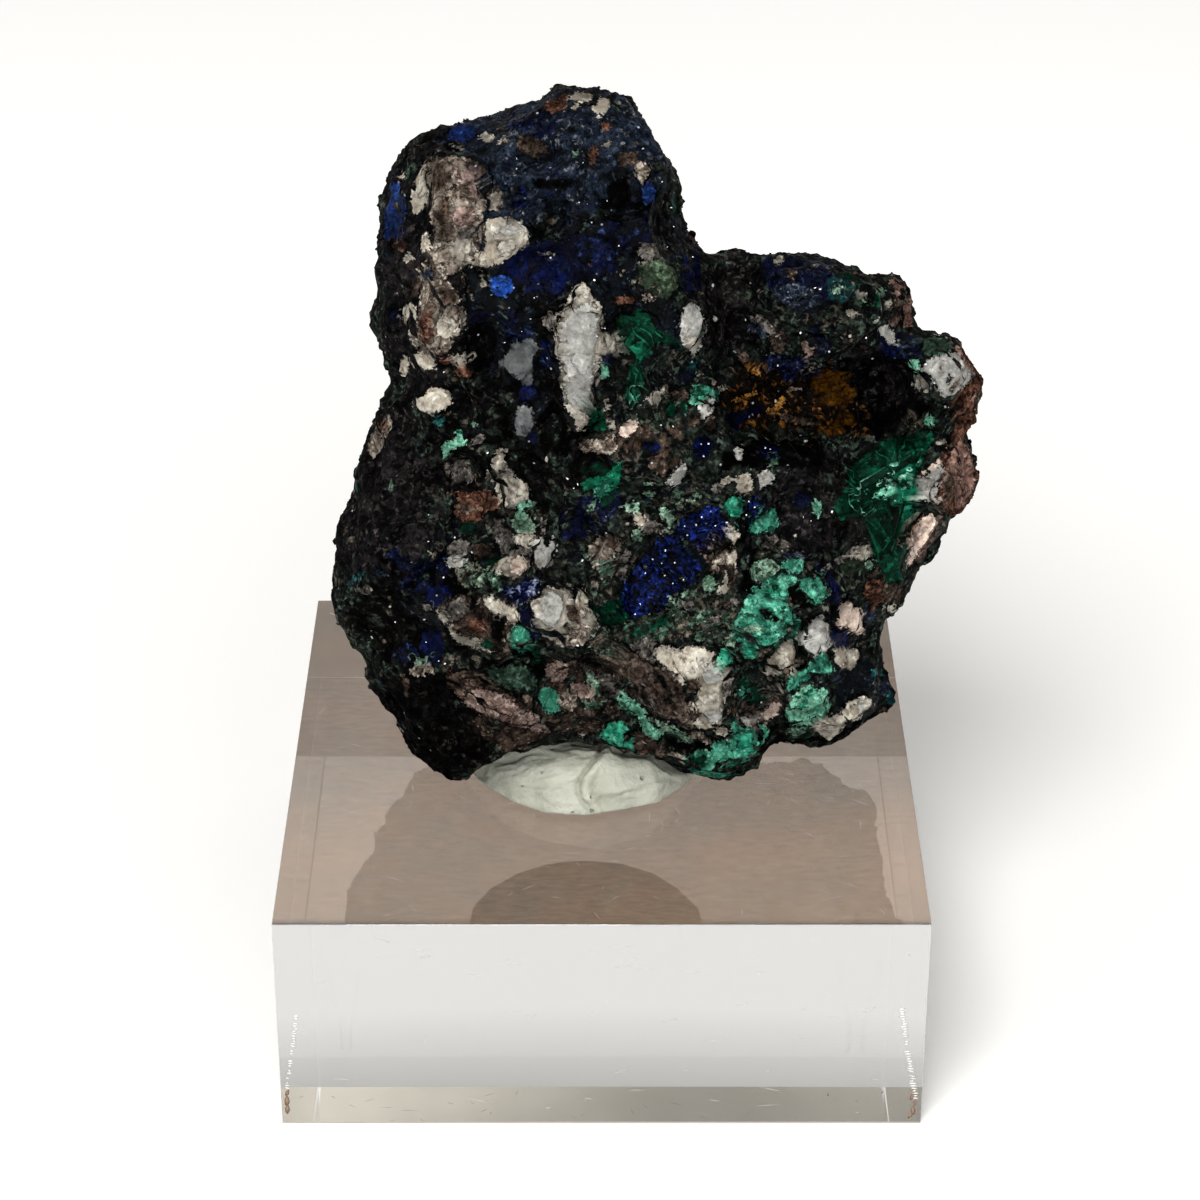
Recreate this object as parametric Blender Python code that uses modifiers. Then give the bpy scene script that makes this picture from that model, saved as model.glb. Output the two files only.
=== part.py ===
"""Azurite and malachite specimen, stuck with putty to a clear acrylic display block.

Row frame: metres, +Z up, +X to the right of the specimen's show side, which faces -Y.
The origin is the middle of the block's underside.

The rock is shaped as a closed pebble whose outline and relief are laid out on the sight plane, an upright
sheet through the rock's middle that leans back square to the way the specimen is looked at. A place on it is
(a, b): millimetres to the right and up. sight_line() carries such a place onto the rock.
"""

import math

import bmesh
import bpy
from mathutils import Matrix, Vector, noise
from mathutils.bvhtree import BVHTree

MM = 0.001

# The display block, a stock two by two by three quarter inch piece of clear acrylic
BLOCK_SIDE = 50.8
BLOCK_HEIGHT = 19.05
BLOCK_EDGE_RADIUS = 0.4

# How the specimen is looked at
SIGHT_PITCH = math.radians(29.4)
SIGHT_POINT = Vector((-0.1, -246.0, 171.8))
ROCK_MIDDLE = Vector((2.2, -3.0, 46.8))
RIGHT = Vector((1, 0, 0))
UP_THE_PLANE = Vector((0, math.sin(SIGHT_PITCH), math.cos(SIGHT_PITCH)))

# The rock's body
ROCK_LEAN = 0.12
FRONT_DEPTH = 10.5
BACK_DEPTH = 13.0
EDGE_FULLNESS = 0.72
ROCK_SUBDIVISIONS = 6
ROCK_VOXEL = 0.5
ROCK_TRIANGLES = 4050

# Broken grains and smaller crumbs over the whole rock
GRAIN_SIZE = 5.4
GRAIN_HEIGHT = 2.1
GRAIN_FLAT = 0.4
GRAIN_MEAN = 0.85
RIM_CALM = 0.6
CRUMB_SIZE = 2.1
CRUMB_HEIGHT = 0.9

# The underside sits a little above the block, curves up to the back and arches over the putty
UNDERSIDE_Z = BLOCK_HEIGHT + 0.8
UNDERSIDE_CURVE = 0.016
UNDERSIDE_LOWEST_Y = -5.0
ARCH_HEIGHT = 4.2
ARCH_MIDDLE = (-2.4, -3.5)
ARCH_RADIUS = 8.0

# Gap kept between two pieces that touch
JOINT_GAP = 0.3

# Putty under the rock: a flattened ball
PUTTY_MIDDLE = Vector((-1.4, -0.4, BLOCK_HEIGHT + 0.5))
PUTTY_RADII = Vector((10.2, 10.2, 5.7))
PUTTY_DENT = 0.05

# The rock's outline as (a, b), anticlockwise from the right-hand edge
OUTLINE = (
    (27.1, 0.0), (26.8, 1.5), (25.9, 2.9), (27.2, 4.6), (27.5, 7.1), (26.8, 8.8), (25.0, 10.3),
    (22.6, 10.6), (22.0, 11.2), (22.1, 13.0), (21.5, 14.5), (20.6, 15.2), (19.0, 15.0), (17.6, 15.5),
    (15.0, 16.6), (12.5, 16.8), (11.0, 16.6), (9.0, 17.0), (6.2, 16.5), (5.2, 17.3), (4.2, 18.4),
    (3.8, 20.0), (3.7, 21.8), (2.8, 24.6), (1.6, 25.9), (0.4, 28.0), (-0.8, 29.2), (-2.2, 29.8),
    (-5.1, 29.9), (-7.4, 28.7), (-9.0, 28.1), (-10.0, 27.5), (-13.8, 27.0), (-15.5, 26.7),
    (-16.6, 26.0), (-18.6, 23.2), (-19.4, 19.0), (-19.5, 16.0), (-19.4, 13.5), (-20.2, 12.0),
    (-19.2, 9.8), (-18.2, 6.4), (-19.0, 5.5), (-20.1, 3.6), (-21.2, 0.0), (-21.9, -2.6),
    (-22.8, -4.2), (-22.8, -5.8), (-22.5, -6.9), (-23.6, -7.7), (-22.9, -8.8), (-23.5, -9.6),
    (-23.4, -10.7), (-21.2, -13.6), (-20.3, -14.3), (-20.3, -17.0), (-19.3, -18.3), (-18.0, -18.9),
    (-17.9, -20.4), (-17.0, -21.9), (-14.5, -24.1), (-12.8, -24.4), (-11.8, -23.8), (-10.2, -22.9),
    (-6.8, -21.6), (-3.6, -21.3), (-0.4, -22.0), (2.0, -22.9), (4.5, -23.6), (7.3, -24.2),
    (9.3, -23.6), (10.4, -22.3), (11.1, -21.0), (13.0, -21.2), (15.5, -21.5), (17.0, -20.8),
    (18.2, -20.0), (19.0, -18.8), (20.3, -18.6), (20.9, -17.9), (19.6, -15.8), (19.3, -13.8),
    (19.7, -11.3), (20.6, -11.2), (21.6, -9.8), (22.6, -7.2), (24.0, -6.0), (25.0, -3.5),
    (26.2, -3.0), (26.9, -1.8),
)

# Relief of the show side: name, a, b, half width, half height, turn in degrees, rise towards the viewer
FRONT_RELIEF = (
    ("tower belly", -5.0, 17.5, 8.5, 9.0, 0, 3.0),
    ("tower brow", -4.0, 26.5, 7.0, 3.0, 0, -1.2),
    ("tower left facet", -14.6, 17.0, 3.6, 9.0, -6, 1.8),
    ("groove beside the facet", -10.6, 22.6, 1.0, 4.6, 4, -1.6),
    ("tower hollow", -3.0, 21.3, 6.0, 1.3, 12, -1.6),
    ("tower right edge", 3.6, 14.0, 1.8, 4.0, 0, 1.6),
    ("neck recess", 8.4, 13.0, 2.9, 4.6, 0, -7.0),
    ("cave", 14.5, 5.8, 8.2, 4.4, -6, -9.0),
    ("cave right end", 21.2, 7.0, 2.6, 3.4, 0, -3.5),
    ("cave roof", 15.0, 13.8, 5.0, 2.4, -6, 2.6),
    ("right shoulder block", 24.6, 7.4, 2.9, 3.0, 0, 2.8),
    ("fan wall", 20.6, -2.6, 3.0, 6.0, 12, -1.6),
    ("right rim", 25.2, -1.4, 1.8, 4.6, 10, 1.8),
    ("lip below the cave", 6.5, 0.4, 7.5, 2.2, -4, 2.8),
    ("middle boss", -1.6, 1.5, 4.6, 3.8, 0, 2.6),
    ("left shoulder", -10.0, 6.0, 4.0, 3.6, 0, 1.2),
    ("azurite trough", 4.4, -6.3, 6.5, 1.9, 35, -1.4),
    ("trough lower rim", 7.0, -9.2, 4.5, 1.5, 35, 2.2),
    ("malachite bulge", 11.6, -10.2, 4.3, 4.6, 0, 3.2),
    ("left ledge", -9.0, -11.0, 7.4, 2.6, -14, 4.2),
    ("gap under the ledge", -8.0, -15.4, 7.4, 1.3, -8, -3.6),
    ("left hollow", -12.4, -3.5, 3.0, 4.4, 0, -2.2),
    ("left wall", -19.6, -3.0, 2.6, 7.0, 6, 1.4),
    ("brown slab", 3.6, -17.6, 6.6, 2.5, -36, 3.8),
    ("gap over the slab", 0.4, -13.4, 3.6, 0.9, -20, -1.6),
    ("pink flake ledge", -9.8, -18.4, 5.4, 1.8, -26, 2.4),
    ("lower right knob", 14.6, -17.2, 3.6, 3.2, 0, 3.2),
    ("far right knob", 18.6, -13.0, 1.6, 3.2, 0, 1.2),
    ("lower left mass", -16.4, -18.0, 3.8, 4.6, 0, 2.0),
)

# Relief of the hidden side, in the same terms, rising away from the viewer
BACK_RELIEF = (
    ("back of the tower", -8.0, 15.0, 8.0, 9.0, 0, 2.2),
    ("back of the right lobe", 16.0, 4.0, 7.0, 7.0, 0, -2.0),
    ("back ledge", -2.0, -4.0, 14.0, 3.0, -12, 2.8),
    ("back gully", 4.0, 9.0, 2.6, 9.0, 24, -2.8),
    ("back knob", 10.0, -10.0, 5.0, 4.0, 0, 2.4),
    ("back hollow", -12.0, 2.0, 4.0, 4.0, 0, -2.0),
)

# Growths on the rock: name, material, way of growing, and its lumps, each as
# (a, b, width, height, turn in degrees, rise out of the rock). Each is cut to fit those above it.
GROWTHS = (
    ("malachite_bead", "malachite", "bubbles", ((8.1, -3.0, 2.0, 2.4, 0, 1.7),)),
    ("malachite_bead_low", "malachite", "bubbles", ((10.9, -4.2, 2.2, 2.0, 0, 1.6),)),
    ("malachite_bead_ledge", "malachite", "bubbles", ((-8.4, -13.0, 2.4, 2.3, 0, 1.6),)),
    ("malachite_ball", "malachite", "bubbles", ((-1.1, -20.6, 2.7, 2.5, 0, 1.9),)),
    ("malachite_tuft", "malachite", "bubbles", ((6.1, 6.2, 2.6, 2.4, 0, 1.5),)),
    ("malachite_mass", "malachite", "bubbles", (
        (11.8, -8.4, 6.4, 5.0, 0, 2.5), (10.3, -11.7, 5.8, 5.4, -10, 2.4),
        (14.2, -9.6, 3.4, 3.6, 0, 2.1), (8.9, -14.0, 3.0, 3.2, 0, 1.8))),
    ("malachite_knob_lower", "malachite", "bubbles", (
        (14.1, -17.4, 4.6, 4.4, 0, 2.5), (13.0, -19.2, 3.2, 2.6, 0, 1.9), (15.0, -15.3, 2.4, 2.4, 0, 1.7))),
    ("malachite_foot", "malachite", "bubbles", (
        (8.6, -21.5, 4.8, 3.8, 18, 2.3), (6.2, -22.6, 3.8, 2.6, 0, 1.9))),
    ("calcite_vein_right", "quartz", "crystal", ((24.5, -2.4, 2.5, 10.5, -12, 2.2),)),
    ("malachite_fan", "malachite", "fan", ((20.0, -1.9, 7.0, 12.6, 10, 1.8),)),
    ("malachite_spray", "malachite", "fan", ((0.8, 10.3, 4.2, 5.0, 0, 1.4), (0.7, 7.2, 2.6, 4.0, 0, 1.3))),
    ("quartz_blade", "quartz", "crystal", (
        (-3.7, 10.8, 4.2, 6.8, 4, 2.5), (-4.1, 6.6, 3.0, 6.8, -6, 2.1),
        (-3.3, 13.4, 2.9, 3.2, -20, 2.0), (-1.9, 9.7, 3.2, 2.2, 0, 1.8))),
    ("quartz_cap", "quartz", "crystal", ((-9.6, 18.7, 5.0, 3.3, -8, 1.9), (-10.4, 16.8, 3.2, 3.6, 20, 1.8))),
    ("quartz_knob_neck", "quartz", "crystal", ((5.0, 11.3, 2.5, 4.6, -6, 2.0),)),
    ("quartz_knob_shoulder", "quartz", "crystal", (
        (24.2, 8.0, 5.2, 3.3, -14, 1.9), (24.9, 6.5, 3.2, 2.9, 0, 1.8))),
    ("quartz_knob_left", "quartz", "crystal", ((-15.6, 5.4, 3.8, 2.4, -4, 1.7),)),
    ("quartz_tooth", "quartz", "crystal", ((-6.6, -6.4, 2.0, 2.8, -12, 1.7),)),
    ("quartz_pebble", "quartz", "crystal", ((-9.2, -7.4, 3.3, 2.1, 14, 1.7),)),
    ("quartz_spur", "quartz", "crystal", ((-9.9, 0.2, 2.6, 4.0, 25, 1.8), (-8.9, -2.2, 2.5, 4.4, 22, 1.8))),
    ("quartz_lump", "quartz", "crystal", ((-6.2, -11.0, 4.4, 5.2, -10, 2.5), (-4.0, -11.6, 3.6, 4.8, -6, 2.4))),
    ("quartz_bar_lower", "quartz", "crystal", ((17.1, -19.3, 5.4, 1.9, 24, 1.5),)),
    ("smoky_quartz_upper", "quartz", "crystal", ((-8.8, 8.8, 3.0, 3.8, 0, 1.6),)),
    ("smoky_quartz_lower", "quartz", "crystal", ((-8.4, 4.0, 2.2, 3.5, 0, 1.5),)),
    ("calcite_chip_right", "quartz", "crystal", ((14.8, -12.9, 2.4, 3.8, -20, 2.0),)),
    ("calcite_chip_left", "quartz", "crystal", ((12.0, -14.8, 3.8, 2.4, 25, 2.0),)),
    ("calcite_chip_pink", "quartz", "crystal", ((17.0, -11.6, 3.0, 2.5, -30, 1.7),)),
    ("slab_quartz_rim", "quartz", "crystal", (
        (5.5, -15.2, 4.4, 3.6, -10, 2.3), (6.6, -17.6, 3.4, 5.8, 0, 2.1))),
    ("sandstone_slab", "sandstone", "crystal", (
        (0.8, -16.4, 7.4, 3.0, -32, 2.0), (3.2, -18.6, 7.2, 3.0, -42, 1.9))),
    ("sandstone_flake", "sandstone", "crystal", ((-10.3, -18.1, 7.2, 2.2, -26, 1.8),)),
    ("sandstone_clast", "sandstone", "crystal", (
        (-13.7, 21.6, 5.6, 8.8, 10, 2.2), (-14.9, 16.6, 4.6, 9.4, -6, 2.2), (-15.3, 11.6, 5.0, 7.4, 0, 2.2))),
    ("azurite_druse", "azurite", "crust", (
        (1.5, -8.9, 5.2, 6.0, -28, 2.3), (4.0, -6.0, 5.4, 4.4, 38, 2.3), (6.9, -3.9, 5.0, 3.2, 24, 2.0))),
    ("azurite_druse_tail", "azurite", "crust", ((10.5, -2.5, 2.6, 2.3, 20, 1.4),)),
    ("azurite_pod", "azurite", "crust", ((-15.1, -2.6, 2.9, 6.4, -8, 1.7),)),
    ("azurite_crest", "azurite", "crust", ((12.5, 14.8, 5.0, 3.2, 0, 1.8), (15.5, 14.6, 4.4, 3.0, -6, 1.8))),
    ("azurite_cave_rim", "azurite", "crust", ((12.3, 8.1, 5.4, 2.1, 10, 1.5), (14.3, 9.6, 2.4, 3.6, 0, 1.5))),
    ("azurite_rim_right", "azurite", "crust", ((16.2, -8.8, 1.9, 4.6, 20, 1.5),)),
)

# Fineness of the growths' solids
GROWTH_VOXEL = 0.3
TRIANGLES_PER_SQUARE_MM = 2.7
TRIANGLES_LEAST = 44
TRIANGLES_MOST = 150

# Shapes of the lumps: unevenness of their outlines, how far they stand out of the rock, and what is on them
RAGGED = 0.3
PROUD = 0.25
CRYSTAL_FACES = 9
CRYSTAL_CUT = 0.84
PEAK_HEIGHT = 0.16
FAN_RAYS = 11
GOLDEN_ANGLE = math.radians(137.5)

COLOURS = {
    "acrylic": ((0.93, 0.94, 0.93), 0.08),
    "putty": ((0.56, 0.57, 0.46), 0.75),
    "rock": ((0.045, 0.04, 0.038), 0.85),
    "quartz": ((0.55, 0.52, 0.47), 0.45),
    "sandstone": ((0.2, 0.14, 0.11), 0.8),
    "azurite": ((0.01, 0.015, 0.16), 0.3),
    "malachite": ((0.03, 0.28, 0.19), 0.6),
}


def clear_scene():
    for obj in list(bpy.data.objects):
        bpy.data.objects.remove(obj, do_unlink=True)


def make_collection(name, shown=True):
    group = bpy.data.collections.new(name)
    bpy.context.scene.collection.children.link(group)
    group.hide_render = not shown
    return group


def make_material(name):
    colour, roughness = COLOURS[name]
    material = bpy.data.materials.new(name)
    material.use_nodes = True
    shader = material.node_tree.nodes["Principled BSDF"]
    shader.inputs["Base Color"].default_value = (*colour, 1)
    shader.inputs["Roughness"].default_value = roughness
    shader.inputs["Metallic"].default_value = 0
    if name == "acrylic":
        shader.inputs["Transmission Weight"].default_value = 1
        shader.inputs["IOR"].default_value = 1.49
    return material


def link_mesh(name, bm, group, material):
    """A named object made from bm, whose places are millimetres, at its real size."""
    bmesh.ops.scale(bm, vec=(MM, MM, MM), verts=bm.verts)
    bmesh.ops.recalc_face_normals(bm, faces=bm.faces)
    mesh = bpy.data.meshes.new(name)
    bm.to_mesh(mesh)
    bm.free()
    mesh.materials.append(material)
    obj = bpy.data.objects.new(name, mesh)
    group.objects.link(obj)
    return obj


def sight_line(a, b):
    """Where the line of sight through (a, b) crosses the rock's leaning middle, and the way to the viewer."""
    aim = ROCK_MIDDLE + a * RIGHT + b * UP_THE_PLANE
    across_middle = Vector((0, 1, -ROCK_LEAN))
    share = (ROCK_MIDDLE - SIGHT_POINT).dot(across_middle) / (aim - SIGHT_POINT).dot(across_middle)
    crossing = SIGHT_POINT.lerp(aim, share)
    return crossing, (SIGHT_POINT - crossing).normalized()


def outline_corners():
    """The outline's corners as (angle, distance from the rock's middle), with one more past each end."""
    corners = sorted((math.atan2(b, a) % math.tau, math.hypot(a, b)) for a, b in OUTLINE)
    first, last = corners[0], corners[-1]
    return [(last[0] - math.tau, last[1]), *corners, (first[0] + math.tau, first[1])]


def outline_radius(corners, angle):
    for (low, r_low), (high, r_high) in zip(corners, corners[1:]):
        if low <= angle <= high:
            return r_low + (r_high - r_low) * (angle - low) / (high - low)
    raise ValueError("angle outside one turn")


def relief_at(table, a, b):
    """Sum of the relief's swells and hollows at (a, b). Each has a flat top and a steep side."""
    total = 0.0
    for _, a0, b0, half_a, half_b, turn, rise in table:
        c, s = math.cos(math.radians(turn)), math.sin(math.radians(turn))
        da, db = a - a0, b - b0
        along, up = (da * c + db * s) / half_a, (db * c - da * s) / half_b
        total += rise * math.exp(-((along**2 + up**2) ** 1.6))
    return total


def rock_point(direction, corners):
    """The rock's surface in a direction of the unit sphere: x right, y to the viewer, z up the sight plane."""
    spread = min(1.0, math.hypot(direction.x, direction.z))
    angle = math.atan2(direction.z, direction.x) % math.tau
    reach = outline_radius(corners, angle) * spread**EDGE_FULLNESS
    a, b = reach * math.cos(angle), reach * math.sin(angle)
    crossing, to_viewer = sight_line(a, b)
    bulge = abs(direction.y) ** EDGE_FULLNESS
    away_from_rim = 1 - spread**8
    if direction.y >= 0:
        offset = FRONT_DEPTH * bulge + relief_at(FRONT_RELIEF, a, b) * away_from_rim
    else:
        offset = -BACK_DEPTH * bulge - relief_at(BACK_RELIEF, a, b) * away_from_rim
    return crossing + offset * to_viewer


def roughen(point, outward, strength):
    """Moves a point of the rock by broken grains with flat tops and by smaller crumbs."""
    distances, _ = noise.voronoi(point / GRAIN_SIZE)
    inside_grain = min(distances[1] - distances[0], GRAIN_FLAT) / GRAIN_FLAT
    crumb = noise.noise(point / CRUMB_SIZE)
    return point + strength * outward * (GRAIN_HEIGHT * (inside_grain - GRAIN_MEAN) + CRUMB_HEIGHT * crumb)


def underside(x, y):
    """Lowest height that the rock reaches over this place of the block."""
    curve = UNDERSIDE_CURVE * max(0.0, y - UNDERSIDE_LOWEST_Y) ** 2
    from_arch = math.hypot(x - ARCH_MIDDLE[0], y - ARCH_MIDDLE[1]) / ARCH_RADIUS
    return UNDERSIDE_Z + curve + ARCH_HEIGHT * math.exp(-(from_arch**4))


def evaluated_mesh(obj):
    graph = bpy.context.evaluated_depsgraph_get()
    return bpy.data.meshes.new_from_object(obj.evaluated_get(graph))


def islands_of(bm):
    """The mesh's separate bodies, smallest first, each as a list of its vertices."""
    waiting, islands = set(bm.verts), []
    while waiting:
        search, island = [waiting.pop()], []
        while search:
            vert = search.pop()
            island.append(vert)
            for edge in vert.link_edges:
                other = edge.other_vert(vert)
                if other in waiting:
                    waiting.remove(other)
                    search.append(other)
        islands.append(island)
    return sorted(islands, key=len)


def settle(obj, group):
    """Replaces obj by its evaluated mesh, without the scraps that a cut leaves beside the main body."""
    mesh = evaluated_mesh(obj)
    bm = bmesh.new()
    bm.from_mesh(mesh)
    for scrap in islands_of(bm)[:-1]:
        bmesh.ops.delete(bm, geom=scrap, context="VERTS")
    bmesh.ops.triangulate(bm, faces=bm.faces)
    bm.to_mesh(mesh)
    bm.free()
    name = obj.name
    bpy.data.objects.remove(obj, do_unlink=True)
    made = bpy.data.objects.new(name, mesh)
    group.objects.link(made)
    return made


def even_out(obj, voxel, group):
    """Fuses obj's crossing shells into one skin of even faces."""
    fuse = obj.modifiers.new("Fuse", "REMESH")
    fuse.mode = "VOXEL"
    fuse.voxel_size = voxel * MM
    return settle(obj, group)


def thin_out(obj, triangles, group):
    """Leaves about this many triangles, as broad facets."""
    thin = obj.modifiers.new("Facets", "DECIMATE")
    thin.ratio = triangles / len(obj.data.polygons)
    return settle(obj, group)


def make_rock(group, material):
    """The dark matrix rock, with its tower, cave, ledges and slabs."""
    corners = outline_corners()
    bm = bmesh.new()
    bmesh.ops.create_icosphere(bm, subdivisions=ROCK_SUBDIVISIONS, radius=1)
    strengths = [1 - RIM_CALM * math.hypot(vert.co.x, vert.co.z) ** 6 for vert in bm.verts]
    for vert in bm.verts:
        vert.co = rock_point(vert.co.normalized(), corners)
    bm.normal_update()
    places = [roughen(vert.co.copy(), vert.normal, strength) for vert, strength in zip(bm.verts, strengths)]
    for vert, place in zip(bm.verts, places):
        place.z = max(place.z, underside(place.x, place.y))
        vert.co = place
    rock = link_mesh("matrix_rock", bm, group, material)
    return thin_out(even_out(rock, ROCK_VOXEL, group), ROCK_TRIANGLES, group)


def make_cutters(obj, group):
    """Two copies of obj that cut what lies against it: one grown outwards by the joint gap, one as it is."""
    made = []
    for grown in (JOINT_GAP, 0):
        copy = bpy.data.objects.new("cutter_" + obj.name, evaluated_mesh(obj))
        if grown:
            grow = copy.modifiers.new("Joint gap", "DISPLACE")
            grow.mid_level = 0
            grow.strength = grown * MM
        copy.hide_render = True
        copy.display_type = "WIRE"
        group.objects.link(copy)
        made.append(copy)
    bpy.context.view_layer.update()
    return made


def seat_on(tree, a, b):
    """Where the line of sight through (a, b) meets the rock, with the surface's outward normal."""
    crossing, to_viewer = sight_line(a, b)
    start = crossing + 2 * (FRONT_DEPTH + BACK_DEPTH) * to_viewer
    place, normal, _, _ = tree.ray_cast(start * MM, -to_viewer)
    return place / MM, normal


def growth_frame(tree, a, b, turn):
    """Placement matrix: local x across, y up the growth, z out of the rock towards the viewer."""
    place, normal = seat_on(tree, a, b)
    _, to_viewer = sight_line(a, b)
    out = (normal + 2 * to_viewer).normalized()
    across = UP_THE_PLANE.cross(out).normalized()
    up = out.cross(across)
    axes = Matrix((across, up, out)).transposed().to_4x4()
    return Matrix.Translation(place + PROUD * out) @ axes @ Matrix.Rotation(math.radians(turn), 4, "Z")


def add_ball(bm, centre, radii, subdivisions=3):
    shape = Matrix.Translation(centre) @ Matrix.Diagonal((*radii, 1))
    return bmesh.ops.create_icosphere(bm, subdivisions=subdivisions, radius=1, matrix=shape)["verts"]


def ragged_ball(bm, width, height, rise, seed, subdivisions=3):
    """A flattened ball with an uneven outline."""
    verts = add_ball(bm, (0, 0, 0), (width / 2, height / 2, rise), subdivisions)
    for vert in verts:
        towards = Vector((vert.co.x / width, vert.co.y / height, 0)).normalized()
        swell = 1 + RAGGED * noise.noise(towards * 1.4 + Vector((seed, 0, seed / 3)))
        vert.co.x *= swell
        vert.co.y *= swell
    return verts


def crystal_lump(bm, width, height, rise, seed):
    """A broken crystal: a lump whose sides are flat, tilted faces."""
    verts = ragged_ball(bm, width, height, rise, seed)
    for face in range(CRYSTAL_FACES):
        turn = seed + face * GOLDEN_ANGLE
        tilt = math.radians(10 + 64 * face / CRYSTAL_FACES)
        flat = Vector((math.cos(turn) * math.sin(tilt), math.sin(turn) * math.sin(tilt), math.cos(tilt)))
        reach = Vector((flat.x * width / 2, flat.y * height / 2, flat.z * rise)).length
        for vert in verts:
            past = vert.co.dot(flat) - CRYSTAL_CUT * reach
            if past > 0:
                vert.co -= past * flat
    return verts


def crust_lump(bm, width, height, rise, seed):
    """A low crust with small peaks all over it."""
    verts = ragged_ball(bm, width, height, rise, seed)
    for vert in verts:
        vert.co *= 1 + PEAK_HEIGHT * noise.noise(vert.co * 1.5 + Vector((0, seed, 0)))
    return verts


def fan_lump(bm, width, height, rise, seed):
    """A low dome pleated into rays that spread from its middle."""
    verts = ragged_ball(bm, width, height, rise, seed, 4)
    for vert in verts:
        angle = math.atan2(vert.co.y / height, vert.co.x / width)
        away = math.hypot(vert.co.x / width, vert.co.y / height) * 2
        pleat = away * math.sin(FAN_RAYS * angle + seed)
        vert.co.z *= 1 + 0.5 * pleat
        vert.co.x *= 1 + 0.12 * pleat
        vert.co.y *= 1 + 0.12 * pleat
    return verts


def bubble_lump(bm, width, height, rise, seed):
    """Grape-like malachite: a low mound covered with round knobs set on a spiral."""
    add_ball(bm, (0, 0, 0), (width * 0.44, height * 0.44, rise * 0.8))
    knobs = max(5, int(width * height * 0.6))
    for knob in range(knobs):
        share = math.sqrt((knob + 0.5) / knobs)
        angle = knob * GOLDEN_ANGLE + seed
        place = Vector((share * width * 0.4 * math.cos(angle), share * height * 0.4 * math.sin(angle), 0))
        place.z = rise * 0.62 * math.sqrt(1 - share**2)
        size = 0.35 + 0.08 * min(width, height) * (1 + 0.5 * math.sin(3.1 * knob + seed))
        add_ball(bm, place, (size, size, size), 2)


LUMPS = {"crystal": crystal_lump, "crust": crust_lump, "fan": fan_lump, "bubbles": bubble_lump}


def boxes_meet(one, other):
    """Whether two objects' boxes come within two joint gaps of each other."""
    for axis in range(3):
        lows = [min(corner[axis] for corner in obj.bound_box) for obj in (one, other)]
        highs = [max(corner[axis] for corner in obj.bound_box) for obj in (one, other)]
        if max(lows) > min(highs) + 2 * JOINT_GAP * MM:
            return False
    return True


def cut_to_fit(obj, cutters, group):
    """Takes from obj what the cutters near it hold. Their grown surfaces cross themselves in creases."""
    for cutter in cutters:
        if boxes_meet(obj, cutter):
            cut = obj.modifiers.new("Cut by " + cutter.name, "BOOLEAN")
            cut.operation = "DIFFERENCE"
            cut.solver = "MANIFOLD"
            cut.object = cutter
    return settle(obj, group)


def make_growth(row, tree, cutters, group, materials):
    """One mineral growth: its lumps fused together, seated on the rock and cut to fit its neighbours."""
    name, kind, way, lumps = row
    bm = bmesh.new()
    area = 0.0
    for a, b, width, height, turn, rise in lumps:
        lump = bmesh.new()
        LUMPS[way](lump, width, height, rise, seed=a + 3 * b)
        bmesh.ops.transform(lump, matrix=growth_frame(tree, a, b, turn), verts=lump.verts)
        part_mesh = bpy.data.meshes.new(name + "_lump")
        lump.to_mesh(part_mesh)
        lump.free()
        bm.from_mesh(part_mesh)
        bpy.data.meshes.remove(part_mesh)
        area += width * height
    growth = even_out(link_mesh(name, bm, group, materials[kind]), GROWTH_VOXEL, group)
    wanted = min(TRIANGLES_MOST, max(TRIANGLES_LEAST, area * TRIANGLES_PER_SQUARE_MM))
    growth = thin_out(growth, wanted, group)
    return cut_to_fit(growth, cutters, group)


def make_putty(cutters, group, material):
    """The blob of putty squeezed between the rock's underside and the block."""
    bm = bmesh.new()
    bmesh.ops.create_uvsphere(bm, u_segments=20, v_segments=12, radius=1)
    for vert in bm.verts:
        wave = 1 + PUTTY_DENT * noise.noise(vert.co * 2.3)
        vert.co = Vector(vert.co[i] * PUTTY_RADII[i] * wave + PUTTY_MIDDLE[i] for i in range(3))
    floor = BLOCK_HEIGHT + JOINT_GAP
    everything = [*bm.verts, *bm.edges, *bm.faces]
    low = bmesh.ops.bisect_plane(
        bm, geom=everything, plane_co=(0, 0, floor), plane_no=(0, 0, -1), clear_outer=True
    )
    rim = [item for item in low["geom_cut"] if isinstance(item, bmesh.types.BMEdge)]
    bmesh.ops.contextual_create(bm, geom=rim)
    putty = link_mesh("mounting_putty", bm, group, material)
    return cut_to_fit(putty, cutters, group)


def make_block(group, material):
    bm = bmesh.new()
    bmesh.ops.create_cube(bm, size=1)
    bmesh.ops.scale(bm, vec=(BLOCK_SIDE, BLOCK_SIDE, BLOCK_HEIGHT), verts=bm.verts)
    bmesh.ops.translate(bm, vec=(0, 0, BLOCK_HEIGHT / 2), verts=bm.verts)
    block = link_mesh("acrylic_block", bm, group, material)
    edges = block.modifiers.new("Eased edges", "BEVEL")
    edges.width = BLOCK_EDGE_RADIUS * MM
    edges.segments = 2
    return block


def main():
    clear_scene()
    specimen = make_collection("azurite_malachite_specimen")
    helpers = make_collection("cutters", shown=False)
    materials = {name: make_material(name) for name in COLOURS}
    make_block(specimen, materials["acrylic"])
    rock = make_rock(specimen, materials["rock"])
    cutters = make_cutters(rock, helpers)
    bm = bmesh.new()
    bm.from_mesh(evaluated_mesh(rock))
    tree = BVHTree.FromBMesh(bm)
    bm.free()
    for row in GROWTHS:
        growth = make_growth(row, tree, cutters, specimen, materials)
        cutters += make_cutters(growth, helpers)
    make_putty(cutters, specimen, materials["putty"])


main()
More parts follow.
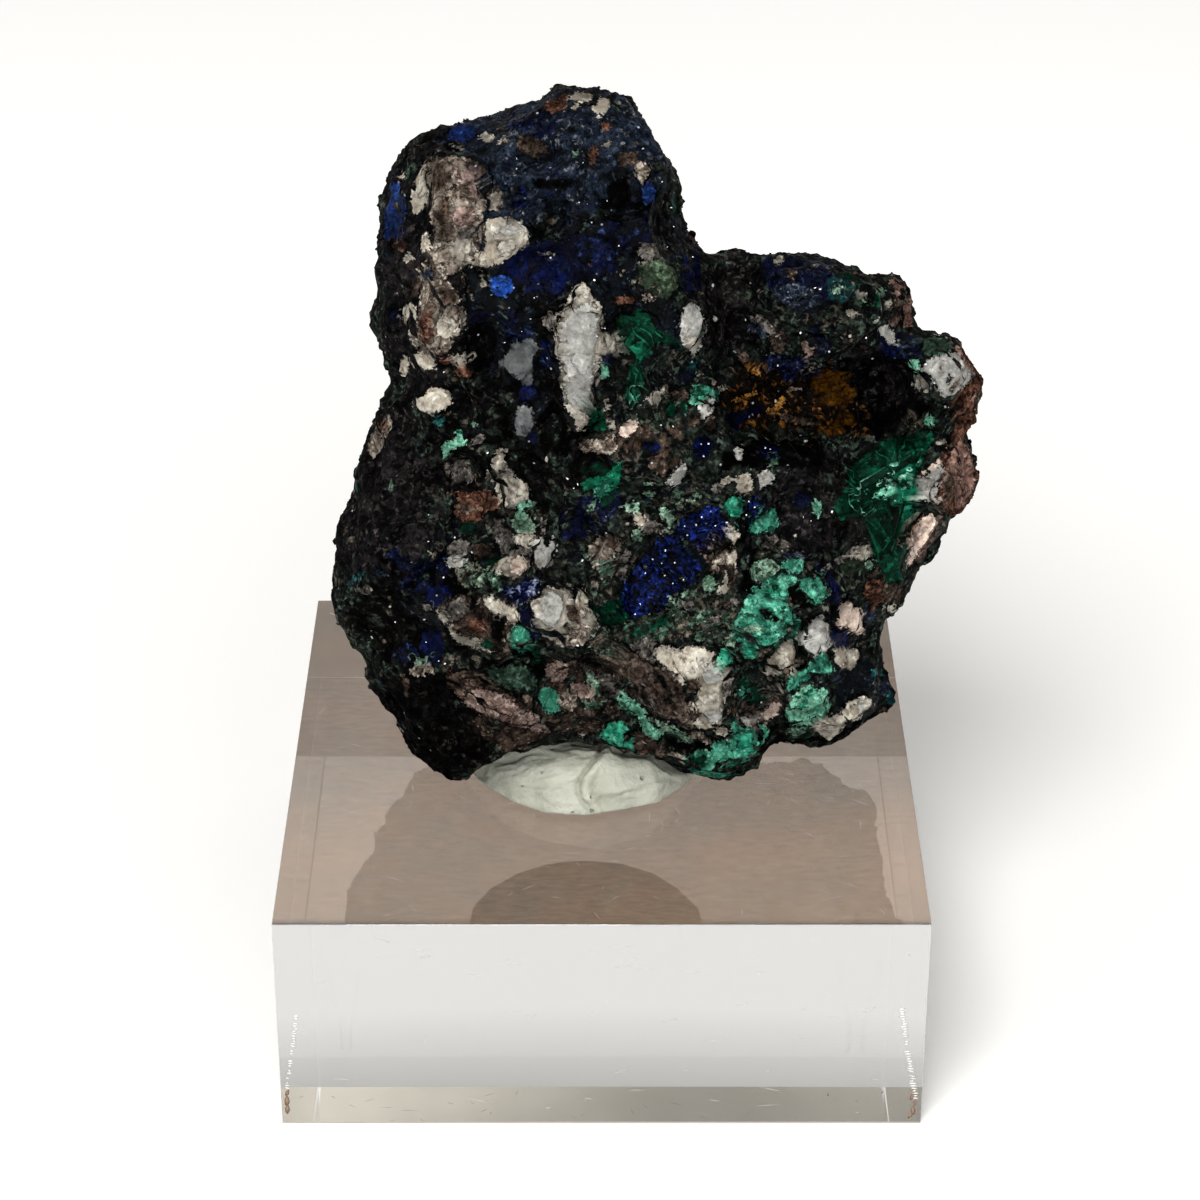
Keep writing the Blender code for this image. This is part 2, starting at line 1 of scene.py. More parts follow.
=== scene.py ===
"""Looks of the azurite and malachite specimen on its clear acrylic block.

Lengths are millimetres unless a name says otherwise. A place (a, b) is read on the sight plane: a sheet
through the rock's middle, square to the line of sight, with a to the right and b up.
"""

import math
from collections import namedtuple

import bmesh
import bpy
import numpy as np
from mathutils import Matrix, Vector
from mathutils.bvhtree import BVHTree


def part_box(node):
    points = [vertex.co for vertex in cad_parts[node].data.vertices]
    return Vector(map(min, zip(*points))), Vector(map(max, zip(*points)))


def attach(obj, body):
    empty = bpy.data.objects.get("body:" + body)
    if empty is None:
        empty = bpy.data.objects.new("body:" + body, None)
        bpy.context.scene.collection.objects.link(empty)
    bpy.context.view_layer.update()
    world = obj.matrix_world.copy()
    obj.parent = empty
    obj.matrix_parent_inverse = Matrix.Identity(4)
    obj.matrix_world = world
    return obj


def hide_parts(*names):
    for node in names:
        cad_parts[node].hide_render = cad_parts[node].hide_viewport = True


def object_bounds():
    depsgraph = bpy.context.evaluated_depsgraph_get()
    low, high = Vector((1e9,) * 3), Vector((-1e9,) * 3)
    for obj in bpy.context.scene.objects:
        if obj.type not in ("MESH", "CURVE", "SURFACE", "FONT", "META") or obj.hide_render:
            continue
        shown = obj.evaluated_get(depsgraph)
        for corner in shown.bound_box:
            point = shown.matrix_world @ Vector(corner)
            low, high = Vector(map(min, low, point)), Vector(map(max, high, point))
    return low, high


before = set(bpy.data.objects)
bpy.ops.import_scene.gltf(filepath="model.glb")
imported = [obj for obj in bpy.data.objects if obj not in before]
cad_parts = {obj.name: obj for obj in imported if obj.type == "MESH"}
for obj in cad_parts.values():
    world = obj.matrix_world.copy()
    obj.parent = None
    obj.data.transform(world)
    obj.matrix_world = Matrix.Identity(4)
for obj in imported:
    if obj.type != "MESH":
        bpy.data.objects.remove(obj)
cad_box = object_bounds()

MM = 0.001
WELD_METRES = 1e-6

# The camera stands where the photograph was taken from
EYE = np.array([-0.12, -246.04, 171.78])
EYE_PITCH = math.radians(29.36)
LENS_MM = 104.4
SENSOR_MM = 36.0

# The sight plane
ROCK_MIDDLE = np.array([2.234, -3.0, 46.764])
ROCK_LEAN = 0.12
AHEAD = np.array([0.0, math.cos(EYE_PITCH), -math.sin(EYE_PITCH)])
UPWARD = np.array([0.0, math.sin(EYE_PITCH), math.cos(EYE_PITCH)])
PLANE_DISTANCE = float((ROCK_MIDDLE - EYE) @ AHEAD)
MIDDLE_A = float((ROCK_MIDDLE - EYE)[0])
MIDDLE_B = float((ROCK_MIDDLE - EYE) @ UPWARD)

BLOCK_LOW, BLOCK_HIGH = (np.array(corner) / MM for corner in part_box("acrylic_block"))
BLOCK_TOP = float(BLOCK_HIGH[2])
BOX_LOW, BOX_HIGH = (np.array(corner) / MM for corner in cad_box)
BOX_MARGIN = 0.02

# Each mineral: its family, its main tones and its odd tones as sRGB 0-255, the share of odd tones, roughness,
# how many painted glints it has, how far its brightness scatters, and how strongly its grains stand up
Mineral = namedtuple("Mineral", "family main odd odd_share roughness glint scatter relief")
MINERALS = {
    "matrix": Mineral("earth", ((6, 8, 8), (13, 16, 14), (24, 28, 25), (10, 11, 14)),
        ((50, 58, 51), (38, 45, 40), (60, 74, 65), (72, 66, 58)), 0.34, 0.8, 0.1, 0.7, 1.0),
    "charcoal": Mineral("earth", ((7, 7, 8), (14, 13, 14), (25, 23, 24)),
        ((44, 41, 41), (56, 52, 50)), 0.24, 0.85, 0.1, 0.7, 0.8),
    # Black matrix, and painted shade in gaps, under ledges and along the foot
    "soot_and_shade": Mineral("earth", ((1, 1, 1), (4, 4, 4), (9, 8, 8)),
        ((24, 22, 21), (36, 33, 30)), 0.2, 0.85, 0.1, 0.8, 1.0),
    # Near black: painted shade in recesses, gaps and under ledges
    "hollow": Mineral("earth", ((1, 1, 1), (3, 3, 3)),
        ((16, 15, 16), (26, 24, 24)), 0.16, 0.9, 0.1, 0.6, 0.9),
    "ash": Mineral("earth", ((84, 80, 76), (66, 63, 60), (100, 96, 91)),
        ((40, 38, 36), (122, 117, 110)), 0.3, 0.8, 0.1, 0.6, 0.7),
    "brown": Mineral("earth", ((48, 39, 33), (66, 54, 46), (33, 27, 24)),
        ((98, 85, 75), (20, 16, 14)), 0.32, 0.85, 0.1, 0.6, 0.8),
    "slab": Mineral("earth", ((60, 50, 44), (46, 38, 33), (74, 64, 57)),
        ((100, 90, 82), (20, 16, 14)), 0.34, 0.85, 0.1, 0.6, 0.8),
    "sandstone": Mineral("earth", ((98, 88, 79), (122, 112, 102), (70, 60, 53)),
        ((158, 150, 138), (36, 30, 27)), 0.34, 0.85, 0.1, 0.6, 0.6),
    "mauve": Mineral("earth", ((116, 98, 92), (132, 114, 106), (94, 78, 72)),
        ((152, 138, 130), (62, 50, 47)), 0.26, 0.85, 0.1, 0.5, 0.5),
    "rose": Mineral("earth", ((112, 86, 77), (126, 99, 89), (92, 70, 63)),
        ((146, 120, 110), (60, 44, 39)), 0.28, 0.85, 0.1, 0.5, 0.6),
    "rust": Mineral("earth", ((62, 39, 30), (84, 57, 45), (42, 27, 21)),
        ((118, 88, 74), (22, 16, 14)), 0.3, 0.85, 0.1, 0.7, 0.9),
    "limonite": Mineral("earth", ((60, 36, 4), (74, 46, 8), (44, 27, 6)),
        ((92, 58, 14), (24, 16, 8)), 0.28, 0.85, 0.05, 0.6, 0.7),
    "ochre": Mineral("earth", ((128, 88, 38), (104, 70, 30)),
        ((156, 114, 60), (50, 34, 18)), 0.3, 0.85, 0.1, 0.5, 0.8),
    "strands": Mineral("earth", ((14, 11, 9), (8, 7, 6)),
        ((84, 53, 19), (108, 72, 30)), 0.24, 0.85, 0.1, 0.7, 1.0),
    "cream": Mineral("quartz", ((145, 138, 126), (129, 121, 108), (158, 153, 141)),
        ((180, 176, 166), (80, 69, 58)), 0.26, 0.6, 0.3, 0.35, 0.6),
    "white": Mineral("quartz", ((144, 144, 140), (130, 129, 125)),
        ((176, 176, 171), (94, 90, 84)), 0.24, 0.5, 0.3, 0.3, 0.5),
    "stone": Mineral("quartz", ((128, 123, 113), (112, 107, 98), (144, 139, 129)),
        ((84, 78, 70), (162, 157, 147)), 0.3, 0.7, 0.1, 0.5, 0.5),
    "pinkish": Mineral("quartz", ((192, 174, 161), (176, 158, 145)),
        ((208, 194, 182), (118, 98, 86)), 0.25, 0.6, 0.2, 0.4, 0.4),
    "frost": Mineral("quartz", ((120, 128, 150), (92, 102, 132)),
        ((150, 156, 172), (36, 46, 90)), 0.28, 0.4, 0.4, 0.4, 0.5),
    # Near white: the painted glint of the sparks
    "spark": Mineral("quartz", ((238, 241, 247),), ((238, 241, 247),), 0.0, 0.3, 0.0, 0.0, 0.3),
    "smoky": Mineral("quartz", ((66, 69, 70), (78, 80, 81)),
        ((94, 96, 97), (36, 38, 41)), 0.24, 0.4, 0.25, 0.3, 0.3),
    "navy": Mineral("azurite", ((3, 6, 24), (6, 10, 36), (2, 3, 10)),
        ((16, 26, 62), (30, 42, 74)), 0.2, 0.45, 0.4, 0.7, 1.0),
    "night": Mineral("azurite", ((3, 6, 9), (7, 11, 17), (2, 3, 4)),
        ((22, 31, 45), (50, 57, 68)), 0.16, 0.5, 0.5, 0.8, 1.0),
    "dusty": Mineral("azurite", ((17, 25, 36), (30, 38, 50), (8, 12, 19)),
        ((58, 66, 80), (8, 14, 42), (86, 90, 95)), 0.28, 0.6, 0.3, 0.8, 1.0),
    "vivid": Mineral("azurite", ((1, 4, 30), (1, 8, 46), (1, 2, 14)),
        ((8, 20, 66), (1, 2, 8)), 0.2, 0.45, 0.5, 0.6, 0.8),
    "druse": Mineral("azurite", ((2, 8, 40), (5, 13, 54), (1, 4, 20)),
        ((18, 34, 84), (1, 3, 10)), 0.26, 0.45, 1.6, 3.0, 0.7),
    "cobalt": Mineral("azurite", ((9, 24, 62), (13, 31, 74)),
        ((36, 60, 108), (4, 10, 36)), 0.3, 0.5, 0.6, 0.6, 0.8),
    "bright": Mineral("azurite", ((16, 46, 112), (22, 56, 128)),
        ((48, 84, 150), (6, 16, 56)), 0.3, 0.5, 0.4, 0.5, 0.8),
    "mint": Mineral("malachite", ((44, 106, 87), (31, 82, 67), (62, 128, 107)),
        ((92, 154, 132), (11, 42, 34)), 0.3, 0.75, 0.1, 0.4, 0.9),
    "jade": Mineral("malachite", ((32, 116, 91), (23, 93, 72), (50, 136, 110)),
        ((92, 162, 138), (8, 46, 34)), 0.28, 0.7, 0.1, 0.4, 0.8),
    "pale_mint": Mineral("malachite", ((100, 156, 132), (80, 134, 111)),
        ((134, 182, 160), (30, 74, 59)), 0.3, 0.75, 0.1, 0.4, 0.7),
    # Pale green: the painted sheen of silky fibres
    "silk_sheen": Mineral("malachite", ((140, 212, 184), (110, 186, 156)),
        ((180, 232, 211), (40, 130, 100)), 0.3, 0.4, 0.2, 0.5, 0.4),
    "emerald": Mineral("malachite", ((6, 72, 51), (9, 86, 63)),
        ((36, 120, 93), (2, 38, 26)), 0.3, 0.45, 0.2, 0.5, 0.5),
    "green": Mineral("malachite", ((1, 24, 15), (2, 37, 24)),
        ((11, 68, 48), (1, 9, 6)), 0.28, 0.45, 0.2, 0.6, 0.8),
    "sage": Mineral("malachite", ((78, 106, 88), (58, 82, 67), (98, 124, 106)),
        ((24, 40, 32), (128, 150, 134)), 0.34, 0.8, 0.1, 0.7, 0.9),
    "moss": Mineral("malachite", ((36, 52, 43), (26, 40, 33)),
        ((62, 84, 70), (10, 14, 12)), 0.34, 0.8, 0.1, 0.7, 0.9),
    "olive": Mineral("malachite", ((30, 40, 29), (42, 52, 39)),
        ((70, 88, 68), (16, 17, 14)), 0.4, 0.8, 0.1, 0.6, 0.9),
    "lichen": Mineral("malachite", ((17, 22, 18), (32, 34, 29), (9, 9, 8)),
        ((58, 84, 68), (96, 112, 98), (84, 78, 68)), 0.4, 0.8, 0.1, 0.7, 1.0),
    "teal": Mineral("malachite", ((8, 36, 40), (13, 47, 50)),
        ((46, 96, 93), (5, 18, 24)), 0.28, 0.6, 0.2, 0.6, 0.8),
}
FAMILIES = ("earth", "quartz", "azurite", "malachite")
NAMES = tuple(MINERALS)

# What covers the rock as seen from the front, between the patches below: a, b, half width, half height, turn
# in degrees, mineral and the share of grains that it takes. Later rows lie over earlier ones.
GROUND = (
    # The tower
    (-8.0, 18.0, 13.0, 13.0, 0, "night", 0.8),
    (-16.5, 16.0, 3.6, 12.0, 0, "charcoal", 0.8),
    (-5.0, 25.5, 8.2, 4.4, -8, "dusty", 0.9),
    (-10.6, 22.4, 4.4, 4.6, 0, "dusty", 0.85),
    (0.2, 25.6, 2.8, 3.6, 0, "dusty", 0.8),
    (-16.0, 25.0, 3.0, 3.0, 0, "matrix", 0.9),
    (-7.8, 27.4, 2.4, 1.2, -14, "navy", 0.7),
    (1.5, 21.6, 1.0, 1.1, 10, "navy", 0.6),
    (0.5, 20.0, 3.0, 3.4, 0, "hollow", 0.45),
    (-4.0, 16.8, 5.6, 1.9, 14, "navy", 0.85),
    (-7.2, 15.8, 2.7, 2.0, 0, "vivid", 0.95),
    (-17.2, 15.0, 1.0, 1.4, 0, "brown", 0.7),
    (-9.0, 11.0, 1.0, 1.3, 0, "navy", 0.9),
    (-6.0, 12.0, 1.5, 2.0, 0, "soot_and_shade", 0.8),
    (3.2, 11.0, 1.3, 2.4, 0, "night", 0.9),
    (3.0, 10.2, 1.3, 0.6, 0, "green", 0.5),
    # Below the tower
    (-9.0, 2.0, 7.5, 6.0, 0, "soot_and_shade", 0.6),
    (3.2, 5.0, 1.4, 1.3, 0, "lichen", 0.9),
    (1.0, 2.6, 4.0, 1.2, 0, "brown", 0.45),
    (-13.2, -0.4, 1.6, 0.7, 0, "ash", 0.4),
    (-8.3, -3.6, 1.1, 1.5, 0, "lichen", 0.8),
    (-9.9, -5.3, 0.9, 1.3, 0, "ash", 0.5),
    (-10.5, -7.6, 0.8, 1.2, 20, "green", 0.5),
    (-2.0, -1.4, 1.8, 2.0, 30, "green", 0.55),
    (-3.4, -3.6, 2.6, 1.5, 30, "navy", 0.6),
    (-1.8, -8.4, 1.2, 2.4, 0, "lichen", 0.8),
    (-2.0, -11.2, 1.1, 1.6, 30, "green", 0.5),
    # The left shoulder and the black lower left
    (-20.0, -2.5, 4.6, 6.4, 0, "charcoal", 0.95),
    (-17.0, -11.0, 5.0, 4.4, 0, "soot_and_shade", 0.95),
    (-16.8, -8.0, 2.4, 2.2, 0, "navy", 0.35),
    (-16.0, -11.0, 1.6, 1.6, 0, "night", 0.8),
    (-15.8, -20.0, 5.0, 4.8, 0, "soot_and_shade", 0.97),
    (-9.6, -20.4, 2.8, 1.7, -18, "brown", 0.75),
    (-9.0, -15.6, 2.9, 1.2, -8, "hollow", 0.9),
    (-9.0, -15.8, 2.4, 1.2, -14, "lichen", 0.4),
    # The foot
    (-4.2, -18.0, 2.6, 3.0, 0, "brown", 0.8),
    (5.4, -21.8, 1.4, 0.5, -30, "hollow", 0.9),
    (2.0, -12.0, 2.6, 1.0, 12, "lichen", 0.8),
    (9.8, -19.0, 2.2, 1.2, 20, "mauve", 0.5),
    (12.0, -21.0, 2.0, 0.8, 0, "hollow", 0.9),
    (17.0, -21.0, 3.6, 0.8, 22, "soot_and_shade", 0.95),
    # Round the druse and the malachite
    (5.6, -10.8, 3.0, 3.0, 0, "lichen", 0.85),
    (9.2, -7.0, 0.8, 2.6, 0, "hollow", 0.9),
    (4.4, -2.2, 1.8, 1.0, 20, "lichen", 0.8),
    (14.6, -2.4, 3.4, 4.4, 0, "charcoal", 0.9),
    (12.8, -2.4, 1.2, 1.0, 0, "navy", 0.5),
    (17.4, -7.6, 1.0, 1.0, 0, "olive", 0.6),
    (18.4, -16.8, 2.9, 2.0, 0, "night", 0.95),
    # The right lobe
    (8.0, 13.0, 3.4, 4.4, 0, "charcoal", 0.85),
    (14.0, 12.4, 4.6, 3.2, 0, "matrix", 0.8),
    (13.4, 15.2, 3.2, 1.9, -4, "navy", 0.85),
    (18.6, 14.2, 2.0, 1.4, 0, "lichen", 0.6),
    (19.4, 6.2, 3.4, 3.4, 0, "hollow", 0.9),
    (19.0, 7.2, 3.0, 2.6, 0, "charcoal", 0.66),
    (11.0, 5.9, 3.8, 2.5, 0, "strands", 0.95),
    (14.4, 5.0, 1.2, 2.6, 0, "strands", 0.8),
    (15.8, 5.2, 2.0, 2.5, 0, "limonite", 0.97),
    (14.0, 4.7, 2.6, 0.9, 0, "strands", 0.9),
    (17.9, 4.6, 0.9, 1.8, 0, "strands", 0.6),
    (12.0, 1.4, 4.0, 1.6, 0, "hollow", 0.8),
    (21.2, 9.6, 1.9, 0.9, -10, "navy", 0.7),
    (26.6, 6.2, 1.1, 3.8, 0, "rust", 0.95),
    (25.9, -0.7, 1.6, 3.2, 0, "rust", 0.95),
    (23.0, -5.0, 1.3, 2.4, -20, "mauve", 0.5),
)

# Patches with an edge of their own, as seen from the front. Up to five numbers are an ellipse: a, b, half
# width, half height and turn in degrees. More are the corners of an outline, a and b in turn. Later rows lie
# over earlier ones.
ELLIPSE_NUMBERS = 5
PATCHES = (
    # Upper left of the tower
    ("charcoal", (-17.6, 24.9, -16.8, 25.8, -15.5, 26.9, -13.0, 26.9, -12.8, 25.0, -15.4, 24.4, -17.0,
        24.2)),
    ("cobalt", (-14.4, 25.9, -13.9, 27.1, -12.3, 27.2, -12.0, 26.2, -13.2, 25.7)),
    ("ash", (-13.9, 25.5, 0.3, 0.18)),
    ("ash", (-13.2, 25.2, 0.35, 0.15, -20)),
    ("stone", (-11.2, 26.1, 0.5, 0.4)),
    ("stone", (-10.0, 25.8, 0.45, 0.28)),
    ("rose", (-10.0, 27.1, 0.55, 0.3)),
    ("navy", (-9.1, 27.2, 0.5, 0.3)),
    ("dusty", (-9.6, 26.5, 0.6, 0.3)),
    ("brown", (-8.9, 26.3, -7.9, 26.3, -6.6, 25.5, -6.3, 24.8, -8.0, 24.8, -8.9, 25.4)),
    ("hollow", (-7.6, 24.5, 1.2, 0.2, -8)),
    ("cobalt", (-19.3, 22.3, -18.2, 22.6, -17.6, 20.6, -17.8, 18.4, -19.3, 18.0)),
    ("cream", (-16.3, 23.7, -15.7, 23.2, -15.9, 21.5, -16.0, 20.8, -16.5, 20.2, -17.2, 19.9, -17.2, 21.3,
        -16.9, 22.8)),
    ("cream", (-17.9, 23.1, 0.25, 0.2)),
    ("sandstone", (-16.2, 24.0, -15.0, 24.6, -13.6, 24.7, -12.4, 24.4, -12.0, 23.2, -11.0, 22.4, -9.9, 21.8,
        -10.2, 20.4, -11.6, 20.2, -11.4, 18.6, -12.0, 17.2, -12.6, 16.2, -13.4, 15.6, -15.2, 14.8, -15.8,
        16.5, -15.4, 18.5, -15.9, 20.5, -15.9, 22.5)),
    ("brown", (-14.9, 22.9, 0.6, 1.1)),
    ("brown", (-14.6, 20.2, 0.45, 1.3)),
    ("mauve", (-12.9, 23.2, 0.8, 0.9)),
    ("mauve", (-12.0, 21.9, 0.6, 0.9)),
    ("mauve", (-13.0, 19.9, 0.9, 0.8)),
    ("stone", (-10.7, 21.1, 0.8, 0.65, 20)),
    ("stone", (-13.2, 17.4, 1.0, 1.0)),
    ("ash", (-12.7, 18.6, 0.7, 0.5)),
    ("soot_and_shade", (-11.95, 24.3, -11.0, 23.7, -11.1, 22.7, -11.9, 22.9)),
    ("cream", (-11.3, 19.6, -10.3, 19.9, -9.0, 19.7, -8.1, 19.0, -7.9, 17.8, -8.6, 17.2, -9.6, 16.6, -10.3,
        16.1, -11.4, 15.9, -12.5, 16.3, -12.0, 17.0, -11.4, 17.3, -11.4, 18.6)),
    ("stone", (-9.6, 17.6, 0.7, 0.35, 30)),
    ("white", (-9.4, 18.9, 0.8, 0.4)),
    ("soot_and_shade", (-11.6, 15.5, 0.7, 0.25, -20)),
    ("cream", (-16.0, 17.6, 0.45, 0.95)),
    ("cream", (-16.4, 15.9, 0.4, 0.5)),
    ("rust", (-18.1, 17.7, 0.6, 0.5)),
    ("stone", (-17.4, 16.6, 0.45, 0.4)),
    ("dusty", (-15.9, 15.4, 0.5, 0.4)),
    ("vivid", (-8.6, 20.9, 0.7, 0.35)),
    ("vivid", (-8.4, 21.9, 0.4, 0.4)),
    ("dusty", (-7.8, 20.0, 1.1, 0.7)),
    ("hollow", (-6.1, 22.5, 1.8, 0.4)),
    ("vivid", (-6.5, 15.7, 0.6, 0.8)),
    ("ash", (-6.6, 17.0, 0.5, 0.15)),
    # Lower left of the tower
    ("cream", (-17.9, 12.6, -17.3, 13.2, -16.8, 12.9, -16.7, 11.4, -16.5, 9.4, -17.2, 9.9, -17.5, 11.2)),
    ("sandstone", (-16.2, 14.8, -14.5, 15.0, -13.4, 13.6, -12.9, 12.2, -13.0, 11.0, -13.6, 10.3, -14.2, 9.3,
        -15.0, 8.9, -16.5, 9.2, -16.7, 11.5, -16.6, 13.2)),
    ("rust", (-16.0, 11.1, 0.6, 1.1)),
    ("brown", (-14.3, 13.6, 0.8, 0.6)),
    ("stone", (-14.4, 11.2, 0.8, 0.9)),
    ("cream", (-17.2, 9.0, -16.2, 9.3, -15.2, 8.9, -15.3, 8.0, -16.5, 7.8, -17.2, 8.2)),
    ("cream", (-17.7, 8.2, 0.35, 0.8)),
    ("navy", (-18.5, 12.0, 0.4, 0.5)),
    ("sandstone", (-12.9, 14.6, 0.2, 0.9, 20)),
    ("stone", (-11.5, 14.6, 0.3, 0.35)),
    ("vivid", (-11.8, 12.1, 0.6, 0.5)),
    ("bright", (-11.0, 15.0, -10.2, 15.3, -9.2, 15.1, -9.1, 14.2, -9.6, 13.6, -10.6, 13.7, -11.0, 14.2)),
    ("hollow", (-11.7, 9.8, 1.3, 1.8)),
    ("rust", (-14.4, 8.6, 0.55, 0.35)),
    ("rust", (-13.1, 7.7, 0.7, 0.45)),
    ("stone", (-13.4, 8.7, 0.6, 0.45)),
    ("navy", (-9.1, 10.9, 0.6, 1.0)),
    ("navy", (-6.5, 9.0, 0.4, 1.0)),
    ("smoky", (-8.3, 10.2, -7.6, 10.4, -7.2, 9.5, -7.6, 8.8, -7.6, 7.0, -8.4, 6.9, -9.8, 7.9, -10.3, 8.5,
        -9.6, 9.2, -9.3, 9.9)),
    ("vivid", (-8.0, 6.05, 0.8, 0.65)),
    ("smoky", (-8.9, 5.0, -7.6, 5.0, -7.5, 3.6, -8.2, 2.5, -9.1, 2.8, -9.0, 4.2)),
    ("navy", (-7.7, 2.5, 0.4, 0.5)),
    ("cream", (-17.2, 5.4, -16.0, 6.0, -15.5, 6.7, -14.8, 6.4, -14.0, 6.0, -13.9, 5.3, -14.6, 4.7, -15.5,
        4.4, -16.6, 4.7)),
    ("teal", (-15.0, 3.9, 0.5, 0.4)),
    ("mint", (-13.4, 3.0, 0.3, 0.2)),
    ("sage", (-12.3, 3.6, 0.3, 0.25)),
    # Upper right of the tower
    ("rust", (-6.9, 28.2, -6.2, 29.5, -4.9, 29.5, -4.9, 28.4, -6.0, 28.0)),
    ("cream", (-4.9, 29.1, -4.2, 29.7, -3.0, 29.6, -3.0, 29.0, -4.2, 28.9)),
    ("cream", (-4.3, 28.5, 0.3, 0.25)),
    ("cream", (-3.0, 28.4, -2.2, 29.3, -1.5, 29.1, -1.7, 28.1, -2.6, 28.0)),
    ("white", (-2.3, 27.7, 0.25, 0.2)),
    ("rust", (-1.9, 27.0, 0.45, 0.35)),
    ("rust", (-2.9, 24.8, 0.4, 0.7)),
    ("sage", (-4.3, 24.8, 0.35, 0.3)),
    ("stone", (-1.7, 25.6, 0.35, 0.25)),
    ("night", (-1.2, 23.1, 1.3, 0.4, 10)),
    ("brown", (-1.2, 24.9, 0.5, 25.0, 0.7, 24.0, -0.8, 23.8)),
    ("sandstone", (0.4, 23.8, 1.0, 24.2, 1.7, 23.9, 1.5, 23.2, 1.0, 22.5, 0.6, 23.0)),
    ("cobalt", (1.5, 21.7, 0.5, 0.9)),
    ("green", (3.5, 21.0, 0.3, 0.8)),
    ("ash", (0.6, 17.9, 2.9, 17.6, 2.8, 16.6, 0.8, 16.4)),
    ("olive", (0.7, 16.2, 2.2, 16.6, 3.8, 16.2, 3.9, 14.6, 3.0, 13.4, 1.6, 13.6, 0.7, 14.6)),
    ("vivid", (4.1, 17.0, 5.4, 16.9, 5.5, 14.2, 4.2, 14.0)),
    # The blade, the green spray beside it and the white knob at the neck
    ("stone", (-3.7, 14.8, -3.2, 14.3, -2.9, 13.4, -2.4, 13.2, -2.1, 12.0, -2.1, 10.8, -1.6, 10.7, -0.8,
        10.4, -0.6, 9.8, -1.0, 9.2, -2.2, 9.0, -2.4, 7.0, -2.9, 6.0, -3.1, 5.0, -3.3, 4.0, -3.6, 3.1, -4.6,
        3.1, -5.0, 4.6, -5.3, 6.0, -5.5, 7.6, -5.4, 8.6, -6.0, 9.2, -6.0, 10.0, -5.7, 11.2, -5.3, 12.4,
        -5.0, 13.2, -4.6, 13.9, -4.4, 14.4)),
    ("white", (-4.9, 12.4, -3.3, 13.2, -2.6, 12.2, -2.6, 10.6, -2.9, 8.0, -3.2, 6.0, -3.6, 4.6, -4.7, 4.9,
        -5.1, 7.0, -5.2, 9.2, -5.5, 10.2)),
    ("strands", (-4.6, 3.9, 0.45, 0.55)),
    ("ash", (-6.3, 11.7, 0.5, 0.75)),
    ("hollow", (-2.0, 11.0, 0.3, 0.25)),
    ("pale_mint", (-2.35, 8.3, -1.8, 8.1, -1.5, 7.5, -2.0, 7.2, -2.45, 7.4)),
    ("navy", (-2.3, 9.0, -1.2, 9.2, -1.4, 8.3, -2.1, 8.3)),
    ("stone", (-1.8, 5.2, 0.3, 0.45)),
    ("green", (-0.9, 12.0, 0.2, 12.3, 0.9, 12.8, 1.5, 12.4, 1.7, 11.4, 2.4, 10.8, 2.2, 10.0, 1.3, 9.0, 1.0,
        8.2, 1.0, 7.4, 1.2, 6.6, 0.8, 5.8, 0.3, 4.9, -0.1, 5.4, -0.5, 6.2, -0.2, 7.0, 0.2, 8.3, 0.1, 8.9,
        -0.8, 10.1, -1.3, 11.0)),
    ("emerald", (-0.4, 10.5, -0.1, 10.4, 0.5, 9.4, 1.0, 8.6, 0.7, 8.5, 0.1, 9.4)),
    ("silk_sheen", (0.3, 5.6, 0.12, 0.45, -25)),
    ("green", (-3.1, 4.9, -2.1, 4.9, -2.0, 3.9, -1.6, 3.3, -3.2, 3.0)),
    ("white", (4.7, 13.2, 5.3, 12.9, 5.9, 11.8, 6.0, 11.0, 5.6, 9.9, 5.1, 9.1, 4.4, 9.6, 4.0, 10.3, 4.0,
        11.6, 4.2, 12.7)),
    ("stone", (4.2, 10.3, 5.3, 10.5, 5.5, 9.9, 5.0, 9.3, 4.3, 9.7)),
    ("rust", (-0.3, 13.3, 0.9, 0.35, 5)),
    ("sandstone", (1.4, 13.5, 0.5, 0.3)),
    ("stone", (-0.6, 15.5, 0.3, 0.2)),
    ("stone", (0.2, 14.8, 0.25, 0.2)),
    ("night", (3.1, 11.9, 0.8, 0.9)),
    ("teal", (4.9, 8.1, 0.4, 0.6)),
    ("navy", (4.4, 7.4, 0.6, 0.5)),
    # Below the blade
    ("mint", (4.7, 5.2, 4.8, 6.5, 5.6, 6.8, 6.4, 6.5, 7.0, 6.0, 6.9, 5.4, 6.2, 5.9, 5.7, 5.4, 5.2, 5.1)),
    ("green", (5.5, 6.1, 0.25, 0.4, 20)),
    ("white", (5.3, 4.9, 5.9, 5.3, 6.7, 5.7, 6.6, 4.9, 6.3, 4.4, 6.0, 4.0, 5.4, 4.5)),
    ("stone", (7.2, 6.4, 0.35, 0.25, 20)),
    ("stone", (5.6, 7.3, 0.4, 0.2)),
    ("green", (3.25, 4.7, 0.4, 0.6)),
    ("green", (4.25, 4.9, 0.25, 0.5)),
    ("stone", (1.2, 5.4, 1.7, 6.0, 2.3, 6.3, 2.9, 6.8, 2.9, 6.3, 2.4, 5.8, 2.4, 5.2, 1.8, 5.1)),
    ("brown", (3.8, 5.9, 0.8, 0.4)),
    ("white", (1.0, 5.2, 0.22, 0.1, -20)),
    ("pinkish", (-0.9, 3.0, -0.3, 3.7, 0.6, 4.4, 0.5, 3.3, -0.1, 2.5, -0.7, 2.7)),
    ("stone", (-1.4, 3.5, 0.3, 0.3)),
    ("brown", (5.0, 3.9, 0.65, 0.4)),
    ("brown", (6.4, 3.7, 0.4, 0.6)),
    ("sandstone", (-4.1, 2.0, -3.2, 2.5, -2.4, 2.3, -1.4, 2.6, -0.9, 1.9, -1.6, 1.2, -2.9, 1.4, -3.8, 1.5)),
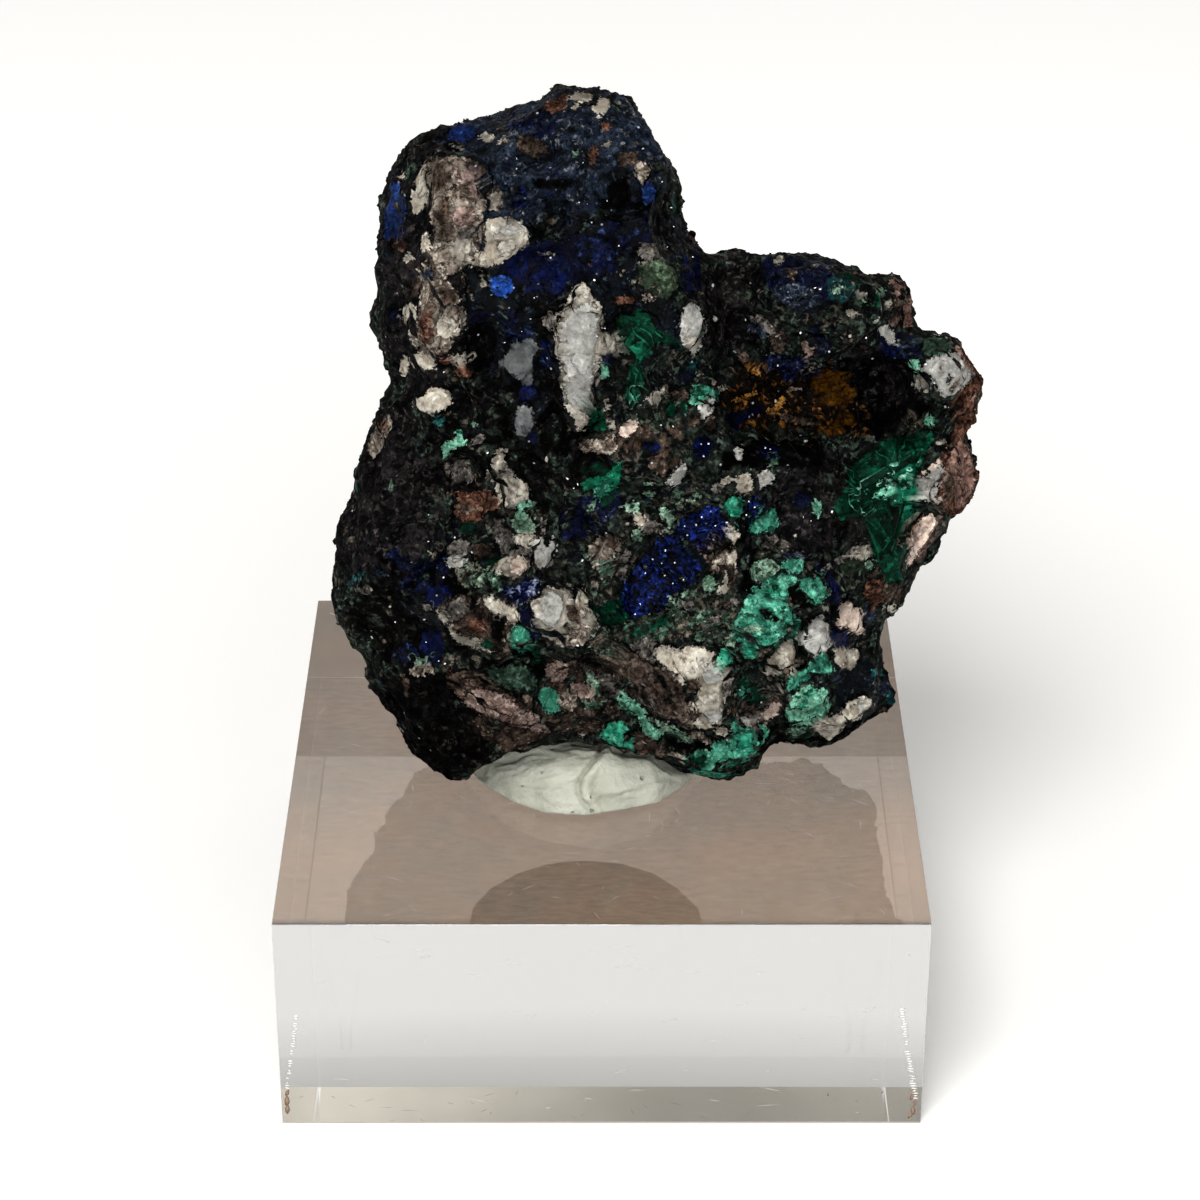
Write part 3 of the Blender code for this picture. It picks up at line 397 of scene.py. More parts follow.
    ("brown", (-0.6, 1.3, 0.0, 2.4, 0.8, 2.5, 0.9, 1.9, 0.2, 1.1)),
    ("vivid", (1.8, 1.8, 0.55, 0.4)),
    ("vivid", (5.1, 1.0, 5.1, 2.2, 5.8, 2.7, 6.4, 2.3, 6.3, 1.5, 5.9, 0.8)),
    ("vivid", (7.5, 4.3, 8.6, 4.5, 9.6, 4.9, 10.3, 5.0, 10.3, 4.3, 9.2, 4.0, 8.5, 3.7, 8.4, 2.6, 7.9, 2.4,
        7.6, 3.4)),
    ("brown", (1.3, 0.9, 3.0, 1.5, 4.0, 0.7, 3.2, 0.0, 2.6, -0.6, 1.6, 0.1)),
    ("white", (2.8, -1.0, 3.3, -0.4, 3.6, 0.1, 4.2, 0.5, 4.6, 0.0, 4.2, -0.6, 3.8, -1.0, 3.4, -1.4, 3.0,
        -1.2)),
    ("sage", (5.3, -2.1, 0.35, 0.3)),
    ("white", (8.1, 1.5, 8.5, 1.8, 8.85, 1.7, 8.8, 1.3, 8.7, 0.7, 8.3, 1.0)),
    ("vivid", (10.2, 1.6, 10.6, 2.3, 11.1, 2.3, 11.7, 1.6, 11.8, 1.0, 11.0, 0.7, 10.4, 1.0)),
    ("sage", (10.8, 0.6, 11.3, 0.9, 11.7, 1.1, 11.6, 0.5, 11.2, 0.2, 10.8, 0.3)),
    ("cream", (8.3, -1.0, 8.5, -0.5, 9.0, -0.2, 9.5, -0.4, 9.7, -1.0, 9.4, -1.8, 8.9, -1.9, 8.4, -1.7)),
    ("stone", (7.6, -0.8, 0.55, 0.3, 25)),
    ("ash", (6.8, -1.4, 0.45, 0.4)),
    ("white", (10.0, -0.5, 10.4, -0.1, 10.9, 0.1, 11.5, -0.5, 11.2, -1.0, 10.6, -1.3, 10.2, -1.6, 10.2,
        -0.9)),
    # Left of the middle
    ("pale_mint", (-14.8, 1.8, -14.6, 0.9, -14.2, 1.1, -14.0, 1.7, -13.4, 1.8, -12.9, 1.9, -13.0, 2.5,
        -13.4, 2.8, -13.8, 2.4, -14.5, 2.2)),
    ("ash", (-11.9, 2.4, 0.6, 0.4)),
    ("stone", (-10.5, 1.7, -10.0, 1.6, -9.6, 1.8, -9.8, 1.1, -10.0, 0.9, -9.6, 0.3, -9.1, -0.2, -9.1, -0.6,
        -8.6, -0.7, -8.1, -1.1, -7.9, -1.8, -7.9, -2.3, -8.5, -2.6, -9.2, -2.9, -9.8, -2.9, -10.1, -2.3,
        -10.5, -1.6, -10.7, -1.0, -11.3, -0.6, -11.1, 0.0, -10.9, 0.4, -10.7, 0.9)),
    ("soot_and_shade", (-10.1, -0.15, 0.4, 0.15, 15)),
    ("soot_and_shade", (-9.6, -1.7, 0.18, 0.15)),
    ("ash", (-13.9, -0.2, 0.55, 0.6)),
    ("ash", (-12.6, -0.6, 0.4, 0.45)),
    ("ash", (-13.1, 0.5, 0.4, 0.25)),
    ("rust", (-14.3, -1.7, -12.5, -1.8, -11.3, -1.5, -10.2, -2.3, -10.3, -3.0, -11.5, -3.3, -11.6, -4.0,
        -12.6, -4.1, -13.7, -3.8, -13.8, -3.2, -13.2, -2.6)),
    ("brown", (-12.9, -3.0, 0.8, 0.35, -15)),
    ("green", (-12.6, -4.5, 0.65, 0.45)),
    ("pale_mint", (-8.4, -2.75, 0.65, 0.25, 15)),
    ("sage", (-9.4, -4.0, -8.8, -3.4, -8.0, -3.4, -7.5, -4.0, -7.4, -4.8, -8.2, -5.0, -9.0, -4.9)),
    ("ash", (-10.2, -4.4, 0.15, 0.5)),
    ("ash", (-10.5, -5.1, -9.8, -5.0, -9.5, -5.6, -9.3, -6.2, -8.8, -6.6, -9.7, -6.9, -10.2, -6.4, -10.5,
        -5.8)),
    ("stone", (-9.2, -5.2, -8.6, -5.0, -7.6, -5.0, -7.1, -5.4, -7.5, -5.9, -8.3, -5.9, -9.0, -5.8)),
    ("ash", (-8.3, -6.4, 0.7, 0.35)),
    ("ash", (-14.4, -6.1, -13.9, -5.6, -13.2, -5.4, -12.6, -5.7, -12.4, -6.2, -12.8, -6.7, -13.7, -6.6,
        -14.3, -6.6)),
    ("brown", (-11.7, -6.3, 0.75, 0.6)),
    ("white", (-14.5, -7.1, -14.1, -6.7, -13.6, -6.65, -13.0, -6.9, -12.8, -7.2, -13.3, -7.5, -13.9, -7.6,
        -14.3, -7.5)),
    ("cream", (-13.3, -8.1, 0.3, 0.5, 20)),
    ("lichen", (-12.4, -8.3, 0.9, 1.1)),
    ("stone", (-15.5, -6.6, 0.45, 0.2, -25)),
    ("cream", (-10.7, -7.5, -10.0, -6.9, -9.2, -6.6, -8.3, -6.8, -7.6, -7.1, -7.9, -7.7, -8.4, -8.1, -9.1,
        -8.6, -9.8, -8.3, -10.5, -8.1)),
    ("pinkish", (-8.8, -7.6, 0.8, 0.45, 20)),
    ("white", (-7.4, -5.6, -6.9, -5.3, -6.6, -6.1, -6.4, -6.0, -6.1, -5.2, -5.6, -5.4, -5.8, -6.2, -6.0,
        -6.9, -6.2, -7.5, -6.6, -7.7, -7.2, -7.7, -7.5, -7.2, -7.5, -6.5)),
    ("ash", (-6.8, -4.4, 0.25, 0.6)),
    ("sage", (-11.2, -7.6, -10.8, -7.9, -10.2, -8.7, -9.8, -9.2, -10.3, -9.5, -10.9, -8.9, -11.2, -8.3)),
    ("vivid", (-10.2, -8.9, -9.2, -9.2, -8.6, -8.8, -7.9, -8.5, -7.3, -8.7, -6.9, -9.6, -7.5, -10.0, -8.0,
        -10.4, -7.8, -11.2, -7.2, -11.8, -7.0, -12.6, -7.1, -13.4, -7.7, -13.2, -8.1, -12.5, -8.6, -11.6,
        -8.7, -10.9, -9.2, -10.5, -9.8, -9.9)),
    ("frost", (-8.7, -9.4, 0.25, 0.35)),
    ("frost", (-7.8, -9.5, 0.3, 0.35)),
    ("frost", (-7.4, -8.8, 0.28, 0.28)),
    ("frost", (-8.3, -10.5, 0.2, 0.15)),
    ("frost", (-9.5, -9.5, 0.3, 0.2)),
    # The brown clast and the grey lump
    ("brown", (-15.3, -11.0, -14.7, -10.4, -13.9, -9.9, -12.6, -9.7, -11.7, -9.9, -10.9, -9.9, -9.9, -10.4,
        -9.0, -10.7, -8.7, -11.2, -8.8, -11.8, -9.4, -12.4, -9.5, -13.2, -9.4, -14.0, -9.3, -14.5, -10.0,
        -14.7, -10.6, -14.1, -11.4, -14.1, -12.4, -13.9, -13.3, -13.5, -14.0, -12.9, -14.1, -12.3, -14.7,
        -11.6)),
    ("ash", (-15.1, -11.0, -14.4, -10.4, -13.7, -10.1, -12.9, -10.0, -12.8, -11.2, -13.4, -11.8, -14.4,
        -11.7)),
    ("rust", (-12.0, -12.2, 0.7, 0.6)),
    ("soot_and_shade", (-10.4, -12.2, 0.6, 1.3)),
    ("soot_and_shade", (-12.3, -10.5, 0.35, 0.7)),
    ("stone", (-15.2, -11.1, -14.6, -11.3, -13.9, -12.1, -13.9, -12.6, -13.1, -13.1, -12.2, -13.2, -11.7,
        -13.2, -11.1, -13.9, -10.8, -14.3, -11.5, -14.2, -12.4, -14.0, -13.4, -13.6, -14.1, -12.9, -14.2,
        -12.3, -14.9, -11.7)),
    ("cream", (-11.6, -10.2, -11.0, -9.9, -10.2, -10.3, -9.6, -10.6, -8.9, -10.8, -8.7, -11.6, -8.8, -12.0,
        -9.4, -12.0, -9.6, -11.5, -10.4, -11.3, -11.2, -10.8, -11.6, -10.5)),
    ("green", (-11.2, -13.7, 0.4, 0.4)),
    ("sandstone", (-9.7, -13.8, 0.3, 0.75)),
    ("mint", (-9.4, -12.8, -9.1, -12.3, -8.6, -12.1, -8.1, -12.6, -7.8, -13.0, -7.6, -13.4, -7.6, -13.9,
        -8.2, -14.3, -8.9, -14.5, -9.1, -14.0, -9.4, -13.5)),
    ("stone", (-7.9, -10.3, -7.0, -10.0, -6.7, -9.4, -6.4, -9.1, -5.9, -9.3, -5.3, -9.4, -4.9, -8.9, -4.6,
        -9.3, -4.6, -10.0, -4.4, -10.4, -3.9, -9.3, -3.5, -10.0, -3.2, -11.0, -2.5, -11.4, -2.4, -12.3,
        -3.0, -13.1, -4.0, -13.8, -5.4, -13.9, -6.0, -13.4, -6.7, -13.2, -7.1, -12.7, -7.3, -11.8, -7.6,
        -11.0)),
    ("white", (-6.2, -10.9, 0.9, 1.3)),
    ("sandstone", (-6.0, -13.4, -5.0, -12.6, -3.9, -12.1, -3.1, -12.5, -3.2, -13.3, -4.0, -13.8, -5.4,
        -13.9)),
    ("brown", (-5.0, -10.6, -4.4, -10.4, -3.9, -11.2, -3.9, -12.1, -4.6, -12.1, -5.0, -11.3)),
    ("soot_and_shade", (-4.9, -12.3, 0.3, 0.4)),
    ("cream", (-3.6, -10.3, 0.3, 1.0)),
    # The foot
    ("lichen", (-3.2, -12.6, 0.0, -12.0, 3.0, -12.0, 3.6, -13.2, 2.2, -13.4, 0.2, -13.6, -1.6, -14.5, -3.4,
        -14.1)),
    ("green", (-2.4, -11.0, -1.8, -10.4, -1.1, -10.0, -0.9, -9.3, -0.6, -9.6, -0.7, -10.7, -1.3, -11.1,
        -1.8, -11.5)),
    ("green", (1.0, -12.6, 0.9, 0.35, 20)),
    ("green", (2.3, -12.0, 0.8, 0.35, 35)),
    ("sage", (3.3, -10.7, 0.25, 0.6)),
    ("sage", (4.3, -9.7, 0.45, 0.2, 40)),
    ("ash", (4.6, -10.6, 0.5, 0.4)),
    ("slab", (-4.2, -14.5, -1.0, -14.7, -0.3, -14.3, 0.6, -14.3, 1.8, -15.1, 2.4, -15.3, 3.6, -15.9, 4.0,
        -16.6, 4.2, -17.6, 4.6, -18.5, 5.4, -19.6, 5.6, -20.3, 4.6, -20.3, 3.6, -19.6, 2.4, -19.4, 1.0,
        -18.4, -0.6, -17.4, -1.6, -16.7, -2.9, -15.9, -4.2, -15.2)),
    ("soot_and_shade", (-3.1, -15.0, 1.2, 0.4, -8)),
    ("ash", (-2.9, -15.9, -1.6, -16.0, -0.6, -17.0, 0.0, -17.5, -0.9, -17.7, -1.9, -17.1, -2.6, -16.5)),
    ("soot_and_shade", (2.5, -16.6, 0.25, 0.8, 30)),
    ("soot_and_shade", (2.9, -18.1, 0.2, 0.8, 50)),
    ("ash", (1.4, -18.2, 0.9, 0.35, -40)),
    ("ash", (-0.6, -14.0, 0.3, -13.5, 1.4, -13.2, 2.0, -13.5, 2.0, -14.2, 1.6, -14.3, 2.1, -15.0, 1.4,
        -14.9, 0.5, -14.2, -0.3, -14.3)),
    ("cream", (2.0, -14.0, 2.6, -13.7, 3.4, -13.9, 4.0, -14.2, 4.4, -13.8, 5.2, -13.9, 6.0, -14.0, 6.6,
        -14.4, 6.9, -15.0, 7.2, -15.4, 7.7, -15.9, 7.2, -16.6, 7.3, -17.2, 7.4, -18.0, 7.2, -18.9, 7.1,
        -19.9, 6.4, -20.2, 5.6, -20.4, 5.0, -19.9, 5.3, -19.5, 5.6, -19.1, 4.9, -18.6, 5.0, -17.8, 5.6,
        -17.0, 5.4, -16.4, 4.4, -16.6, 4.0, -17.0, 3.8, -16.0, 3.4, -15.9, 2.6, -15.3, 2.1, -14.9)),
    ("white", (6.4, -16.2, 0.9, 0.6)),
    ("white", (6.5, -19.3, 0.8, 0.4)),
    ("stone", (6.2, -17.9, 0.9, 0.4)),
    ("brown", (5.0, -16.8, 0.6, 0.4)),
    ("brown", (5.4, -19.2, 0.3, 0.25)),
    ("soot_and_shade", (6.7, -15.3, 0.15, 0.2)),
    ("stone", (7.2, -20.5, 0.45, 0.35)),
    ("sandstone", (5.6, -21.0, 0.9, 0.35, -20)),
    ("sage", (-3.5, -15.9, -2.9, -16.0, -2.4, -16.8, -2.1, -17.5, -2.6, -17.8, -2.9, -17.0, -3.4, -16.5)),
    ("hollow", (-2.3, -17.0, -1.1, -17.6, -0.9, -18.2, -1.8, -18.0, -2.3, -17.6)),
    ("pale_mint", (-0.9, -17.8, -0.5, -17.5, 0.0, -17.9, 0.7, -18.4, 1.2, -19.0, 1.4, -19.6, 2.0, -20.3,
        2.7, -20.5, 2.4, -21.1, 1.7, -21.1, 1.1, -20.6, 0.8, -19.9, 0.6, -19.2, 0.1, -18.9, -0.6, -18.5)),
    ("sage", (2.0, -19.6, 3.0, -19.9, 3.8, -20.3, 4.6, -20.9, 5.0, -21.5, 4.2, -21.2, 3.4, -20.8, 2.4,
        -20.4)),
    ("hollow", (2.6, -20.9, 3.8, -21.2, 5.0, -21.7, 6.0, -22.1, 4.6, -22.2, 3.2, -21.6)),
    ("mauve", (-4.7, -16.6, -3.6, -16.8, -2.8, -17.3, -2.9, -17.9, -3.8, -17.9, -4.7, -17.7)),
    ("sage", (-3.0, -18.4, 0.8, 0.35)),
    ("brown", (-1.2, -18.9, 0.9, 0.5)),
    ("brown", (-3.2, -20.2, 1.2, 0.4)),
    ("cream", (-3.9, -20.9, 0.3, 0.2)),
    ("jade", (-2.2, -20.4, -1.6, -19.8, -0.8, -19.8, -0.1, -20.2, 0.1, -20.8, 0.3, -21.6, 0.3, -22.2, -0.6,
        -22.1, -1.3, -21.9, -1.9, -21.2, -2.3, -20.9)),
    ("brown", (0.3, -20.7, 0.7, -20.4, 1.6, -21.0, 2.6, -21.7, 3.6, -22.1, 4.3, -22.5, 4.3, -23.1, 3.8,
        -23.7, 3.0, -23.6, 2.2, -23.3, 1.2, -22.6, 0.4, -22.1)),
    ("stone", (2.9, -22.3, 3.6, -22.2, 4.3, -22.5, 4.3, -23.1, 3.7, -23.6, 3.3, -23.0)),
    ("mint", (4.4, -22.9, 4.8, -22.3, 5.6, -22.2, 6.4, -22.0, 6.5, -21.5, 7.2, -21.2, 8.1, -21.0, 8.0,
        -20.4, 8.0, -19.8, 8.3, -19.3, 8.6, -19.8, 8.9, -20.3, 9.8, -20.2, 10.4, -19.9, 10.8, -20.3, 10.9,
        -20.9, 10.4, -21.4, 10.2, -22.0, 10.1, -22.9, 9.6, -23.3, 8.8, -23.8, 7.6, -24.1, 6.2, -24.2, 5.2,
        -24.0, 4.5, -23.4)),
    ("green", (5.3, -22.9, 0.7, 0.6)),
    ("jade", (9.0, -21.4, 0.8, 0.9)),
    ("soot_and_shade", (8.9, -23.5, 0.9, 0.25, 20)),
    ("white", (8.6, -19.4, 9.4, -19.2, 10.0, -19.3, 9.9, -19.9, 9.4, -20.2, 8.9, -20.0)),
    ("pinkish", (10.5, -18.9, 11.0, -18.4, 11.6, -18.1, 11.9, -18.5, 11.6, -19.1, 10.9, -19.6, 10.2,
        -19.4)),
    ("green", (8.3, -16.5, 9.0, -16.1, 9.5, -16.9, 10.2, -17.2, 10.6, -17.9, 9.6, -18.4, 8.6, -18.3, 8.2,
        -17.6)),
    ("mint", (8.8, -17.5, 0.3, 0.5)),
    ("ash", (7.8, -17.0, 0.5, 0.8)),
    ("ash", (11.4, -17.3, 0.8, 0.5)),
    ("brown", (9.0, -18.9, 1.2, 0.35)),
    ("jade", (7.6, -14.6, 0.65, 0.65)),
    ("sage", (7.8, -13.5, 0.5, 0.4)),
    ("sage", (5.5, -13.1, 0.5, 0.45)),
    # The flake and the black lower left
    ("moss", (-11.3, -15.6, -8.4, -15.3, -7.3, -16.4, -7.5, -17.3, -9.4, -17.2, -10.8, -16.6)),
    ("brown", (-14.6, -16.0, -12.9, -15.7, -11.8, -15.8, -10.9, -16.6, -9.6, -17.4, -8.2, -18.4, -7.2,
        -19.4, -6.4, -20.2, -6.0, -20.8, -7.4, -20.6, -9.0, -20.1, -10.4, -19.6, -11.6, -19.2, -12.6, -18.6,
        -13.4, -17.8, -14.2, -16.9)),
    ("mauve", (-13.2, -18.0, -12.3, -17.2, -10.8, -17.3, -9.6, -18.0, -8.4, -18.8, -7.2, -19.5, -6.1, -20.7,
        -7.6, -20.5, -9.4, -19.9, -11.2, -19.3, -12.4, -18.7)),
    ("mint", (-7.2, -17.4, -6.6, -17.0, -6.0, -17.1, -5.6, -17.6, -5.8, -18.3, -5.6, -18.9, -6.3, -19.2,
        -6.9, -18.7, -7.2, -18.1)),
    ("green", (-7.4, -14.7, 0.5, 0.7)),
    ("mauve", (-5.7, -15.8, 0.9, 0.8)),
    ("sandstone", (-4.9, -18.2, 0.7, 0.8)),
    ("brown", (-8.2, -18.3, 0.6, 0.6)),
    ("teal", (-21.4, -8.4, 0.9, 0.2, 40)),
    ("ash", (-20.8, -9.4, 0.55, 0.35)),
    ("dusty", (-19.6, -8.2, 0.5, 0.3)),
    ("vivid", (-15.9, -9.4, -15.0, -9.0, -14.1, -9.3, -14.0, -9.9, -14.8, -10.5, -15.6, -10.8, -16.0,
        -10.2)),
    ("vivid", (-16.4, -13.0, -15.6, -12.4, -14.8, -12.9, -14.6, -14.2, -14.9, -15.3, -15.8, -14.9, -16.3,
        -14.0)),
    ("navy", (-18.4, -13.9, -17.4, -13.5, -16.6, -14.2, -16.8, -15.0, -18.0, -15.2, -18.6, -14.6)),
    ("sage", (-16.4, -15.0, 0.5, 0.28)),
    ("sandstone", (-17.4, -15.8, -16.4, -15.3, -15.5, -15.4, -15.4, -15.9, -16.3, -16.2, -17.2, -16.1)),
    ("brown", (-17.6, -16.9, 0.25, 0.8, 10)),
    ("ash", (-15.9, -10.8, 0.35, 0.25)),
    ("sandstone", (-20.3, 2.7, -19.6, 3.4, -19.1, 4.4, -18.6, 3.9, -18.9, 3.0, -19.5, 1.6, -20.2, 0.9,
        -20.6, 1.6)),
    ("rust", (-19.4, 3.4, 0.5, 0.2, -30)),
    # The druse and the malachite round it
    ("night", (3.4, -6.2, 6.4, -5.4, 6.2, -7.2, 4.4, -7.8)),
    ("druse", (0.7, -7.3, 1.2, -6.6, 1.8, -6.0, 2.1, -5.4, 2.9, -5.1, 3.9, -5.0, 4.1, -6.0, 4.4, -6.9, 5.6,
        -7.2, 5.6, -8.0, 5.0, -8.8, 4.2, -9.3, 3.1, -9.9, 2.8, -10.7, 2.2, -11.1, 1.0, -11.4, 0.2, -11.7,
        -0.5, -11.1, -0.6, -10.2, -0.5, -9.2, 0.0, -8.2)),
    ("druse", (3.4, -4.5, 3.8, -4.0, 4.4, -3.6, 5.2, -3.3, 5.9, -2.9, 6.6, -2.6, 7.1, -3.1, 7.2, -3.6, 7.8,
        -4.0, 8.3, -4.3, 8.1, -4.9, 7.2, -5.5, 6.2, -5.9, 5.2, -5.8, 4.3, -5.4)),
    ("druse", (8.9, -2.3, 9.4, -2.1, 10.1, -1.9, 10.7, -2.3, 10.7, -2.9, 10.2, -3.3, 9.9, -3.8, 9.3, -4.6,
        8.8, -5.0, 8.7, -4.2, 8.9, -3.4)),
    ("jade", (7.4, -2.9, 7.5, -2.4, 8.1, -2.0, 8.8, -2.2, 8.9, -2.9, 8.7, -3.6, 8.2, -4.0, 7.6, -3.4)),
    ("mint", (9.3, -4.4, 9.9, -3.8, 10.4, -3.4, 10.6, -2.9, 11.4, -3.0, 11.6, -3.7, 11.7, -4.3, 11.2, -4.8,
        10.4, -4.8, 9.9, -5.1, 9.4, -4.8)),
    ("cream", (7.9, -5.4, 8.2, -4.8, 8.4, -4.4, 8.6, -5.0, 8.4, -5.8, 8.0, -5.9)),
    ("brown", (6.0, -6.9, 6.8, -6.2, 7.6, -5.9, 8.2, -6.1, 8.4, -7.0, 8.4, -8.2, 8.1, -9.0, 7.6, -9.4, 7.4,
        -8.4, 7.0, -7.9, 6.2, -8.0, 6.0, -7.5)),
    ("sandstone", (7.2, -6.9, 0.7, 0.6)),
    ("cream", (8.0, -6.1, 8.4, -6.6, 8.45, -8.0, 8.1, -7.4, 7.7, -7.4, 7.8, -6.6)),
    ("stone", (7.5, -8.6, 0.2, 0.6)),
    ("sage", (6.2, -8.9, 0.6, 0.7)),
    ("stone", (7.3, -9.4, 0.45, 0.35)),
    ("brown", (7.6, -10.6, 0.35, 0.3)),
    ("ash", (8.3, -10.4, 0.4, 0.3)),
    ("ash", (6.7, -11.6, 0.4, 0.3)),
    ("ash", (6.1, -12.8, 0.3, 0.25)),
    ("sage", (5.5, -11.7, 0.35, 0.4)),
    ("sage", (1.5, -1.9, 0.45, 0.3)),
    ("sage", (1.5, -1.1, 0.3, 0.2)),
    ("sage", (0.2, -2.9, 0.6, 0.4)),
    ("sage", (2.0, -3.0, 2.9, -3.0, 3.4, -3.6, 3.9, -3.4, 3.4, -4.2, 3.1, -4.7, 2.9, -4.0, 2.2, -3.4)),
    ("cream", (0.8, -3.9, 0.35, 0.5)),
    ("ash", (1.7, -4.5, 0.8, 0.6)),
    ("sage", (0.5, -5.1, 0.4, 0.5)),
    ("cream", (2.6, -4.9, 0.3, 0.15)),
    ("emerald", (-3.9, -1.0, -3.0, -0.6, -2.0, -0.5, -1.2, 0.3, -0.6, 0.6, -0.8, -0.6, -1.0, -1.4, -1.9,
        -2.0, -2.6, -2.3, -2.9, -1.4, -3.6, -1.7)),
    ("mint", (-2.2, -1.6, 0.6, 0.35, 20)),
    ("sage", (-3.2, -2.9, 0.13, 0.6, -25)),
    ("sage", (-2.8, -2.7, 0.13, 0.5, -30)),
    ("navy", (-1.6, -2.6, -0.9, -1.9, -0.6, -2.6, -1.2, -3.4, -2.0, -3.9, -2.5, -3.2)),
    ("navy", (-4.3, -5.0, 1.0, 0.5)),
    ("dusty", (-2.4, -4.3, 0.8, 0.25, 35)),
    ("sandstone", (-3.3, -6.2, -2.7, -5.4, -1.9, -5.1, -1.0, -5.2, -0.7, -6.0, -1.3, -6.8, -1.2, -7.8, -1.5,
        -8.5, -2.2, -8.2, -2.9, -7.6, -3.4, -6.9)),
    ("brown", (-1.4, -5.8, 0.5, 0.5)),
    ("sage", (-1.9, -7.7, 0.6, 0.7)),
    ("ash", (-0.2, -6.1, 0.1, -6.6, -0.2, -7.6, -0.5, -8.4, -1.1, -9.0, -0.9, -7.8, -0.9, -6.9)),
    ("stone", (-2.7, -9.0, 0.35, 0.3)),
    ("stone", (-4.8, -9.3, 0.3, 0.4)),
    ("ash", (10.3, -6.0, 10.8, -5.3, 11.6, -5.1, 12.2, -5.3, 12.6, -6.0, 12.2, -6.6, 11.4, -6.3)),
    ("stone", (12.0, -5.9, 0.3, 0.6, 15)),
    ("pale_mint", (14.1, -2.7, 14.6, -2.3, 15.0, -2.5, 15.0, -3.2, 14.9, -3.9, 14.6, -3.4, 14.3, -3.1)),
    ("navy", (13.4, -2.4, 0.7, 0.6)),
    ("dusty", (13.0, -6.7, 0.9, 0.3)),
    ("sage", (9.3, -7.6, 10.0, -7.1, 11.0, -6.9, 11.8, -7.6, 11.4, -8.2, 10.4, -8.8, 9.6, -8.6)),
    ("mint", (11.9, -7.2, 12.6, -6.9, 13.3, -7.1, 13.6, -7.6, 13.4, -8.1, 12.6, -8.0, 12.0, -7.7)),
    ("mint", (8.3, -11.6, 8.8, -10.9, 9.1, -10.2, 8.8, -9.9, 9.6, -9.7, 9.2, -9.3, 9.9, -9.1, 10.2, -9.3,
        10.5, -8.6, 11.2, -8.4, 12.0, -8.1, 12.8, -8.2, 13.0, -8.7, 12.7, -9.5, 12.4, -10.0, 12.5, -10.8,
        12.9, -11.4, 13.4, -11.8, 13.5, -12.6, 13.1, -13.4, 12.6, -13.2, 12.0, -13.5, 11.5, -14.1, 10.8,
        -13.8, 10.2, -14.0, 9.8, -14.9, 9.0, -14.8, 8.8, -13.9, 8.2, -12.9, 8.1, -12.2)),
    ("jade", (11.2, -9.7, 0.9, 0.25, -10)),
    ("jade", (10.0, -12.9, 0.6, 0.5)),
    ("jade", (9.4, -14.2, 0.4, 0.5)),
    ("soot_and_shade", (10.0, -10.9, 10.8, -10.9, 11.4, -11.4, 12.0, -11.9, 11.4, -12.1, 10.7, -11.8, 10.3, -11.4)),
    ("green", (11.5, -9.3, 0.35, 0.2)),
    ("green", (12.6, -12.3, 0.6, 0.25)),
    ("sage", (9.6, -12.5, 0.8, 0.3)),
    ("hollow", (12.6, -9.2, 13.2, -9.0, 13.7, -9.9, 14.4, -10.7, 13.6, -10.8, 12.7, -10.5, 12.4, -9.9)),
    ("vivid", (14.5, -7.5, 15.4, -7.7, 15.9, -8.4, 16.3, -9.2, 16.6, -9.8, 16.8, -10.4, 15.6, -10.5, 15.7,
        -9.8, 15.6, -9.0, 15.2, -8.4, 14.8, -8.0)),
    ("mint", (13.2, -8.4, 14.0, -8.2, 14.5, -8.6, 14.6, -8.3, 15.1, -8.2, 15.5, -9.0, 15.7, -9.6, 15.4,
        -10.2, 14.9, -10.7, 14.5, -10.5, 14.1, -9.9, 13.6, -9.5, 13.3, -9.2)),
    # Lower right
    ("white", (14.1, -12.0, 14.4, -11.6, 15.0, -11.4, 15.4, -11.8, 15.6, -12.6, 15.8, -13.4, 16.0, -13.7,
        15.3, -14.0, 14.7, -14.5, 14.1, -15.0, 13.8, -14.6, 13.7, -13.9, 14.0, -13.2, 14.0, -12.5)),
    ("white", (13.3, -12.5, 13.65, -12.8, 13.65, -13.6, 13.4, -14.0, 13.2, -13.8, 13.1, -13.1)),
    ("cream", (10.9, -14.7, 11.6, -14.2, 11.9, -13.6, 12.5, -13.2, 12.8, -13.7, 13.0, -14.2, 13.4, -14.9,
        13.3, -15.3, 12.4, -15.7, 11.8, -15.9, 11.3, -16.1, 10.6, -16.1, 10.4, -15.7, 10.8, -15.3)),
    ("rust", (11.5, -15.4, 0.13, 0.35)),
    ("pinkish", (16.2, -10.7, 16.9, -10.3, 17.6, -10.5, 18.1, -11.1, 18.2, -11.8, 18.4, -12.8, 17.9, -13.0,
        17.5, -12.7, 17.2, -12.3, 16.4, -12.3, 16.2, -12.0, 16.5, -11.4)),
    ("stone", (15.4, -10.9, 0.4, 0.25, -20)),
    ("vivid", (15.7, -12.3, 16.6, -12.5, 17.2, -12.9, 17.1, -13.4, 17.3, -13.9, 16.1, -14.0, 15.8, -13.4)),
    ("cream", (16.1, -14.1, 17.0, -14.0, 17.8, -14.0, 18.2, -14.6, 17.8, -15.3, 17.3, -15.7, 16.6, -15.5,
        16.2, -15.0)),
    ("mint", (14.0, -15.3, 14.5, -14.8, 15.2, -14.3, 15.7, -14.8, 15.8, -15.4, 16.2, -15.9, 15.4, -16.1,
        14.6, -15.9, 13.9, -15.8)),
    ("mint", (12.1, -16.9, 12.6, -16.3, 13.2, -15.8, 13.8, -15.5, 14.0, -16.1, 13.9, -16.6, 13.3, -16.7,
        13.2, -17.2, 12.6, -17.3, 12.2, -17.2)),
    ("pale_mint", (12.2, -19.3, 12.3, -18.6, 12.8, -17.9, 13.4, -17.3, 13.8, -16.9, 14.3, -16.7, 14.9,
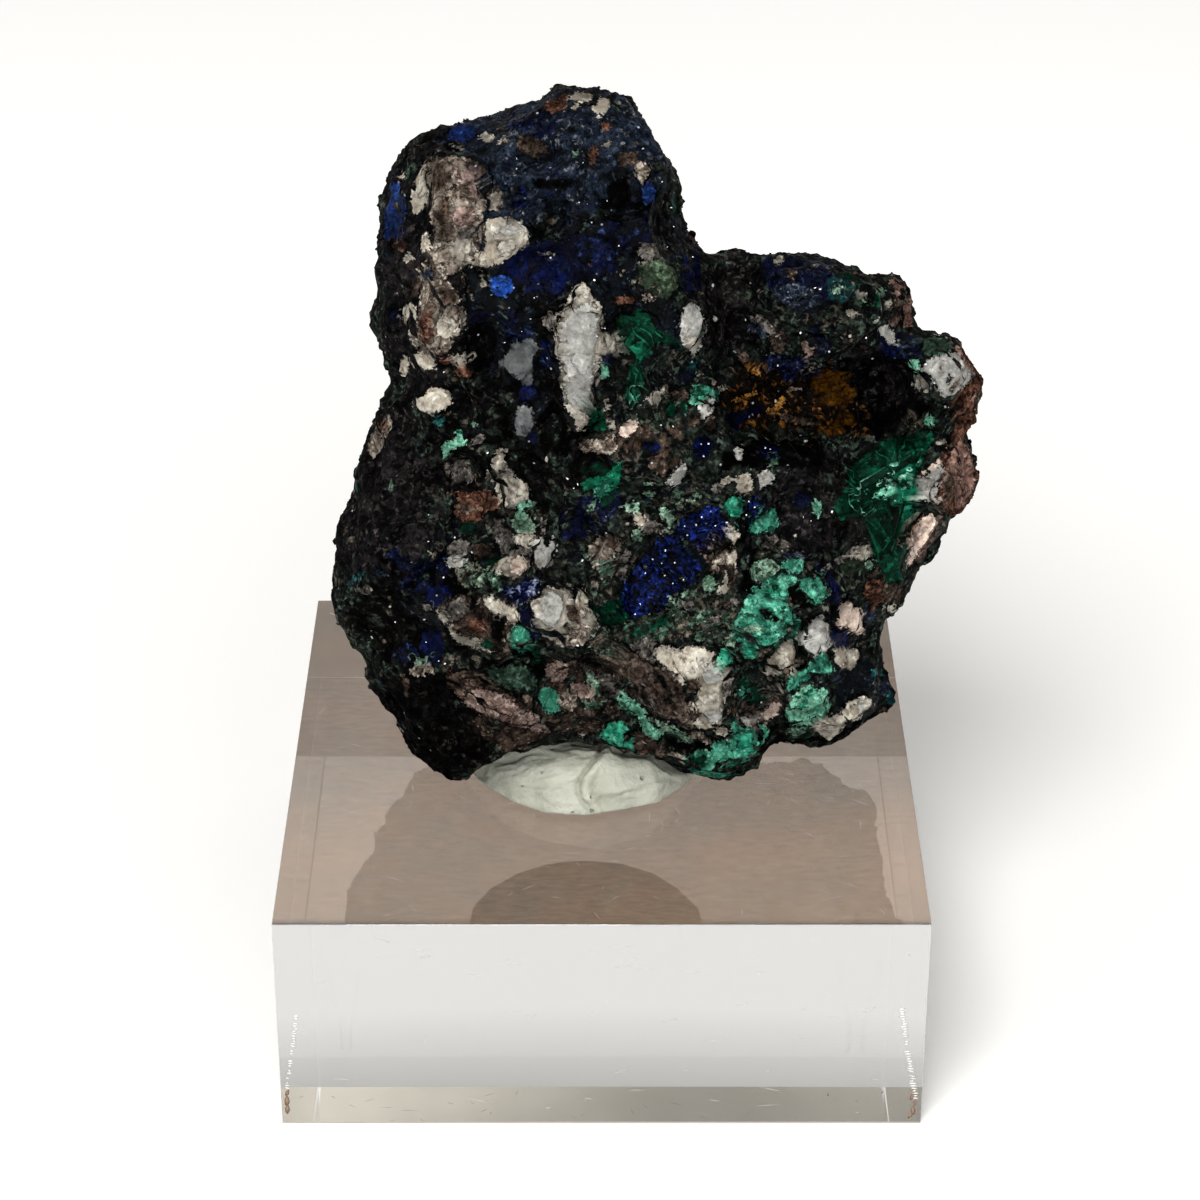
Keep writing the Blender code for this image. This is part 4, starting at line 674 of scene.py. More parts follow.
        -17.4, 15.2, -17.0, 15.6, -17.9, 15.7, -18.7, 15.4, -19.4, 14.6, -20.0, 13.6, -20.1, 12.6, -19.9)),
    ("jade", (14.2, -17.5, 0.3, 0.2)),
    ("jade", (13.5, -18.5, 0.35, 0.25)),
    ("jade", (14.7, -18.8, 0.3, 0.2)),
    ("green", (12.3, -20.1, 13.6, -20.2, 14.4, -20.3, 14.2, -21.0, 12.9, -21.3, 12.2, -20.9)),
    ("sage", (13.1, -20.6, 0.6, 0.4)),
    ("stone", (14.2, -20.1, 15.0, -19.5, 15.8, -19.1, 16.4, -19.0, 17.0, -19.6, 16.8, -20.2, 16.4, -20.8,
        15.7, -21.1, 14.9, -20.8)),
    ("cream", (16.5, -18.9, 17.0, -18.3, 17.8, -17.9, 18.4, -17.8, 19.1, -17.9, 19.2, -18.4, 18.9, -18.8,
        18.4, -19.2, 17.9, -19.6, 17.3, -19.7, 16.8, -19.4)),
    ("white", (18.2, -18.8, 0.3, 0.5)),
    ("dusty", (18.8, -11.4, 0.5, 0.8)),
    ("rust", (18.4, -9.0, 19.0, -8.5, 19.9, -8.7, 19.7, -9.6, 19.9, -10.2, 19.2, -10.9, 18.7, -10.3, 18.3,
        -9.8)),
    ("brown", (20.6, -9.6, 0.9, 0.8)),
    ("stone", (20.4, -10.9, 0.5, 0.3)),
    ("teal", (19.3, -16.0, 0.5, 0.4)),
    ("dusty", (16.2, -16.5, 0.6, 0.35, 20)),
    ("dusty", (19.8, -17.1, 0.7, 0.6)),
    ("teal", (20.5, -17.8, 0.3, 0.6)),
    ("cream", (16.8, -5.6, 17.2, -5.1, 17.8, -4.8, 18.3, -5.0, 18.4, -5.6, 18.8, -6.2, 18.6, -6.9, 18.2,
        -7.1, 17.9, -6.6, 17.9, -6.0, 17.5, -5.7, 17.0, -5.9)),
    ("ash", (16.4, -7.1, 1.3, 0.25, 25)),
    ("sage", (18.8, -7.5, 0.35, 0.4)),
    # The fan and the vein beside it
    ("green", (18.1, 1.3, 19.2, 1.8, 20.0, 2.2, 20.8, 2.7, 21.6, 2.6, 22.5, 2.8, 22.8, 3.3, 23.4, 3.0, 23.8,
        2.9, 23.9, 2.3, 23.3, 1.6, 23.1, 0.9, 22.8, 0.2, 22.7, -0.4, 22.6, -1.0, 22.6, -1.8, 22.7, -2.4,
        22.8, -2.9, 22.3, -3.6, 21.9, -4.4, 21.7, -5.2, 21.8, -6.2, 21.9, -6.8, 21.7, -7.6, 21.6, -8.4,
        21.0, -8.8, 20.2, -8.9, 19.8, -8.3, 19.6, -7.4, 19.2, -6.8, 19.0, -5.8, 19.0, -4.9, 18.8, -4.3,
        18.4, -3.7, 17.6, -3.6, 17.0, -3.8, 16.6, -4.1, 16.2, -3.4, 16.0, -2.8, 16.2, -2.3, 16.8, -1.8,
        17.2, -1.0, 17.0, -0.2, 17.6, 0.5, 18.0, 0.8)),
    # The lighter emerald rows round the fan's middle and the pale silky rows are painted highlights of its
    # sheen
    ("emerald", (20.5, -1.6, 21.8, -1.4, 22.6, -1.3, 22.6, -2.4, 21.6, -2.5, 20.9, -2.5)),
    ("emerald", (19.3, 0.2, 0.6, 0.35)),
    ("emerald", (20.6, -0.4, 21.3, 0.1, 22.1, 0.4, 23.1, 1.2, 22.9, 0.4, 22.0, -0.2, 21.2, -1.0)),
    ("silk_sheen", (19.9, -1.1, 0.95, 0.16, 62)),
    ("silk_sheen", (19.45, -1.45, 0.75, 0.14, 104)),
    ("silk_sheen", (20.35, -1.6, 0.8, 0.17, 22)),
    ("silk_sheen", (19.25, -2.15, 0.6, 0.15, -32)),
    ("silk_sheen", (20.0, -2.05, 0.8, 0.13, -6)),
    ("silk_sheen", (18.3, -3.05, 0.5, 0.12, -60)),
    ("silk_sheen", (21.6, -0.3, 0.7, 0.1, 38)),
    ("hollow", (20.3, -0.6, 20.9, -0.8, 21.4, -1.3, 20.7, -1.4, 20.2, -1.1)),
    ("hollow", (20.2, -2.9, 22.7, -2.6, 22.8, -3.4, 21.6, -3.1)),
    ("hollow", (19.8, -3.7, 0.3, 0.25)),
    ("pinkish", (22.8, -0.4, 23.4, 0.2, 24.2, 0.9, 24.5, 0.6, 23.9, 0.1, 23.2, -0.4)),
    ("white", (22.7, -0.9, 23.2, -0.5, 23.9, 0.0, 24.5, 0.4, 24.6, 0.0, 24.3, -0.6, 24.1, -1.4, 23.9, -2.2,
        23.4, -2.5, 22.9, -2.2, 22.7, -1.5)),
    ("stone", (23.9, 2.1, 24.6, 2.5, 25.1, 2.6, 24.8, 2.2, 24.2, 1.9)),
    ("stone", (24.1, -2.4, 0.45, 0.25, 20)),
    ("pinkish", (22.8, -3.8, 23.6, -3.4, 24.0, -4.0, 23.9, -4.9, 23.2, -5.8, 22.6, -6.5, 22.2, -7.2, 21.8,
        -7.7, 21.8, -7.2, 22.0, -6.4, 21.9, -5.9, 21.6, -5.5, 21.8, -5.1, 22.5, -5.0, 22.7, -4.4)),
    ("rust", (22.3, -4.5, 0.3, 0.5)),
    ("pale_mint", (23.5, 3.9, 0.4, 0.45)),
    ("rose", (24.7, 0.4, 25.2, 1.3, 25.9, 2.4, 26.5, 1.9, 26.9, 0.6, 27.3, -0.4, 27.1, -1.9, 26.4, -2.8,
        25.6, -3.3, 24.8, -3.5, 24.5, -2.8, 24.5, -1.4, 24.5, -0.5)),
    ("brown", (25.0, -1.4, 0.5, 1.3)),
    # The right lobe and its crest
    ("rose", (20.5, 15.3, 21.1, 15.0, 21.6, 14.3, 21.8, 13.5, 22.3, 13.0, 22.3, 12.1, 22.0, 10.9, 21.5,
        11.4, 21.5, 12.4, 21.2, 13.2, 20.9, 13.7, 20.7, 14.4, 20.4, 14.9)),
    ("brown", (20.7, 12.4, 0.6, 1.2)),
    ("sage", (19.7, 14.0, 0.35, 0.4)),
    ("green", (19.5, 13.3, 0.4, 0.5)),
    ("stone", (19.5, 12.7, 20.1, 13.1, 20.6, 13.4, 20.4, 12.8, 19.8, 12.5)),
    ("stone", (18.2, 13.7, 0.4, 0.35)),
    ("stone", (17.4, 12.3, 0.6, 0.3)),
    ("white", (19.2, 11.7, 19.6, 11.9, 20.1, 11.9, 20.3, 11.4, 20.6, 10.9, 21.0, 9.7, 20.6, 9.8, 20.1, 10.2,
        19.6, 10.8, 19.2, 11.3)),
    ("vivid", (20.2, 9.2, 0.9, 0.5, 20)),
    ("dusty", (21.9, 10.1, 0.9, 0.6)),
    ("moss", (22.3, 10.7, 23.5, 10.4, 24.9, 10.4, 25.6, 10.0, 25.2, 9.4, 24.4, 9.1, 23.2, 9.0, 22.9, 9.4,
        23.0, 10.0)),
    ("pale_mint", (21.7, 8.4, 22.0, 8.7, 22.8, 8.7, 22.7, 8.1, 22.4, 7.6, 22.0, 7.8)),
    ("white", (22.2, 7.0, 22.9, 7.6, 23.0, 8.1, 23.3, 8.6, 23.9, 8.9, 24.6, 9.0, 25.1, 9.3, 25.6, 9.2, 26.1,
        8.7, 26.4, 8.2, 26.9, 7.7, 26.7, 7.2, 26.4, 6.7, 25.9, 6.1, 25.4, 5.8, 24.7, 5.6, 24.4, 5.7, 24.3,
        6.2, 23.9, 6.5, 23.3, 6.2, 22.7, 6.3, 22.3, 6.6)),
    ("brown", (24.9, 6.2, 25.4, 6.8, 26.0, 7.2, 25.7, 6.6, 25.3, 6.0)),
    ("stone", (23.0, 7.1, 0.6, 0.5)),
    ("soot_and_shade", (25.1, 7.3, 0.15, 0.2)),
    ("soot_and_shade", (25.0, 6.8, 0.12, 0.12)),
    ("soot_and_shade", (23.9, 6.5, 0.3, 0.2)),
    ("brown", (24.4, 7.9, 0.1, 0.18)),
    ("rose", (25.6, 10.0, 26.4, 9.7, 26.9, 9.0, 27.1, 8.4, 27.8, 7.6, 27.2, 7.5, 26.8, 7.7, 26.4, 8.2, 26.1,
        8.9, 25.6, 9.3, 25.4, 9.6)),
    ("rust", (27.3, 6.9, 0.4, 0.8)),
    ("rose", (27.2, 5.4, 0.4, 0.8)),
    ("white", (14.4, 16.0, 14.4, 16.7, 15.2, 16.9, 15.9, 16.5, 16.0, 15.9, 15.4, 15.9, 14.9, 16.1)),
    ("stone", (11.2, 16.4, 11.9, 17.0, 12.2, 16.6, 11.8, 16.2, 11.4, 16.2)),
    ("navy", (10.6, 15.4, 11.3, 16.0, 12.0, 15.9, 12.6, 15.2, 12.2, 14.6, 11.2, 14.4, 10.7, 14.5)),
    ("navy", (13.4, 15.6, 14.4, 15.9, 15.4, 15.8, 15.6, 15.0, 15.2, 14.3, 14.4, 14.3, 13.4, 14.6, 13.1,
        15.0)),
    ("brown", (12.7, 15.4, 0.4, 0.5)),
    ("dusty", (11.0, 14.3, 12.4, 14.6, 13.6, 14.3, 15.0, 14.0, 15.4, 13.2, 14.2, 12.6, 13.2, 12.4, 12.2,
        13.0, 11.4, 13.2)),
    ("teal", (15.4, 15.2, 17.4, 15.0, 18.0, 14.0, 17.0, 13.1, 15.6, 13.4)),
    ("sage", (16.2, 14.2, 0.5, 0.35)),
    ("green", (17.6, 15.0, 1.1, 0.3, -20)),
    ("navy", (13.9, 11.2, 14.8, 11.3, 15.0, 10.6, 15.6, 10.0, 15.8, 9.2, 15.0, 9.0, 14.5, 9.4, 14.4, 10.2)),
    ("dusty", (15.2, 9.6, 0.4, 0.5)),
    ("mauve", (13.3, 10.0, 13.7, 10.3, 14.2, 9.6, 14.5, 9.0, 14.1, 8.8, 13.6, 9.2)),
    ("navy", (10.4, 8.7, 11.2, 9.0, 12.4, 9.0, 13.3, 8.9, 14.2, 8.1, 15.2, 8.4, 15.1, 7.7, 14.2, 7.3, 13.2,
        7.3, 12.4, 6.9, 11.8, 7.4, 11.4, 8.0, 10.8, 8.2)),
    ("ash", (14.2, 8.2, 0.5, 0.3)),
    ("brown", (9.0, 8.7, 0.4, 0.45)),
    ("ochre", (9.0, 8.3, 9.8, 8.4, 10.4, 8.5, 9.9, 8.0, 10.1, 7.3, 9.7, 7.5, 9.3, 7.9)),
    ("brown", (11.6, 10.1, 0.7, 0.9)),
    ("ash", (10.4, 11.5, 1.1, 0.4, -45)),
    ("dusty", (9.9, 11.0, 0.8, 0.4, -40)),
    ("ochre", (9.0, 5.7, 1.0, 0.16, 20)),
    ("ochre", (11.8, 5.3, 0.3, 0.6, -25)),
    ("ochre", (11.2, 4.6, 0.5, 0.3)),
    ("mauve", (12.9, 6.35, 0.75, 0.13)),
    ("brown", (10.8, 7.5, 0.5, 0.3)),
    ("brown", (13.2, 3.9, 1.8, 0.3, -12)),
)

# Small crystals painted near white as painted glints: a, b and radius
SPARKS = (
    (-8.9, 24.4, 0.12), (-8.9, 23.6, 0.12), (-9.8, 10.0, 0.12), (-8.5, 10.9, 0.1), (-7.8, 11.9, 0.1),
    (-7.5, 13.5, 0.1), (-14.6, 7.7, 0.12), (1.0, 25.2, 0.14), (2.5, 22.6, 0.1), (3.2, 20.6, 0.12),
    (3.4, 19.1, 0.1), (-1.8, 21.1, 0.1), (-4.0, 21.0, 0.1), (-0.9, 17.6, 0.12), (2.9, 17.5, 0.1),
    (4.9, 16.7, 0.12), (-3.0, 19.4, 0.1), (-3.7, 24.1, 0.1), (-2.8, 14.9, 0.18), (-2.0, 11.1, 0.12),
    (-2.6, 10.5, 0.12), (-11.15, 1.35, 0.15), (-14.65, -8.45, 0.16), (-13.75, -5.3, 0.14),
    (-12.4, -6.45, 0.14), (-4.9, -0.65, 0.17), (-4.1, -1.1, 0.14), (-4.4, -1.4, 0.1), (-3.75, -7.1, 0.16),
    (-18.4, -11.9, 0.12), (-14.5, -15.2, 0.14), (-15.0, -15.0, 0.12), (-16.0, -13.5, 0.1),
    (-4.1, -13.75, 0.17), (-15.8, -3.5, 0.1), (-15.8, -5.6, 0.12), (10.3, -18.2, 0.14), (6.8, -19.7, 0.15),
    (15.85, -3.25, 0.18), (14.2, -4.0, 0.12), (13.6, -3.7, 0.1), (14.5, 14.3, 0.15), (14.9, 14.2, 0.15),
    (13.4, 10.8, 0.16), (15.6, 9.3, 0.18), (11.6, 8.2, 0.14), (9.1, 11.8, 0.14), (18.5, 10.4, 0.13),
    (5.6, 2.0, 0.12), (6.2, 2.05, 0.14), (5.8, 1.05, 0.13), (10.6, 1.7, 0.13), (11.0, 1.6, 0.12),
    (9.3, -2.5, 0.12), (9.8, -2.9, 0.14), (9.1, -3.5, 0.12), (5.65, -3.7, 0.13), (5.75, -4.6, 0.14),
    (4.3, -4.4, 0.13), (6.7, -4.35, 0.12), (7.6, -4.1, 0.14), (7.4, -4.75, 0.12), (4.5, -5.1, 0.12),
    (2.8, -6.3, 0.16), (3.1, -5.9, 0.12), (1.8, -7.0, 0.13), (3.5, -7.25, 0.12), (4.65, -7.35, 0.2),
    (4.85, -6.95, 0.13), (3.9, -7.7, 0.13), (1.2, -8.1, 0.13), (2.7, -8.3, 0.13), (4.2, -8.6, 0.13),
    (3.35, -8.9, 0.14), (0.8, -10.5, 0.17), (0.4, -11.3, 0.13), (2.5, -7.3, 0.1), (0.9, -9.7, 0.1),
    (2.4, 3.5, 0.12), (3.35, 3.4, 0.13), (23.9, 6.85, 0.12), (23.2, 8.3, 0.15), (8.6, -17.25, 0.1),
    (24.9, 12.0, 0.1),
)

# The finish of each kind of growth: voxel, smoothing passes, knob sizes with their heights, and the share of
# its height that it keeps above the skin
FINISHES = {
    "quartz": (0.16, 6, ((1.4, 0.16), (0.6, 0.08)), 0.55),
    "sandstone": (0.18, 7, ((1.7, 0.26), (0.7, 0.14)), 0.45),
    "botryoid": (0.15, 5, ((1.3, 0.26), (0.6, 0.16)), 0.6),
    "druse": (0.15, 6, ((1.6, 0.14), (0.42, 0.09)), 0.5),
    "fibrous": (0.15, 12, ((0.9, 0.08), (0.4, 0.04)), 0.3),
}

# What each growth is: its finish and its mineral.
GROWTHS = {
    "quartz_blade": ("quartz", "white"),
    "quartz_cap": ("quartz", "cream"),
    "quartz_knob_neck": ("quartz", "white"),
    "quartz_knob_shoulder": ("quartz", "white"),
    "quartz_knob_left": ("quartz", "cream"),
    "quartz_tooth": ("quartz", "white"),
    "quartz_pebble": ("quartz", "cream"),
    "quartz_spur": ("quartz", "stone"),
    "quartz_lump": ("quartz", "stone"),
    "quartz_bar_lower": ("quartz", "white"),
    "smoky_quartz_upper": ("quartz", "smoky"),
    "smoky_quartz_lower": ("quartz", "smoky"),
    "calcite_chip_right": ("quartz", "white"),
    "calcite_chip_left": ("quartz", "cream"),
    "calcite_chip_pink": ("quartz", "cream"),
    "calcite_vein_right": ("quartz", "white"),
    "slab_quartz_rim": ("quartz", "white"),
    "sandstone_slab": ("sandstone", "sandstone"),
    "sandstone_flake": ("sandstone", "mauve"),
    "sandstone_clast": ("sandstone", "sandstone"),
    "azurite_druse": ("druse", "druse"),
    "azurite_druse_tail": ("druse", "druse"),
    "azurite_pod": ("druse", "druse"),
    "azurite_crest": ("druse", "navy"),
    "azurite_cave_rim": ("druse", "navy"),
    "azurite_rim_right": ("druse", "vivid"),
    "malachite_bead": ("botryoid", "mint"),
    "malachite_bead_low": ("botryoid", "mint"),
    "malachite_bead_ledge": ("botryoid", "mint"),
    "malachite_ball": ("botryoid", "mint"),
    "malachite_tuft": ("botryoid", "mint"),
    "malachite_mass": ("botryoid", "mint"),
    "malachite_knob_lower": ("botryoid", "mint"),
    "malachite_foot": ("botryoid", "mint"),
    "malachite_fan": ("fibrous", "green"),
    "malachite_spray": ("fibrous", "green"),
}
SLOT_OF_FINISH = {"quartz": "quartz", "sandstone": "sandstone", "botryoid": "malachite", "druse": "azurite",
                  "fibrous": "malachite"}
FAN_CENTRES = {"malachite_fan": (20.4, -1.6), "malachite_spray": (-0.4, 12.4)}

# The rock's own skin, and how its minerals fall in grains: the grains' size, how far and how coarsely their
# borders wander, how far and how coarsely the borders of the rows in GROUND wander, and the step that gives
# each row its own choice of grains
ROCK_VOXEL = 0.36
ROCK_SMOOTHING = 7
ROCK_KNOBS = ((2.6, 0.42), (1.2, 0.3))
ROCK_INSET = 0.5
ROCK_ROUGHNESS = 0.1
ROCK_ROUGHNESS_SIZE = 0.9
GRAIN_RISE = 0.3
GRAIN_RIM = 0.55
CELL_SIZE = 0.85
CELL_WARP = 0.3
CELL_WARP_SIZE = 0.6
ROW_WOBBLE = 0.28
ROW_WOBBLE_SIZE = 1.6
ROW_STEP = 0.618
UNDERSIDE_LEAST = 19.3

# How a growth is drawn into the rock: how near, how deep, how far round its side, and how fast at each
SINK_REACH = 1.3
SINK_DEPTH = 0.28
SINK_FACING = 0.15
SINK_FACING_EASE = 0.5
SINK_REACH_EASE = 0.25

# A knob's mean height, how round it is, and the least and the further part of its own share
KNOB_MEAN = 0.62
KNOB_ROUND = 1.5
KNOB_LEAST = 0.45
KNOB_MORE = 1.1

# How light a skin is, as painted shade: the mean, how much lighter high places are painted, and the clouds'
# strength and size
ROCK_SHADE = (0.55, 1.1, 0.3, 2.6)
GROWTH_SHADE = (0.7, 1.3, 0.12, 2.2)
GRAIN_SHADE = (0.75, 0.3)

# The fibres of the sandstone, and the ridges along a fan's rays: how close, how drawn out, and the fineness
# and height of each layer
FIBRE_DRAW = np.array([1.0, 1.0, 0.22])
FIBRE_RISE = 0.14
FIBRE_SIZE = 0.5
RAY_CLOSE = 9.0
RAY_DRAW = 0.35
RAY_RIDGES = ((1.0, 0.07), (2.3, 0.05))

# How far behind the middle the front's patches reach, how far and how coarsely that edge wanders, and where
# the hidden sides' grains and patches start. How squarely a surface faces the eye to take the front's patches
# and how fast they end there. How far out of a patch its edge is drawn, how much a patch of hard mineral
# stands up, how soon, how far a patch of painted hollow shade or of soot goes in, and how dark the painted
# shade of the crevice at its rim is.
FRONT_REACH = 3.5
FRONT_WANDER = 1.4
FRONT_WANDER_SIZE = 2.6
HIDDEN_GRAINS_START = 1.0
HIDDEN_START = 2.0
FACING_LEAST = 0.25
FACING_FALL = 4.0
PATCH_REACH = 0.6
PATCH_RISE = 0.12
PATCH_RISE_OVER = 0.25
HOLLOW_FALL = 0.16
EDGE_SHADE = 0.45

# Noise that clothes the hidden sides, by size and seed, and what it lays: the field, its sign, the level
# above which it counts, the mineral and the share of grains
HIDDEN_FIELDS = {"broad": (9.0, 301), "blue": (7.0, 311), "green": (6.0, 321), "earth": (8.0, 341)}
HIDDEN_GROUND = (
    ("broad", 1, 0.1, "charcoal", 0.8), ("broad", -1, 0.22, "soot_and_shade", 0.8), ("earth", 1, 0.24, "brown", 0.7),
    ("earth", 1, 0.42, "rust", 0.6), ("blue", 1, 0.2, "navy", 0.5), ("blue", 1, 0.34, "vivid", 0.8),
    ("blue", -1, 0.36, "dusty", 0.7), ("green", 1, 0.3, "lichen", 0.7), ("green", -1, 0.4, "olive", 0.6),
)

# Patches of the hidden sides: noise size, seed, level and mineral, and how fast a patch deepens from its edge
HIDDEN_PATCHES = (
    (6.0, 321, 0.42, "sage"), (6.0, 321, 0.54, "mint"), (4.5, 331, 0.42, "sandstone"),
    (4.5, 331, 0.56, "stone"), (3.6, 351, 0.5, "white"), (3.4, 361, 0.5, "vivid"), (2.8, 371, 0.55, "ash"),
)
HIDDEN_DEEPENING = 0.4

# Grains strewn over the rock: minerals, form, how many, size range, slot
GRAINS = (
    ("matrix_grains", ("matrix", "charcoal", "soot_and_shade", "hollow"), "chip", 3000, (0.3, 0.7), "rock"),
    ("brown_grains", ("brown", "sandstone", "mauve", "rust", "limonite", "strands", "ash", "slab",
                      "rose", "ochre"), "chip", 1200, (0.25, 0.6), "sandstone"),
    ("azurite_grains", ("navy", "night", "dusty", "vivid", "bright", "druse"), "crystal", 6000, (0.12, 0.34),
     "azurite"),
    ("malachite_grains", ("mint", "green", "olive", "lichen", "teal", "sage", "moss", "jade",
                          "pale_mint"), "ball", 700, (0.25, 0.6), "malachite"),
    ("quartz_grains", ("cream", "white", "stone", "pinkish", "smoky"), "chip", 700, (0.25, 0.6), "quartz"),
)
STRAYS = (("white", 25), ("stone", 80), ("cream", 20), ("vivid", 60), ("sage", 40), ("rust", 40),
          ("brown", 120))
STRAY_SIZES = (0.2, 0.5)

# How grains are shaped and seated: the share of small ones, how far corners and proportions scatter, how deep
# they sit, and how far they keep from the putty at its sides, over it and over the block
SIZE_SKEW = 2.5
CORNER_SCATTER = {"ball": 0.1, "chip": 0.2, "crystal": 0.2}
CORNER_MOST = 1.2
PROPORTION_SCATTER = 0.35
SEAT_DEPTH = (-0.42, -0.08)
PUTTY_CLEAR = 0.5
PUTTY_CLEAR_OVER = 0.1
BLOCK_CLEAR = 0.4

# The sparks: how far round its place each looks for the skin, its size, form, stand-out and shade
SPARK_REACH = 0.25
SPARK_SIZE = 1.3
SPARK_FORM = np.array([1.0, 0.7, 0.45])
SPARK_PROUD = 0.04
SPARK_SHADE = 0.8

# Seeds of the random draws and of each noise
RANDOM_SEED = 2291
SEEDS = {"ground": 5, "rock_knobs": 41, "rock_roughness": 61, "rock_shade": 71, "growth_knobs": 83,
         "fibres": 97, "growth_shade": 99, "front_edge": 381, "rays": 401, "putty_swell": 501,
         "putty_pinch": 511}

# The skin of the minerals. First the sizes of its bend, fine grain, cracks, unevenness, broad clouds, lace,
# small crystals and glinting faces, then how far it is bent, how high its relief is and how deep light sinks.
BEND_SIZE = 0.8
FINE_SIZE = 0.24
CRACK_SIZE = 1.0
UNEVEN_SIZE = 0.5
BROAD_SIZE = 2.4
LACE_SIZE = 0.7
CRYSTAL_SIZE = 0.2
STAR_SIZE = 0.34
BEND = 0.7
RELIEF = 0.14
SINK_OF_LIGHT = 0.4

# How far the mottling and the fine grain jag a patch's edge, half the width of that edge, how far the painted
# shade of the crevice outside it reaches, and its step in the relief
JAG = 0.9
FINE_JAG = 0.5
EDGE_HALF = 0.02
CREVICE_SHADE_REACH = 0.3
EDGE_STEP = (-0.08, 0.08, -0.25, 0.0)

# Where the odd tone sets in and how its share moves that, how strongly the brightness scatters, and what the
# broad clouds and the painted shade do to it: from and to of each, and the levels that they give
ODD_START = (0.52, 0.62)
ODD_MEAN = 0.3
ODD_PULL = 0.4
SCATTER_PULL = 4.0
BROAD_LEVEL = (0.35, 0.65, 0.7, 1.25)
SHADE_LEVEL = (0.15, 0.8, 0.12, 1.12)
CRACK_HALF = 0.05
CRACK_HALF_RELIEF = 0.06
CRACK_FALL = 0.25
LACE_HALF = 0.07
GLOSS_SCATTER = 0.6
GLOSS_LEAST = 0.2

# Silky fibres, their sheen painted as lighter streaks: how fine they are round a fan and along it, their
# green, and where it and their painted sheen set in
SILK_ROUND = 15.0
SILK_ALONG = 0.5
SILK_TONE = (28, 108, 80)
SILK_COLOUR = (0.56, 0.74, 0.0, 0.85)
SILK_LEVEL = (0.3, 0.66, 0.3, 1.15)

# Painted glints, pale spots painted into the colour: the share of them for a glint of 1, how far each
# reaches, and their linear colour
STAR_SHARE = 0.022
STAR_REACH = (0.12, 0.34)
STAR_COLOUR = (0.4, 0.42, 0.47, 1.0)

# The putty's skin: voxel, smoothing, how its folds run over a, b and the depth, and how they swell and pinch
PUTTY_VOXEL = 0.18
PUTTY_SMOOTHING = 5
FOLD_ACROSS = (0.35, 0.5)
FOLD_UP = (-0.3, 1.4)
FOLD_BACK = 0.5
PUTTY_SWELL = 0.26
SWELL_SIZE = 1.8
PUTTY_PINCH = 0.26
PINCH_SIZE = 2.0
PINCH_NARROW = 3.0
PINCH_ROUND = 1.5

# The crease near its middle, which winds as it runs up, and the lip beside it
CREASE_A = -3.2
CREASE_B = -23.2
CREASE_WIND = 0.9
CREASE_WIND_RATE = 0.9
CREASE_DEPTH = 0.5
CREASE_WIDTH = 0.2
LIP_RISE = 0.3
LIP_WIDTH = 0.45
LIP_BESIDE = 0.7

# How light the painted shade makes a fold by its height, over which height above the block the folds set in,
# how far the putty stays off the block, and the putty's smears, pits, skin and tones
FOLD_SHADE = (0.75, 0.9)
FOLD_LEVEL = (0.0, 1.0, 0.55, 1.06)
PUTTY_HEM = (0.4, 0.9)
PUTTY_CLEARANCE = 0.06
SMEAR_SIZE = 2.2
PIT_SIZE = 0.8
PIT_SHARE = 0.16
PIT_REACH = (0.1, 0.25)
PIT_DARK = 0.45
SKIN_SIZE = 0.5
SKIN_RISE = 0.8
PUTTY_RELIEF = 0.24
PUTTY_TONES = ((172, 174, 158), (194, 196, 182))
PUTTY_PIT_TONE = (120, 120, 104)

# The clear block: how far its polished sides are set in, its arris, and how far its marks stand out
BLOCK_INSET = 0.05
EDGE_ARRIS = 0.07
MARK_PROUD = 0.02

# Saw marks up the front corners: the side, their top and bottom, how far they lean in, the share left out and
# how long they are. Then their spacing, place and scatter, half lengths and half width.
SAW_ROWS = ((1, 11.2, 2.4, 1.5, 0.12, 1.0), (-1, 10.6, 3.4, 1.1, 0.12 + 0.25, 0.7))
SAW_STEP = 0.24
SAW_FROM_SIDE = 0.55
SAW_SCATTER = 0.04
SAW_TURN = 0.15
SAW_HALF_LENGTHS = (0.16, 0.4)
SAW_HALF_WIDTH = 0.075

# Brown chips low on the front corners: x, z and half length
EDGE_CHIPS = ((24.6, 2.6, 0.5), (24.7, 1.2, 0.5), (24.5, 0.7, 0.4), (24.8, 1.9, 0.3), (-24.9, 1.3, 0.5),
              (-24.9, 2.1, 0.55), (-24.85, 2.9, 0.4), (22.2, 3.0, 0.16), (17.9, 2.8, 0.22))
CHIP_SLIM = 0.4
CHIP_TURNS = (1.2, 1.9)

# Scratches of the front and of the top: how many, how far out, half lengths and half widths
FRONT_SCRATCHES = 46
FRONT_SCRATCH_X = 24
FRONT_SCRATCH_Z = (0.8, 18.2)
FRONT_SCRATCH_LENGTHS = (0.15, 1.1)
FRONT_SCRATCH_WIDTHS = (0.012, 0.03)
FRONT_SCRATCH_TURN = 0.25
TOP_SCRATCHES = 150
TOP_SCRATCH_REACH = 24.2
TOP_SCRATCH_LENGTHS = (0.05, 0.9)
TOP_SCRATCH_WIDTHS = (0.01, 0.025)

# The marks' tones and roughness, and the lozenge that each is: along, across and out
MARK_LOOKS = {"saw": ("saw_mark_white", (236, 234, 230), 0.7), "chip": ("chip_brown", (142, 116, 98), 0.8),
              "scratch": ("scratch_grey", (196, 192, 186), 0.6)}
MARK_MOTTLE = 0.12
MARK_MOTTLE_SIZE = 0.6
LOZENGE = ((1, 0, 0), (0.3, 1, 0), (-0.6, 0.8, 0), (-1, 0, 0), (-0.2, -1, 0), (0.7, -0.7, 0), (0, 0, 1),
           (0, 0, -1))
LOZENGE_RIM = 6

